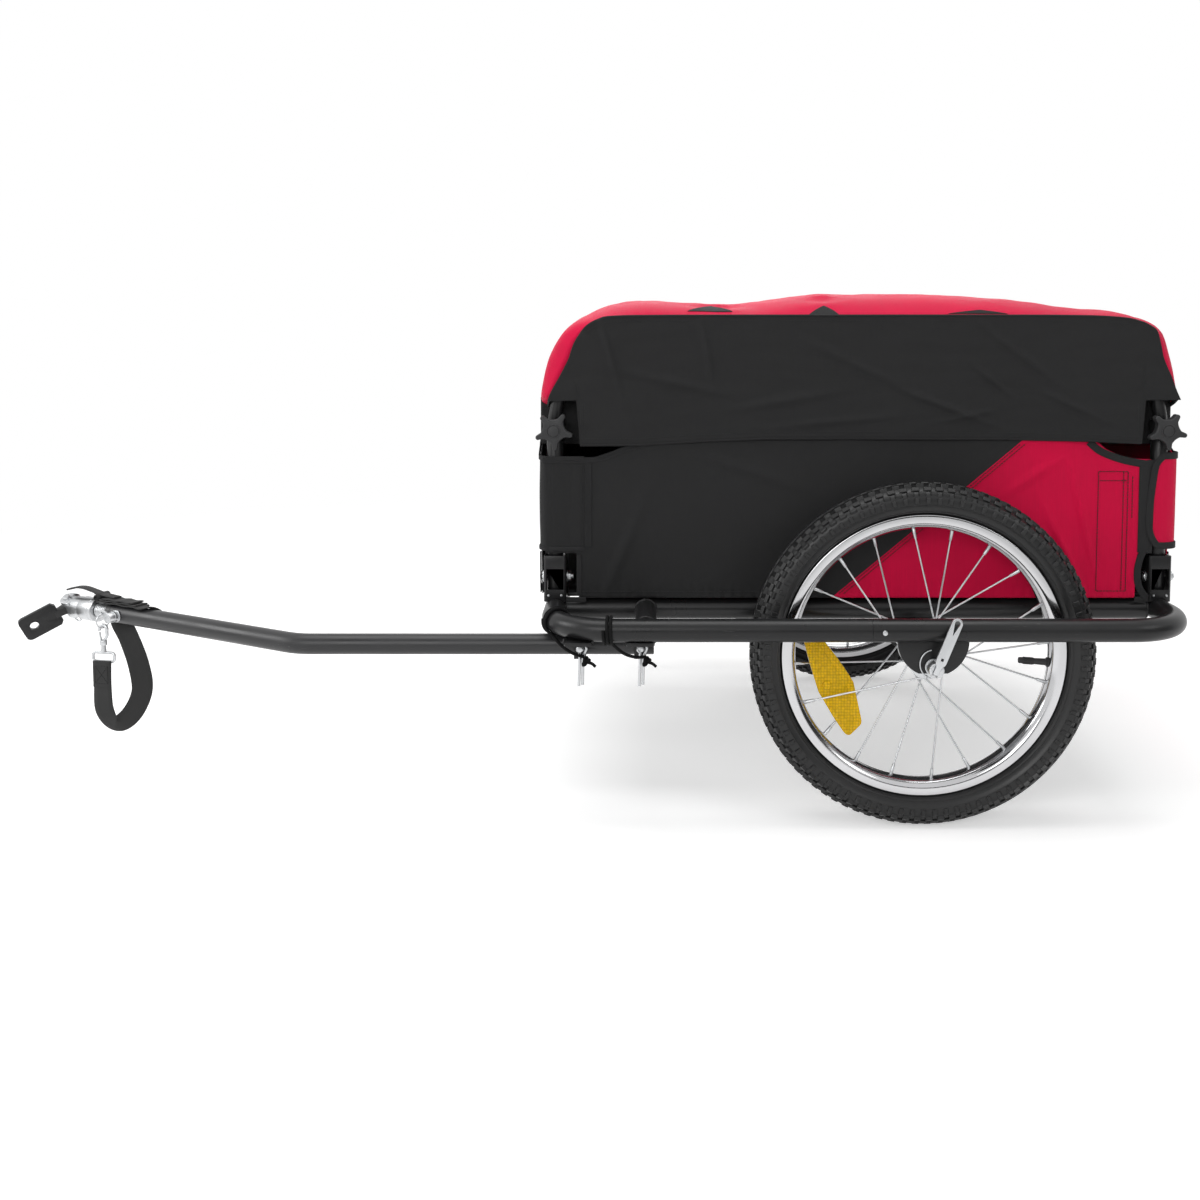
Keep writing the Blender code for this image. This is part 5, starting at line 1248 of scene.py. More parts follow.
class TRAILER_OT_wheels(bpy.types.Operator):
    """Build the tyres with their tread, the rims, the hubs and the crossed spokes"""

    bl_idname = "trailer.wheels"
    bl_label = "Wheels"

    def execute(self, context):
        for name, side in SIDES.items():
            centre = (AXLE.x, side * WHEEL_Y, AXLE.z)
            body = f"wheel_{name}"
            wear(self.tyre(name, centre), "rubber", body, f"tyre_{name}")
            wear(self.rim(name, centre), "chrome", body, f"rim_{name}")
            wear(self.hub(name, centre), "zinc", body, f"hub_{name}")
            wear(self.spokes(name, centre), "zinc", body)
            wear(self.axle(name, side), "zinc", "frame", f"axle_{name}")
        return {"FINISHED"}

    def tyre(self, name, centre):
        depth = sizes().lug_depth
        half = mm(
            152.9, 10.7, 160, 10.8, 162.2, 13, 163.4, 16, 164.6, 17.4, 165.6, 17.9, 166.1, 18.9, 167.2, 19,
            170, 20.5, 172.2, 21.6, 172.9, 22.3, 173.8, 22.3, 176, 22.5, 180, 21.9, 184, 20.7, 187.3, 17.2,
            190.3, 12.8, 192, 8.3, 192.8, 4, 193, 0
        )
        section = half + [(r, -y) for r, y in reversed(half[:-1])]
        casing = spun("casing", section, 144, centre)
        # Radius, Y, length round the tyre, width, lean in degrees, and shift in pitches of each row of lugs
        rows = [
            (0.1927, 0.0, 0.0086, 0.0054, 0.0, 0.0),
            (0.1917, 0.0082, 0.0084, 0.0054, 14.0, 0.5),
            (0.1884, 0.0149, 0.0086, 0.0058, 38.0, 0.0),
            (0.184, 0.0199, 0.008, 0.0058, 62.0, 0.5),
            (0.1775, 0.0219, 0.005, 0.007, 82.0, 0.0),
        ]
        count = sizes().lugs
        pieces = [casing]
        for radius, y, long, wide, lean, shift in rows:
            for way in (1, -1) if y else (1,):
                high = depth * (0.95 if y < 0.02 else 0.55)
                lug = block("lug", (-long / 2, -wide / 2, -0.002), (long / 2, wide / 2, high), 0.0006, 1)
                angles = [360 / count * (i + shift) for i in range(count)]
                spots = [standing_out(radius, a, centre, way * y, way * lean) for a in angles]
                pieces.append(repeated("lugs", lug, spots))
        return joined(f"tread_tyre_{name}", *pieces)

    def rim(self, name, centre):
        outer = mm(
            159.8, 12.2, 160.4, 12.7, 160.6, 13.3, 160.2, 13.8, 159.4, 14, 153.2, 13.7, 151.4, 13.4,
            150, 12.7, 147.4, 10.5, 145.1, 7.6, 144.1, 4.8, 143.9, 2
        )
        inside = mm(145.2, 2, 145.4, 4.8, 146.6, 7.2, 148.8, 9.8, 151.2, 11.9)
        far = [(r, -y) for r, y in reversed(outer)]
        section = outer + far + [(r, -y) for r, y in inside] + inside[::-1]
        return spun(f"dropped_rim_{name}", section, 160, centre)

    def hub(self, name, centre):
        half = mm(
            5.2, 39.7, 8.6, 39.7, 9.4, 39.2, 9.7, 37.8, 10.4, 37.4, 11, 36.2, 11.7, 33, 12.4, 31.2,
            20.9, 31, 21.4, 30.6, 21.5, 30, 21.5, 29, 21.4, 28.4, 20.9, 28, 12.8, 27.8, 11.8, 26.2,
            11, 23.5, 10.4, 18, 10.1, 0
        )
        section = half + [(r, -y) for r, y in reversed(half[:-1])]
        pieces = [spun("hub", section, 64, centre)]
        for i in range(20):
            angle, y = self.spoke_head(i)
            way = 1 if y > 0 else -1
            spot = Vector(centre) + on_wheel(0.0185, angle, y + way * 0.0014)
            pieces.append(bar("head", spot, spot - Vector((0, way * 0.0034, 0)), 0.0019, 10, edge=0.0003))
        return joined(f"flanged_hub_{name}", *pieces)

    def spoke_head(self, i):
        """The angle and Y of a spoke's hooked end."""
        leading = (i // 2) % 2
        lean = 62 if leading else -62
        y = 0.028 + (0.0024 if leading else 0.0006)
        return 4.9 + 18 * i + lean, -y if i % 2 else y

    def spokes(self, name, centre):
        pieces = []
        middle = Vector(centre)
        radius = sizes().spoke
        for i in range(20):
            angle, y = self.spoke_head(i)
            rim_deg = 4.9 + 18 * i
            start = middle + on_wheel(0.0185, angle, y)
            end = middle + on_wheel(0.1437, rim_deg, math.copysign(0.0022, y))
            way = (end - start).normalized()
            bow = middle + on_wheel(0.0205, angle, y + math.copysign(0.0009, y))
            pieces.append(hose("spoke", flowing([start, bow, start + way * 0.012, end], 3), radius, 10))
            nipple = end - way * 0.0115
            pieces.append(bar("nipple", nipple, end + way * 0.0012, 0.0017, 12, 0.0021, 0.0002))
        return joined(f"spokes_{name}", *pieces)

    def axle(self, name, side):
        x, z = AXLE.x, AXLE.z
        middle = side * WHEEL_Y

        def at(y):
            return (x, middle + side * y, z)

        pieces = [bar("thread", at(-0.0555), at(0.0577), 0.0048, 28)]
        for way in (-1, 1):
            for k in range(8):
                pieces.append(ring("turn", at(way * (0.04 + 0.0013 * k)), (0, 1, 0), 0.0048, 0.0004, 24, 6))
            pieces.append(bar("locknut", at(way * 0.047), at(way * 0.0536), 0.0084, 6, edge=0.0007))
            pieces.append(bar("washer", at(way * 0.0456), at(way * 0.047), 0.0078, 28, edge=0.0003))
            pieces.append(bar("cone", at(way * 0.04), at(way * 0.0456), 0.0058, 28, 0.007))
        pieces.append(bar("nut", at(-0.0563), at(-0.066), 0.0079, 28, 0.0072, 0.001))
        pieces.append(bar("tip", at(-0.0655), at(-0.0683), 0.0048, 24, edge=0.0008))
        pieces.append(bar("skewer", at(0.057), at(0.06), 0.0024, 16))
        return joined(f"axle_set_{name}", *pieces)


class TRAILER_OT_reflectors(bpy.types.Operator):
    """Build the amber wheel reflectors and the tyre valves"""

    bl_idname = "trailer.reflectors"
    bl_label = "Reflectors and valves"

    def execute(self, context):
        edge = mm(
            264.5, 224, 266, 209.4, 273.9, 180.5, 283, 151.7, 299.9, 122.9, 312, 105.2, 314.6, 102.6,
            317.5, 101.8, 320, 102.6, 330.5, 113, 332, 115.5, 332.2, 119.4, 322.6, 163.2, 316.9, 172.5,
            303.3, 192.1, 289.8, 209.4, 286, 224
        )
        band = mm(
            270, 220, 271.2, 209, 278.6, 182.2, 287, 154.5, 302.5, 126.2, 316.8, 106, 318, 106.6,
            324, 112.8, 324.6, 115, 316, 156, 309.2, 168, 296, 188, 284, 206, 281, 220
        )
        for name, side in SIDES.items():
            y = side * WHEEL_Y
            shell = standing(plate("shell", edge, 0.0072, 0.0012, 3), y)
            face = standing(plate("face", band, 0.0084, 0.0004, 1), y)
            foot, screw_top, socket_top = [(0.292, y + side * out, 0.1606) for out in (0.004, 0.0064, 0.0069)]
            screw = bar("screw", foot, screw_top, 0.0054, 28, 0.0044, 0.0009)
            socket = bar("socket", foot, socket_top, 0.0019, 6)
            reflector = joined(f"wheel_reflector_{name}", shell, face, screw, socket)
            wear(reflector, "amber", f"wheel_{name}", f"reflector_{name}")
            wear(self.valve(name, y), "plastic", f"wheel_{name}", f"valve_{name}")
        return {"FINISHED"}

    def valve(self, name, y):
        centre = Vector((AXLE.x, y, AXLE.z))

        def at(radius):
            return centre + on_wheel(radius, -4.1)

        stem = bar("stem", at(0.15), at(0.127), 0.0042, 24, 0.0034, 0.0004)
        collar = bar("collar", at(0.144), at(0.1418), 0.0054, 24, edge=0.0004)
        cap = bar("cap", at(0.1275), at(0.1102), 0.004, 24, 0.0034, 0.0006)
        rib = block("rib", (-0.00035, -0.00035, -0.0055), (0.00035, 0.00035, 0.0055), 0.0002, 1)
        inward = (at(0.11) - at(0.13)).normalized()
        foot = Matrix.Translation(at(0.1205)) @ inward.to_track_quat("Z", "Y").to_matrix().to_4x4()
        out = Matrix.Translation((0.0038, 0, 0))
        spots = [foot @ Matrix.Rotation(math.tau * k / 14, 4, "Z") @ out for k in range(14)]
        return joined(f"tyre_valve_{name}", stem, collar, cap, repeated("ribs", rib, spots))


class TRAILER_OT_quick_releases(bpy.types.Operator):
    """Build the quick-release barrels and their cam levers"""

    bl_idname = "trailer.quick_releases"
    bl_label = "Quick releases"

    def execute(self, context):
        for name, side in SIDES.items():
            lean = math.radians(22)
            along = Vector((math.sin(lean), 0, math.cos(lean)))
            out = Vector((0, side, 0))
            turn = Matrix((along, out.cross(along), out)).transposed().to_4x4()
            place = Matrix.Translation((AXLE.x, side * 0.3665, AXLE.z)) @ turn
            wear(placed(self.barrel(name), place), "zinc", "frame", f"qr_cap_{name}")
            wear(placed(self.lever(name), place), "zinc", f"lever_{name}", f"qr_lever_{name}")
            wear(self.keeper(name, side), "zinc", "frame")
        return {"FINISHED"}

    def barrel(self, name):
        body = bar("barrel", (0, 0, -0.0115), (0, 0, 0.0047), 0.0084, 48, edge=0.0011)
        cut_with(body, block("slot", (-0.02, -0.0034, -0.0079), (0.02, 0.0034, 0.02)))
        grip = ring("groove", (0, 0, -0.0088), (0, 0, 1), 0.0083, 0.0004, 48, 8)
        washer = bar("washer", (0, 0, -0.0117), (0, 0, -0.0104), 0.0094, 40, edge=0.0003)
        return joined(f"release_barrel_{name}", body, grip, washer)

    def lever(self, name):
        wide = 0.006
        tip = 0.062 - wide
        half = [(-0.0045, 0.003), (0.004, 0.003), (0.0062, 0.0038), (0.008, 0.0054), (0.0105, wide), (tip, wide)]
        outline = [(x, -y) for x, y in half]
        outline += arc(tip, 0.0, wide, 180 / 14 - 90, 180 / 14, 13) + half[::-1]
        arm = plate("arm", outline, 0.003, 0.0007, 2)
        drop = [(tip - 0.014, 0.0), *arc(tip, 0.0, 0.0031, -105, 17.5, 13)]
        cut_with(arm, plate("drop", drop, 0.02))
        cut_with(arm, block("hole", (0.012, -0.0015, -0.01), (0.0152, 0.0015, 0.01)))
        placed(arm, Matrix.Translation((0, 0, 0.0047)))
        for vert in arm.data.vertices:
            share = max(0.0, vert.co.x / 0.062)
            vert.co.z += 0.0012 * math.sin(math.pi * min(1.0, share))
        boss = bar("boss", (0, -0.0029, 0), (0, 0.0029, 0), 0.0045, 32, edge=0.0004)
        pin = bar("pin", (0, -0.0074, 0), (0, 0.0074, 0), 0.0018, 20, edge=0.0003)
        return joined(f"cam_lever_{name}", smooth(arm), boss, pin)

    def keeper(self, name, side):
        y = side * 0.3562
        bow = [(AXLE.x + 0.015 * x, y, 0.1995 + 0.0158 * z) for x, z in arc(0.0, 0.0, 1.0, 100, 12, 14)]
        return hose(f"keeper_wire_{name}", flowing(bow, 2), 0.0008, 10)


# Fabric box


def stitches(points, normals, pitch=0.0036, length=0.0026, radius=0.00048):
    """A row of short thread stitches along a path."""
    shares, total = lengths(points)
    normals = each(normals, points)
    thread = bar("thread", (-length / 2, 0, 0), (length / 2, 0, 0), radius, 6)
    spots = []
    count = max(2, int(total / pitch))
    for i in range(count):
        v = (i + 0.5) / count
        near = (max(0.0, v - 0.004), min(1.0, v + 0.004))
        before, after = [along_path(points, shares, share) for share in near]
        way = (after - before).normalized()
        across = along_path(normals, shares, v).normalized().cross(way).normalized()
        turn = Matrix((way, across, way.cross(across))).transposed().to_4x4()
        spots.append(Matrix.Translation(along_path(points, shares, v)) @ turn)
    return repeated("stitches", thread, spots)


WALL_FACE = 0.2531
WALL_LOW = 0.2505
WALL_TOP = mm(
    -31.8, 414.5, 28, 415.2, 62, 427, 94, 436.2, 120, 436.8, 590, 436.8, 608.5, 433, 619.3, 424.3,
    634.1, 417.7, 650.9, 413.5, 698.5, 411
)
WALL_FOOT = [(-0.0318, 0.3035), (0.006, 0.303), (0.008, 0.299), (0.0086, WALL_LOW), (0.656, WALL_LOW)]
WALL_FOOT += [(0.6568, 0.299), (0.659, 0.303), (0.6985, 0.3035)]

# Middle in X and Z, half its length in X and Z, half its width, and height of each crease
CREASES = [
    (0.575, 0.3, 0.022, -0.045, 0.0045, 0.0034),
    (0.592, 0.345, 0.012, -0.05, 0.004, 0.0027),
    (0.54, 0.395, 0.03, 0.02, 0.006, 0.0021),
    (0.06, 0.3, 0.02, 0.05, 0.007, 0.0021),
    (0.2, 0.4, 0.06, -0.02, 0.006, 0.0017),
    (0.431, 0.473, 0.045, -0.017, 0.0035, 0.0036),
    (0.485, 0.503, 0.018, -0.014, 0.003, 0.0029),
    (0.455, 0.462, 0.03, 0.006, 0.003, 0.0025),
    (0.156, 0.537, 0.006, -0.03, 0.004, 0.0025),
    (0.58, 0.473, 0.03, -0.014, 0.0035, 0.0029),
    (0.045, 0.53, 0.01, -0.034, 0.004, 0.0029),
    (0.25, 0.48, 0.06, 0.01, 0.005, 0.0019),
    (0.12, 0.5, 0.055, -0.012, 0.0045, 0.0022),
    (0.33, 0.52, 0.05, -0.024, 0.005, 0.0024),
    (0.52, 0.53, 0.04, -0.03, 0.0045, 0.0024),
    (0.3, 0.455, 0.07, 0.006, 0.004, 0.0018),
]


def creased(x, z):
    """The height of the soft creases in the cloth at this place."""
    height = 0.0
    for x0, z0, dx, dz, wide, deep in CREASES:
        along = ((x - x0) * dx + (z - z0) * dz) / (dx * dx + dz * dz)
        off = ((x - x0) * dz - (z - z0) * dx) / math.hypot(dx, dz) / wide
        if abs(along) < 2.2 and abs(off) < 3.0:
            height += deep * math.exp(-along * along - off * off) * (1.0 - 0.7 * off)
    return height


def wall_y(x, z):
    """How far out the face of a side wall is at this place: pulled tight at the posts, slack between them."""
    share = min(1.0, max(0.0, (x + 0.0318) / 0.7303))
    height = min(1.0, max(0.0, (z - WALL_LOW) / 0.186))
    slack = math.sin(math.pi * share) ** 0.7 * math.sin(math.pi * height)
    pull = 0.001 * lumps((x, 0.0, z * 1.6), 9.0) + 0.0005 * lumps((x, 1.0, z * 0.5), 34.0)
    gather = 0.0005 * math.sin(x * 520.0) * max(0.0, 1.0 - (z - WALL_LOW) / 0.02) * (1.0 if z < 0.27 else 0.0)
    return WALL_FACE + 0.0016 * slack + pull * min(1.0, 6 * height + 0.2) + gather + creased(x, z)


def wall_spot(side, x, z, off=0.0):
    """A point on the face of a side wall."""
    return Vector((x, side * (wall_y(x, z) + off), z))


def straight(start, end, count):
    """The points of a straight row with this many steps, as (x, z)."""
    (x0, z0), (x1, z1) = start, end
    return [(x0 + (x1 - x0) * k / count, z0 + (z1 - z0) * k / count) for k in range(count + 1)]


class TRAILER_OT_box(bpy.types.Operator):
    """Build the fabric box: its side walls with the post pockets, and its end walls"""

    bl_idname = "trailer.box"
    bl_label = "Fabric box"

    def execute(self, context):
        for name, side in SIDES.items():
            body = f"side_frame_{name}"
            wall = wear(self.side_wall(name, side), "box cloth", body, f"bag_side_{name}")
            front = wear(self.front_pocket(name, side), "black cloth", body)
            rear = wear(self.rear_pocket(name, side), "red cloth", body)
            trim = wear(self.trim(name, side), "binding", body)
            seams = wear(self.red_seams(name, side), "binding", body)
            cut_from(wall, (0.2, 0.72), "stretched", [f"post_{end}_{name}" for end in ENDS], [trim, seams])
            cut_from(front, (0.09, 0.115), "stretched", [f"post_front_{name}"])
            cut_from(rear, (0.075, 0.115), "stretched", [f"post_rear_{name}"])
            for end in ENDS:
                self.end_wall(end, name, side)
        return {"FINISHED"}

    def side_wall(self, name, side):
        first, last = -0.03, 0.6716

        def place(u, v):
            x = first + (last - first) * u
            low = between(x, WALL_FOOT)
            z = low + (between(x, WALL_TOP) - low) * v
            return wall_spot(side, x, z)

        return surface(f"wall_{name}", 360, 60, place, (last - first, 0.18), -0.0012 * side)

    def sleeve_path(self, x, way, reach):
        """From the wall round a post to the end wall, as offsets in X and Y from the post."""
        radius = 0.0136
        wide = 0.0172 if way < 0 else 0.0192
        path = [(-way * reach, radius), (-way * reach * 0.5, radius + 0.0004), (0.0, radius)]
        path += [(way * wide * x, radius * y) for x, y in arc(0.0, 0.0, 1.0, 75, -15, 6)]
        path += [(way * wide, -0.006), (way * wide, -0.016)]
        return [Vector((x + dx, POST_Y + dy, 0.0)) for dx, dy in path]

    def round_post(self, side, end, z, off=0.0015):
        """A tape's points and normals at one height, from the face of a post's sleeve round to the end wall."""
        points = []
        normals = []
        for spot in self.sleeve_path(POST_XS[end], ENDS[end], 0.02)[2:]:
            away = Vector((spot.x - POST_XS[end], spot.y - POST_Y, 0.0)).normalized()
            spot = spot + away * off
            points.append(Vector((spot.x, side * spot.y, z)))
            normals.append(Vector((away.x, side * away.y, 0.0)))
        return points, normals

    def pocket(self, name, side, end, reach, low, high, columns, rows):
        path = self.sleeve_path(POST_XS[end], ENDS[end], reach)
        shares, length = lengths(path)

        def place(u, v):
            spot = along_path(path, shares, u)
            z = low(spot.x, u) + (high(spot.x, u) - low(spot.x, u)) * v
            bulge = 0.0007 + 0.0006 * lumps((spot.x, spot.y, z), 26.0) + 0.0004 * math.sin(math.pi * v)
            away = Vector((spot.x - POST_XS[end], spot.y - POST_Y, 0.0)).normalized()
            spot = spot + away * bulge
            return (spot.x, side * spot.y, z)

        return surface(name, columns, rows, place, (length, 0.11), 0.0012 * side * ENDS[end])

    def front_pocket(self, name, side):
        def low(_, u):
            return 0.3056 + 0.001 * math.sin(u * 9.0)

        def high(*_):
            return 0.416

        return self.pocket(f"front_pocket_{name}", side, "front", 0.034, low, high, 48, 30)

    def rear_pocket(self, name, side):
        top = mm(668.5, 350, 670.5, 372, 672.5, 390, 676, 406, 680.5, 415.5, 686, 419)
        foot = mm(669, 342, 671.5, 329, 676, 316.5, 682, 312, 686, 311)

        def low(x, _):
            return between(x, foot)

        def high(x, _):
            return between(x, top)

        return self.pocket(f"rear_pocket_{name}", side, "rear", 0.0158, low, high, 48, 36)

    def seam(self, side, places, per_span, off=0.0016):
        """A row of stitches on a side wall."""
        points = flowing([wall_spot(side, x, z, off) for x, z in places], per_span)
        return stitches(points, (0, side, 0))

    def trim(self, name, side):
        """The bindings, the strip beside the front pocket, and the black strip at the rear."""
        wide = sizes().binding
        face = Vector((0, side, 0))
        pieces = []
        for width, off, places in (
            (wide, 0.0016, mm(599, 433, 610.8, 423.1, 626.6, 416, 644.3, 410.7, 662.9, 407.5, 671.3, 407)),
            (0.0124, 0.0016, [(0.664, 0.405), (0.664, 0.36), (0.664, 0.304)]),
            (0.01, 0.0012, mm(671.8, 412, 671.8, 395, 670.8, 360, 670, 303)),
            (0.0082, 0.0016, mm(665, 305, 661.8, 298, 659.2, 287, 658.7, 276, 660.2, 266, 664.5, 257, 670, 250)),
            (0.006, 0.0016, [(0.0092, 0.253), (0.0094, 0.277), (0.0094, 0.301)]),
            (0.008, 0.0016, [(0.0204, 0.408), (0.0206, 0.36), (0.0204, 0.311)]),
            (0.0062, 0.0016, [(-0.0058, 0.2484), (0.005, 0.2484), (0.017, 0.2484)]),
            (0.0062, 0.0016, [(0.656, 0.2484), (0.664, 0.2484), (0.6724, 0.2484)]),
            (0.007, 0.0016, [(x, z - wide * 0.35) for x, z in WALL_TOP[:4]]),
        ):
            points = flowing([wall_spot(side, x, z, off) for x, z in places], 8)
            pieces.append(strap("tape", points, face, width, 0.0014))
        over, over_faces = self.round_post(side, "rear", 0.4166)
        under, under_faces = self.round_post(side, "rear", 0.3118)
        pocket = mm(683.5, 415, 676.8, 405.8, 673.3, 382.8, 670.9, 359, 670, 337.6, 673.3, 322.6, 679.7, 313)
        left = [Vector((x, side * (POST_Y + 0.016), z)) for x, z in pocket]
        points = flowing([*reversed(over), *left, *under], 4)
        faces = flowing([*reversed(over_faces), *([face] * len(left)), *under_faces], 4)
        pieces.append(strap("tape", points, faces, 0.008, 0.0013))
        for z in (0.4136, 0.3082):
            points, faces = self.round_post(side, "front", z)
            lead = [Vector((x, side * (POST_Y + 0.0158), z)) for x in (0.015, 0.0, -0.012)]
            pieces.append(strap("tape", lead + points, [face] * 3 + faces, 0.005, 0.0012))
        for row in (
            [(0.018, 0.4055), (0.018, 0.3135)],
            [(0.023, 0.4055), (0.023, 0.3135)],
            [(0.013, 0.41), (0.013, 0.308)],
            [(0.03, 0.412), (0.06, 0.4225), (0.093, 0.431)],
            [(0.0125, 0.258), (0.3, 0.258)],
        ):
            pieces.append(self.seam(side, row, 12, 0.0024))
        return joined(f"box_binding_{name}", *pieces)

    def red_seams(self, name, side):
        """The sewn rectangle, the slanting seam and the rows beside the rear pocket."""
        corners = mm(610.9, 398.4, 645.2, 398.4, 645.2, 258.5, 610.9, 258.5, 610.9, 398.4)
        rows = [straight(a, b, 24) for a, b in zip(corners, corners[1:])]
        rows += [[(x + shift, z) for x, z in straight(*SLANT, 40)[1:-1]] for shift in (0.003, 0.0085)]
        pieces = [self.seam(side, row, 1) for row in rows]
        for ends in (
            [(0.6505, 0.393), (0.6505, 0.344)],
            [(0.64, 0.3984), (0.64, 0.26)],
            [(0.6125, 0.3878), (0.644, 0.3878)],
        ):
            pieces.append(self.seam(side, ends, 16))
        return joined(f"red_stitching_{name}", *pieces)

    def end_wall(self, end, name, side):
        """Half of an end wall, which bends with its side frame when that folds."""
        way = ENDS[end]
        face_x = POST_XS[end] + way * 0.0146
        wide = 0.23 if end == "front" else 0.2272
        foot = [(0.0, WALL_LOW), (wide, WALL_LOW), (wide + 0.0008, 0.295)]
        foot += [(wide + 0.0024, 0.3085), (0.243, 0.3085)]
        head = mm(0, 434.5, 190, 434.5, 225, 425.5, 243, 415.5)

        def place(u, v):
            y = 0.243 * u
            free = 1.0 - u**8
            low = between(y, foot)
            z = low + (between(y, head) - low) * v
            slack = math.sin(math.pi * min(1.0, 0.5 + u / 2)) * math.sin(math.pi * v)
            ripple = 0.0012 * lumps((y * 1.2, way, z * 1.5), 10.0, side * 3.0) * min(1.0, 8.0 * u, 5.0 * (1.0 - v))
            return (face_x + way * (0.0012 + (0.0032 * max(0.0, slack) + ripple) * free), side * y, z)

        cloth = "black cloth" if end == "front" else "red cloth"
        half = surface(f"{end}_wall_{name}", 110, 70, place, (0.243, 0.165), 0.0012 * side * way)
        tapes = []
        for row in (
            [(0.0, 0.2545), (0.227, 0.2545)],
            mm(0, 431, 190, 431, 225, 422, 239, 414.2),
            [(0.2262, 0.257), (0.2262, 0.3)],
        ):
            points = flowing([Vector((face_x + way * 0.004, side * y, z)) for y, z in row], 20)
            tapes.append(strap("tape", points, (way, 0, 0), 0.0075, 0.0014))
        edge = joined(f"{end}_binding_{name}", *tapes)
        for piece, kind in ((half, cloth), (edge, "binding")):
            middle, post = (face_x, 0.0, 0.3), (face_x, side * 0.238, 0.3)
            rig.blend(finished(piece, kind), "frame", f"side_frame_{name}", start=middle, end=post)
        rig.replaces(half, f"bag_{end}")
        cut_from(half, (0.25, 0.195), "stretched", [f"post_{end}_{name}"], [edge])


# Cover

SEAM = mm(
    -25.5, 480, -22, 489.5, -13.9, 503.8, -6.9, 516.8, -1.1, 528.7, 3.6, 543, 9.5, 554, 18.7, 566,
    32, 573.5, 50, 577.2, 120, 578.2, 330, 578.4, 560, 578.2, 630, 576, 655, 571.5, 669, 565, 674.8, 559,
    679, 544, 683, 527.6, 692.3, 507.3, 698.2, 491.9, 702.8, 482
)
RIDGE = mm(
    -39.2, 420, -38.7, 432.5, -36.5, 478, -34, 500, -27, 530, -8, 562, 20, 583, 50, 594, 92, 598, 147, 594,
    167, 592, 208, 594.5, 283, 603.5, 360, 605, 433, 604.5, 514.5, 601, 596, 589, 651, 584.3, 685, 565,
    699, 530, 703, 490, 705, 432.5, 706.2, 420
)
HEM = mm(9.8, 429.5, 80, 429.6, 150, 434, 225, 437.2, 486, 436.6, 600, 434.5, 659.3, 431.8)


def skirt_y(x, z):
    """How far out the skirt is: set by the hoop at the top, a little further out at the hem, with soft waves."""
    drop = min(1.0, max(0.0, (0.5784 - z) / 0.149))
    wave = 0.0011 * drop * math.sin(x * 31.0 + 0.8) + 0.0008 * drop * lumps((x, 0.0, z * 0.5), 22.0)
    crease = 0.0006 * lumps((x * 0.6, 2.0, z * 1.8), 40.0)
    return 0.252 + 0.0062 * drop + wave + crease + creased(x, z)


def tucked(z):
    """How far the end flaps are drawn in at this height, under the hoops' bends."""
    share = min(1.0, max(0.0, (0.486 - z) / 0.02))
    return 0.04 * share * share * (3.0 - 2.0 * share)


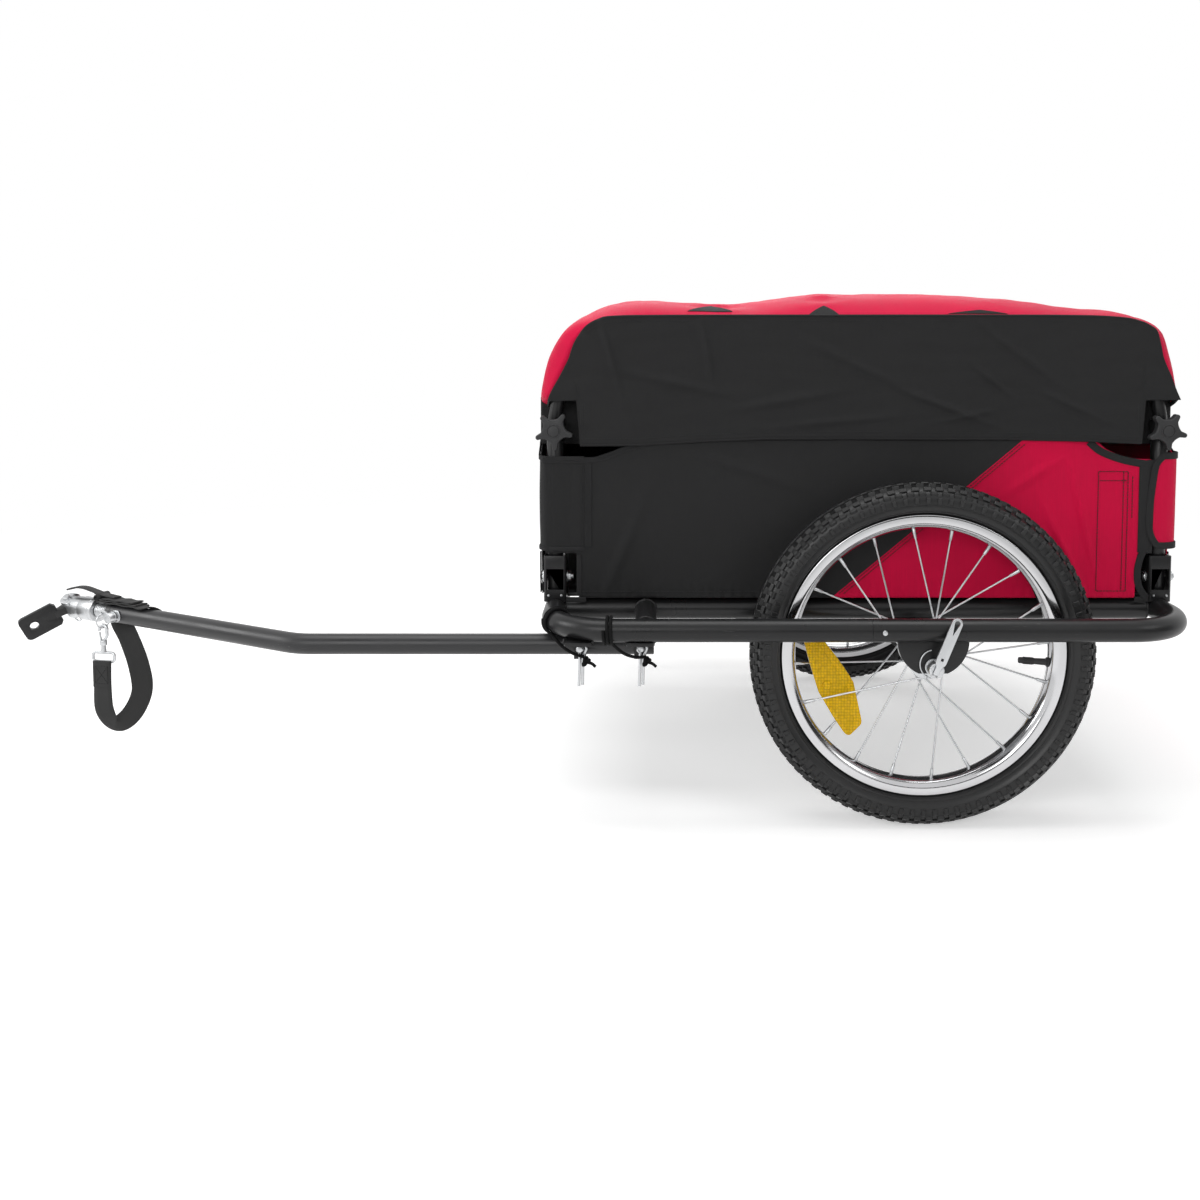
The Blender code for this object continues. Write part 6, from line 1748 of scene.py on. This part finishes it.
class TRAILER_OT_cover(bpy.types.Operator):
    """Build the fabric cover: its crowned top with the end flaps, and the two skirts"""

    bl_idname = "trailer.cover"
    bl_label = "Cover"

    # X, Y, half width and height of the soft dimples in the top
    DIMPLES = ((0.167, -0.2, 0.03, 0.003), (0.296, -0.2, 0.016, 0.0022), (0.5, 0.05, 0.05, 0.002))
    # First and last X, start in Y and reach over the top of each black patch
    FOLDS = ((0.135, 0.187, 0.2412, 0.024), (0.274, 0.309, 0.2526, 0.017), (0.435, 0.503, 0.25, 0.0055))

    def execute(self, context):
        top = wear(self.top(), "red cloth", "cover", "cover")
        binding = wear(joined("cover_binding", *self.seams(), *self.edging()), "binding", "cover")
        corners = wear(self.gussets(), "black cloth", "cover")
        cut_from(top, (0.52, 1.04), "stretched", [f"upper_hoop_{name}" for name in SIDES], [binding])
        for name, side in SIDES.items():
            skirt = wear(self.skirt(name, side), "black cloth", "cover", "cover")
            cut_from(skirt, (0.155, 0.735), "hung", [top.name], [corners] if side < 0 else [])
        return {"FINISHED"}

    def top(self):
        ridge = flowing([Vector((x, 0.0, z)) for x, z in RIDGE], 6)
        ridge_shares, length = lengths(ridge)
        low_front = mm(-36.8, 420, -35, 432.5, -31.5, 456, -29, 470)
        low_rear = mm(703.5, 470, 704, 456, 704.8, 432.5, 706, 420)
        seam = flowing([Vector((x, 0.0, z)) for x, z in low_front + SEAM + low_rear], 6)
        seam_shares, _ = lengths(seam)
        middle = 0.3335

        def level(z):
            """0 on the end flaps and 1 on the top."""
            return min(1.0, max(0.0, (z - 0.56) / 0.02))

        def place(u, v):
            w = 2.0 * v - 1.0
            crown = along_path(ridge, ridge_shares, u)
            side = along_path(seam, seam_shares, u)
            rise = 1.0 - abs(w) ** (7 + 21 * (1.0 - level(crown.z)))
            spot = side.lerp(crown, rise)
            y = (0.2522 - tucked(spot.z)) * w
            flat = level(spot.z)
            fold = 0.0016 * lumps((spot.x, y * 0.5, 0.0), 9.0) + 0.001 * lumps((spot.x * 1.5, y, 1.0), 26.0)
            crease = 0.0
            for x0, y0, wide, deep in self.DIMPLES:
                d = math.hypot((spot.x - x0) / wide, (y - y0) / 0.12)
                crease += deep * math.exp(-d * d) * math.sin((y - y0) * 140.0)
            sag = (fold + crease) * flat * rise
            x_wave = 0.0012 * lumps((0.0, y * 1.2, spot.z), 16.0) * (1.0 - flat)
            return (spot.x + math.copysign(x_wave, spot.x - middle), y, spot.z + sag)

        return surface("cover_top", 300, 150, place, (length, 0.52), -0.0009)

    def folds(self):
        """Thin black cloth patches that rise from the near edge of the top onto it."""
        pieces = []
        for x0, x1, start, reach in self.FOLDS:

            def place(u, v, x0=x0, x1=x1, start=start, reach=reach):
                share = min(u / 0.45, (1.0 - u) / 0.55) ** 0.8
                x = x0 + (x1 - x0) * (u + 0.1 * v * share)
                y = -start + reach * v * share
                rise = 1.0 - abs(y / 0.2522) ** 7 if y > -0.2522 else 0.0
                crest = between(x, RIDGE[7:-5])
                return (x, y, 0.5778 + (crest - 0.5778) * rise + 0.0014 + 0.0012 * share * v)

            pieces.append(surface("fold", 40, 14, place, (x1 - x0, reach), -0.0009))
        return pieces

    def gussets(self):
        """The black inner corners of the cover behind the posts, and the black patches at the edge of the top."""
        pieces = self.folds()
        for end, way in ENDS.items():
            for side in SIDES.values():

                def place(u, v, x0=POST_XS[end], way=way, side=side):
                    x = x0 + way * (0.0175 - 0.0725 * u)
                    z = 0.43 + 0.053 * v
                    return (x, side * (0.2262 + 0.0007 * lumps((x, side, z), 30.0)), z)

                pieces.append(surface("gusset", 26, 20, place, (0.0725, 0.053), 0.0009 * side * way))
        return joined("cover_corners", *pieces)

    def skirt(self, name, side):
        edge = flowing([Vector((x, 0.0, z)) for x, z in SEAM], 6)
        table = [(p.x, p.z) for p in edge]
        first, last = table[0][0], table[-1][0]
        notch = 0.4809
        foot = [(first, notch - 0.001), (0.0082, notch), (0.0098, 0.4297)] + HEM[1:-1]
        foot += [(0.6593, 0.4318), (0.6612, notch), (last, notch + 0.0005)]

        def place(u, v):
            x = first + (last - first) * u
            high = between(x, table)
            low = min(between(x, foot), high - 0.0004)
            z = high + (low - high) * v
            return (x, side * skirt_y(x, z), z)

        return surface(f"cover_skirt_{name}", 360, 60, place, (last - first, 0.15), 0.0009 * side)

    def along_skirt(self, side, places, off):
        return [Vector((x, side * (skirt_y(x, z) + off), z)) for x, z in places]

    def seams(self):
        """The stitching of the skirts, and the welt that joins each to the top."""
        hem = [0.012 + 0.645 * k / 120 for k in range(121)]
        rows = [[(x, between(x, HEM) + 0.0075) for x in hem]]
        rows += [straight((x, 0.478), (x, 0.438), 20) for x in (0.014, 0.0165, 0.6535)]
        pieces = []
        for side in SIDES.values():
            pieces += [stitches(self.along_skirt(side, row, 0.0007), (0, side, 0)) for row in rows]
            pieces.append(hose("welt", flowing([Vector((x, side * 0.2524, z)) for x, z in SEAM], 5), 0.0013, 10))
            under = self.along_skirt(side, [(x, z - 0.006) for x, z in SEAM[7:16]], 0.0007)
            pieces.append(stitches(flowing(under, 8), (0, side, 0)))
        return pieces

    def edging(self):
        """Binding round the hems and the notches."""
        hem = [0.011 + 0.647 * k / 80 for k in range(81)]
        heights = (0.4215, 0.432, 0.44, 0.45, 0.46, 0.468, 0.474, 0.479, 0.483)
        levels = (0.42, 0.4325, 0.456, 0.47, 0.486)
        flaps = {
            "front": list(zip(levels, (-0.0374, -0.0356, -0.0321, -0.0296, -0.0235))),
            "rear": list(zip(levels, (0.7066, 0.7054, 0.7046, 0.7043, 0.7012))),
        }
        pieces = []
        for side in SIDES.values():
            face = (0, side, 0)
            points = self.along_skirt(side, [(x, between(x, HEM) + 0.0006) for x in hem], -0.0002)
            pieces.append(strap("tape", points, face, 0.004, 0.0024))
            for end, way in ENDS.items():
                xs = [POST_XS[end] + way * (0.0172 - 0.0715 * k / 12) for k in range(13)]
                pieces.append(strap("tape", [(x, side * 0.2268, 0.4304) for x in xs], face, 0.005, 0.0024))
                flap = [Vector((between(z, flaps[end]), side * (0.2515 - tucked(z)), z)) for z in heights]
                pieces.append(strap("tape", flowing(flap, 4), (way, 0, 0), 0.0056, 0.0024))
        return pieces


# Drawbar


FORWARD = (BAR_FRONT - BAR_BEND).normalized()
UP = Vector((0, 0, 1))
LEFT = UP.cross(FORWARD).normalized()


def bar_point(back):
    """A point on the drawbar's axis, this far behind its front end."""
    return BAR_FRONT - FORWARD * back


# Where along the trailer the drawbar's sockets and their hitch pins stand
SOCKET_XS = {"front": 0.013, "rear": 0.0805}


class TRAILER_OT_drawbar(bpy.types.Operator):
    """Build the bent drawbar and the two sockets that hold it"""

    bl_idname = "trailer.drawbar"
    bl_label = "Drawbar"

    def execute(self, context):
        corners = [Vector((0.0935, BAR_BEND.y, BAR_Z)), BAR_BEND, BAR_FRONT + FORWARD * -0.0004]
        tube = hose("tube", filleted(corners, [0.06], 4), BAR_R, 40)
        mouth = ring("mouth", BAR_FRONT - FORWARD * 0.0007, FORWARD, BAR_R - 0.0007, 0.0007, 48, 10)
        collar = bar("collar", bar_point(0.0092), bar_point(0.0008), BAR_R + 0.0002, 40, BAR_R + 0.0002, 0.0003)
        plug = bar("plug", (0.0925, BAR_BEND.y, BAR_Z), (0.096, BAR_BEND.y, BAR_Z), BAR_R, 40, edge=0.0012)
        wear(joined("drawbar_tube", tube, mouth, collar, plug), "drawbar", "frame", "drawbar")
        for end, x in SOCKET_XS.items():
            node = f"socket_{end}"
            channel = dressed(node, "channel", 0.0006)
            for way in (-1, 1):
                low = Vector((x + way * 0.0068, -0.326, 0.18))
                high = Vector((x + way * 0.03, BAR_BEND.y - BAR_R + 0.001, 0.2195))
                for deep, top_z in ((high.y, high.z), (-0.27, BAR_Z - BAR_R)):
                    corners = ((low.x, high.x), (low.y, deep), (low.z, top_z))
                    cut_with(channel, block("notch", [min(c) for c in corners], [max(c) for c in corners]))
            parts = [channel]
            for way in (-1, 1):
                foot = [(x + way * 0.0158, -TUBE_HALF + 0.004 * k, 0.2236) for k in range(-1, 3)]
                parts.append(hose("weld", flowing(foot, 5), self.weld_radius, 8))
            wear(joined(f"bar_socket_{end}", *parts), "steel", "frame", node)
        return {"FINISHED"}

    def weld_radius(self, share):
        return 0.0012 + 0.0003 * math.sin(share * 40)


class TRAILER_OT_hitch_pins(bpy.types.Operator):
    """Build the hitch pins with their wire clips"""

    bl_idname = "trailer.hitch_pins"
    bl_label = "Hitch pins"

    def execute(self, context):
        for end, x in SOCKET_XS.items():
            y = BAR_BEND.y
            pin = bar("pin", (x, y + 0.016, BAR_Z), (x, y - 0.024, BAR_Z), 0.004, 28, edge=0.0004)
            tip = bar("tip", (x, y - 0.0236, BAR_Z), (x, y - 0.0266, BAR_Z), 0.0047, 28, 0.0034, 0.0008)
            head = bar("head", (x, y + 0.0155, BAR_Z), (x, y + 0.0188, BAR_Z), 0.0067, 36, 0.0058, 0.0007)
            line = [(-0.0012, -0.0425), (-0.0004, -0.024), (0.0, -0.004)]
            line += arc(0.0036, 0.0062, 0.0036, 180, -23, 11)
            line += mm(7.2, 0, 5.2, -5, 3.4, -11, 3.4, -24, 3, -41)
            route = [Vector((x + dx, -0.3188, BAR_Z + dz)) for dx, dz in line]
            clip = hose("clip", flowing(route, 5), 0.00165, 14)
            wear(joined(f"pin_with_clip_{end}", pin, tip, head, clip), "zinc", "frame", f"hitch_pin_{end}")
        return {"FINISHED"}


class TRAILER_OT_lanyards(bpy.types.Operator):
    """Build the cords that tie the hitch pins to the outer tube, with their knots"""

    bl_idname = "trailer.lanyards"
    bl_label = "Lanyards"

    def execute(self, context):
        for end, wrap_x in (("front", -0.0135), ("rear", 0.046)):
            path = self.path(SOCKET_XS[end], wrap_x)
            radius = sizes().cord / 2
            cord = hose(f"cord_{end}", path, radius, 14)
            wear(cord, "cord", "frame", f"lanyard_{end}")
            low = path[-1]
            knot = self.knot(low + Vector((0.002, -0.0006, -0.0048)))
            tail = [(0.0045, -0.001, -0.006), (0.0085, -0.002, -0.007), (0.0125, -0.0015, -0.0105)]
            tail = hose("tail", flowing([low + Vector(spot) for spot in tail], 6), radius * 0.96, 12)
            knots = wear(joined(f"knots_{end}", knot, tail), "cord", "frame")
            _, length = lengths(path)
            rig.cord(
                cord,
                exit=tuple(path[0]),
                length=length,
                diameter=2 * radius,
                far_end="knot",
                stiffness="limp",
                lay="hanging",
                path=[tuple(p) for p in path],
                with_pieces=[knots],
            )
        return {"FINISHED"}

    def path(self, x, wrap_x):
        """Once round the outer tube and a bit more, then down to the clip."""
        corner = 0.07
        middle = Vector((FRONT_X + corner, -TUBE_HALF + corner, TUBE_Z))
        if wrap_x >= middle.x:
            middle, forward = Vector((wrap_x, -TUBE_HALF, TUBE_Z)), Vector((-1, 0, 0))
        else:
            away = math.acos((middle.x - wrap_x) / corner)
            middle = middle + Vector((-math.cos(away), -math.sin(away), 0)) * corner
            forward = Vector((-math.sin(away), math.cos(away), 0))
        outward = forward.cross(UP)
        if outward.y > 0:
            outward = -outward
        radius = TUBE_LOOK + sizes().cord / 2 + 0.0002
        points = []
        count = 100
        for i in range(count + 1):
            a = math.radians(373 - 790 * i / count)
            drift = 0.0041 * (i / count - 0.5) * 790 / 360
            points.append(middle - forward * drift + (outward * math.cos(a) + UP * math.sin(a)) * radius)
        last = Vector((x + 0.0052, -0.323, BAR_Z - 0.0085))
        first = points[-1]
        lead = [points[-4], first, first.lerp(last, 0.35) + Vector((0, -0.002, -0.005))]
        lead += [first.lerp(last, 0.7) + Vector((0, -0.002, -0.004)), last]
        return points[:-1] + flowing(lead, 6)[6:]

    def knot(self, centre):
        """A trefoil knot, drawn tight."""
        line = []
        for k in range(60):
            t = math.tau * k / 60
            x = math.sin(t) + 2 * math.sin(2 * t)
            line.append(0.0013 * Vector((x, 1.2 * math.sin(3 * t), math.cos(t) - 2 * math.cos(2 * t))))
        tie = hose("knot", line, sizes().cord / 2 * 0.98, 12, closed=True)
        turn = Matrix.Rotation(math.radians(35), 4, "Y") @ Matrix.Diagonal((0.85, 0.8, 1.25, 1.0))
        return placed(tie, Matrix.Translation(centre) @ turn)


# Coupling


def coupling_place():
    """A matrix at the drawbar's front end: X forward along it, Z up but rolled to the left."""
    up = max((Matrix.Rotation(math.radians(a), 3, FORWARD) @ UP for a in (30, -30)), key=lambda up: up.dot(LEFT))
    turn = Matrix((FORWARD, up.cross(FORWARD), up)).transposed().to_4x4()
    return Matrix.Translation(BAR_FRONT) @ turn


def lathed(name, profile, steps=48):
    """A (radius, x) section turned round the X axis."""
    return placed(spun(name, profile, steps, (0, 0, 0)), Matrix.Rotation(math.radians(-90), 4, "Z"))


FORK_X = 0.078


class TRAILER_OT_coupling(bpy.types.Operator):
    """Build the sprung coupling: the coil, the sleeve with its fork, the pin and the hitch plate"""

    bl_idname = "trailer.coupling"
    bl_label = "Coupling"

    def execute(self, context):
        place = coupling_place()
        wear(placed(self.coil(), place), "spring", "spring", "coupling_spring")
        wear(placed(self.sleeve(), place), "zinc", "coupling", "coupling_sleeve")
        wear(placed(self.pin(), place), "zinc", "coupling", "coupling_pin")
        wear(self.hitch(place), "steel", "hitch", "hitch_plate")
        return {"FINISHED"}

    def coil(self):
        core = bar("core", (-0.01, 0, 0), (0.034, 0, 0), 0.0072, 32, edge=0.0005)
        turns = 6.5
        line = []
        for k in range(int(turns * 26) + 1):
            share = k / (turns * 26)
            a = math.tau * turns * share
            line.append(Vector((0.0018 + 0.0203 * share, 0.0083 * math.cos(a), 0.0083 * math.sin(a))))
        return joined("coupling_coil", hose("coil", line, 0.0015, 12), core)

    def sleeve(self):
        section = mm(
            8.8, 23.3, 14.3, 23.3, 14.9, 23.8, 15, 24.4, 15, 29, 14.6, 29.4, 14.6, 30.4, 15, 30.8, 15, 48.8,
            14.6, 49.6, 13.9, 50.3, 13.8, 51.2, 13.8, 69, 13.4, 70, 12.6, 70.3, 0, 70.3, 0, 33, 8.8, 33
        )
        body = lathed("body", section, 56)
        outline = [(0.0655, -0.01), *arc(FORK_X, 0.0, 0.01, -90, 15, 13), (0.0655, 0.01)]
        cheeks = []
        for way in (-1, 1):
            cheek = plate("cheek", outline, 0.0073, 0.0007)
            cheeks.append(placed(cheek, Matrix.Translation((0, 0, way * 0.00885))))
            cheeks.append(ring("boss", (FORK_X, 0, way * 0.0124), (0, 0, 1), 0.0046, 0.0005, 32, 8))
        return joined("swivel_sleeve", body, *cheeks)

    def pin(self):
        rod = bar("rod", (FORK_X, 0, -0.0186), (FORK_X, 0, 0.0132), 0.003, 28, edge=0.0005)
        head = bar("head", (FORK_X, 0, 0.0128), (FORK_X, 0, 0.0161), 0.0052, 36, 0.0046, 0.0006)
        eyes = [(FORK_X + 0.0045, y, -0.0213) for y in (-0.0006, 0.0006)]
        loops = [ring("loop", eye, (0, 1, 0), 0.0062, 0.0006, 40, 8) for eye in eyes]
        return joined("fork_pin", rod, head, *loops)

    def hitch(self, place):
        piece = dressed("hitch_plate", "axle_plate", 0.0007)
        fork = place @ Matrix.Translation((FORK_X, 0, 0))
        spot = min((fork @ Matrix.Rotation(math.radians(a), 4, "Z") for a in (60, -60)), key=lambda m: m.col[0].y)
        rims = [ring("rim", (0.049, way * 0.0025, 0), (0, 1, 0), 0.006, 0.0005, 40, 8) for way in (-1, 1)]
        return joined("axle_plate", piece, *(placed(rim, spot) for rim in rims))


# Safety strap


def eye_place():
    """A matrix on the drawbar where the strap's eye is: X back along it, Y up, Z out of its left side."""
    turn = Matrix((-FORWARD, FORWARD.cross(LEFT), LEFT)).transposed().to_4x4()
    return Matrix.Translation(bar_point(0.024)) @ turn


RING_CENTRE = Vector((-0.0115, -0.0047, 0.0227))


def hook_place():
    """A matrix at the top of the snap hook: Z up, X across the strap."""
    top = eye_place() @ (RING_CENTRE + Vector((0, -0.0036, 0)))
    return Matrix.Translation(top) @ Matrix.Rotation(math.radians(-12), 4, "Z")


class TRAILER_OT_strap_hardware(bpy.types.Operator):
    """Build the strap's eye, its split ring and the snap hook with its gate"""

    bl_idname = "trailer.strap_hardware"
    bl_label = "Strap hardware"

    def execute(self, context):
        wear(self.eye(), "zinc", "frame", "strap_eye")
        wear(self.ring(), "zinc", "frame", "split_ring")
        hook, gate = self.hook()
        wear(hook, "zinc", "frame", "snap_hook")
        wear(gate, "spring", "gate", "snap_gate")
        return {"FINISHED"}

    def eye(self):
        place = eye_place()
        ear = dressed("strap_eye", "ear", 0.0004)
        groove = placed(ring("groove", (0, 0, 0.0178), (0, 0, 1), 0.0064, 0.0004, 40, 8), place)
        recess = placed(ring("recess", (0, 0, 0.0254), (0, 0, 1), 0.0036, 0.0006, 32, 8), place)
        washer = placed(bar("washer", (0, 0, 0.0117), (0, 0, 0.013), 0.0078, 32, edge=0.0004), place)
        return joined("strap_eye_bolt", ear, groove, recess, washer)

    def ring(self):
        line = []
        for k in range(91):
            share = k / 90
            a = math.tau * 1.86 * share
            y, z = 0.0092 * math.cos(a), 0.0092 * math.sin(a)
            line.append(RING_CENTRE + Vector((0.0007 - 0.0014 * share, y, z)))
        return placed(hose("wire_ring", line, 0.0007, 10), eye_place())

    def hook(self):
        place = hook_place()
        r = 0.0052
        path = arc(0.0, -r - 0.0021, r, 205, -15, 16)
        path += [(r, -0.012), (r * 0.9, -0.0165), (0.0, -0.0222), (0, -0.025)]

        def thickness(share):
            return 0.0017 + 0.0005 * math.sin(math.pi * min(1.0, share * 1.2 + 0.1))

        bow = hose("bow", flowing([(x, 0, z) for x, z in path], 3), thickness, 16)
        swivel = bar("swivel", (0, 0, -0.0206), (0, 0, -0.0272), 0.0042, 28, edge=0.0007)
        neck = bar("neck", (0, 0, -0.027), (0, 0, -0.0352), 0.0026, 24, 0.0034)
        top, foot, half = -0.0365, -0.0475, 0.0147
        corners = [(0, top), (-half, top), (-half, foot), (half, foot), (half, top), (0, top)]
        path = filleted([(x, 0, z) for x, z in corners], [0.0036] * 4, 12)
        loop = hose("loop", path[:-1], 0.0018, 14, closed=True)
        snap = placed(joined("snap_hook_body", bow, swivel, neck, loop), place)
        tongue = [Vector((-0.003, 0, -0.0208)), Vector((-0.0042, 0, -0.016)), Vector((-0.0049, 0, -0.011))]
        gate = placed(hose("hook_gate", flowing(tongue, 6), 0.0012, 12), place)
        return snap, gate


class TRAILER_OT_straps(bpy.types.Operator):
    """Build the safety strap and the strap over the coupling"""

    bl_idname = "trailer.straps"
    bl_label = "Straps"

    # Pitch, length and radius of the straps' stitches
    FINE = (0.003, 0.0022, 0.00035)

    def execute(self, context):
        wear(self.safety(), "webbing", "frame", "safety_strap")
        wear(self.over_coupling(), "webbing", "frame", "coupling_strap")
        return {"FINISHED"}

    def safety(self):
        place = hook_place()
        start = place @ Vector((0, -0.0033, -0.046))
        face = place.to_3x3() @ Vector((0, -1, 0))
        behind = bar_point(0.01) - LEFT * 0.014
        # From the hook down, round the loop and up to the drawbar: steps from the start, with the strap's face
        loop = [
            ((0.0, 0.0, 0.0), face),
            ((0.0, -0.001, -0.0338), face),
            ((0.0014, 0.0, -0.063), (-0.1, -1.0, -0.15)),
            ((0.0128, 0.003, -0.081), (-0.2, -0.9, -0.45)),
            ((0.0306, 0.009, -0.07), (0.15, -0.95, -0.3)),
            ((0.0425, 0.014, -0.042), (0.45, -0.85, 0.0)),
            ((0.037, 0.019, -0.01), (0.25, -0.95, 0.1)),
            ((0.0225, 0.027, 0.022), (0.05, -1.0, 0.15)),
        ]
        route = [start + Vector(step) for step, _ in loop]
        route += [
            Vector((start.x + 0.01, behind.y - 0.004, start.z + 0.045)),
            Vector((behind.x + 0.002, behind.y, BAR_Z - 0.004)),
            Vector((behind.x, behind.y - 0.002, BAR_Z + 0.0085)),
            bar_point(0.01) + UP * 0.0131,
        ]
        ways = [Vector(way) for _, way in loop] + [Vector((0, -1.0, 0.2)), LEFT, LEFT - UP, -UP]
        points = flowing(route, 14)
        normals = flowing(ways, 14)
        width = sizes().strap_width
        long = strap("long", points, normals, width, 0.0018)
        layers = []
        for k in range(3):
            first = -0.017 + 0.005 * k
            last = 0.062 - 0.006 * k
            line = []
            for i in range(11):
                lift = 0.0134 + 0.0021 * k + 0.0005 * math.sin(1.7 * i + 2.0 * k)
                line.append(bar_point(first + (last - first) * i / 10) + UP * lift)
            faces = [UP] * 11
            if k == 0:
                for back, high, right in ((0.068, 0.0118, 0.0055), (0.071, 0.004, 0.0128), (0.07, -0.006, 0.0136)):
                    line.append(bar_point(back) + UP * high - LEFT * right)
                faces += [UP - LEFT * 0.6, -LEFT + UP * 0.2, -LEFT]
            layers.append(strap("layer", flowing(line, 4), flowing(faces, 4), 0.0205 - 0.0014 * k, 0.0018))
        roll = []
        faces = []
        for k in range(34):
            a = math.radians(-90 + 17 * k)
            out = -FORWARD * math.cos(a) + UP * math.sin(a)
            roll.append(bar_point(-0.018) + UP * 0.0182 + out * (0.0016 + 0.0001 * k))
            faces.append(out)
        layers.append(strap("roll", roll, faces, 0.02, 0.0014))
        fold = [start + face * 0.0019 + Vector((0, 0, -0.0005 - 0.004 * k)) for k in range(9)]
        lap = strap("lap", fold, face, width * 0.98, 0.0017)
        centre = start + face * 0.003 + Vector((0, 0, -0.017))
        across = place.to_3x3() @ Vector((1, 0, 0))
        half_w, half_h = width * 0.36, 0.011
        signs = [(-1, 1), (1, 1), (1, -1), (-1, -1), (-1, 1), (1, -1), (1, 1), (-1, -1)]
        corners = [(a * half_w, b * half_h) for a, b in signs]
        rows = []
        for a, b in zip(corners, corners[1:]):
            line = [centre + across * x + UP * z for x, z in straight(a, b, 8)]
            rows.append(stitches(line, face, *self.FINE))
        return joined("webbing_safety", long, lap, *layers, *rows)

    def over_coupling(self):
        xs = (0.012, 0.0, -0.014, -0.032, -0.05, -0.066, -0.08)
        heights = (0.02, 0.0206, 0.0214, 0.024, 0.0262, 0.025, 0.0211)
        points = flowing([bar_point(back) + UP * height for back, height in zip(xs, heights)], 8)
        row = stitches([p + UP * 0.001 for p in points[:12]], UP, *self.FINE)
        return joined("webbing_coupling", strap("arch", points, UP, 0.012, 0.002), row)


STEPS = (
    TRAILER_OT_stage,
    TRAILER_OT_lanyards,
    TRAILER_OT_frame,
    TRAILER_OT_brackets,
    TRAILER_OT_side_frames,
    TRAILER_OT_knobs,
    TRAILER_OT_box,
    TRAILER_OT_cover,
    TRAILER_OT_wheels,
    TRAILER_OT_reflectors,
    TRAILER_OT_quick_releases,
    TRAILER_OT_drawbar,
    TRAILER_OT_hitch_pins,
    TRAILER_OT_coupling,
    TRAILER_OT_strap_hardware,
    TRAILER_OT_straps,
)


class TRAILER_PT_build(bpy.types.Panel):
    """The steps that build the trailer, with its sizes and colours"""

    bl_idname = "TRAILER_PT_build"
    bl_label = "Cargo trailer"
    bl_space_type = "VIEW_3D"
    bl_region_type = "UI"
    bl_category = "Trailer"

    def draw(self, context):
        layout = self.layout
        scene = context.scene
        for title, group in (("Sizes", scene.trailer_sizes), ("Colours", scene.trailer_colours)):
            box = layout.box()
            box.label(text=title)
            for name in group.__annotations__:
                box.prop(group, name)
        column = layout.column(align=True)
        for step in STEPS:
            column.operator(step.bl_idname)


CLASSES = (TrailerSizes, TrailerColours, *STEPS, TRAILER_PT_build)


def register():
    for made in CLASSES:
        bpy.utils.register_class(made)
    bpy.types.Scene.trailer_sizes = bpy.props.PointerProperty(type=TrailerSizes)
    bpy.types.Scene.trailer_colours = bpy.props.PointerProperty(type=TrailerColours)


def unregister():
    del bpy.types.Scene.trailer_colours
    del bpy.types.Scene.trailer_sizes
    for made in reversed(CLASSES):
        bpy.utils.unregister_class(made)


def as_lists(box):
    """A box as plain lists of numbers."""
    return [[float(x) for x in corner] for corner in box]


def main():
    register()
    for step in STEPS:
        group, name = step.bl_idname.split(".")
        getattr(getattr(bpy.ops, group), name)()
    with open("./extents.json", "w") as sheet:
        json.dump({"cad": as_lists(CAD_BOX), "visual": as_lists(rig.bounds())}, sheet)


if __name__ == "__main__":
    main()
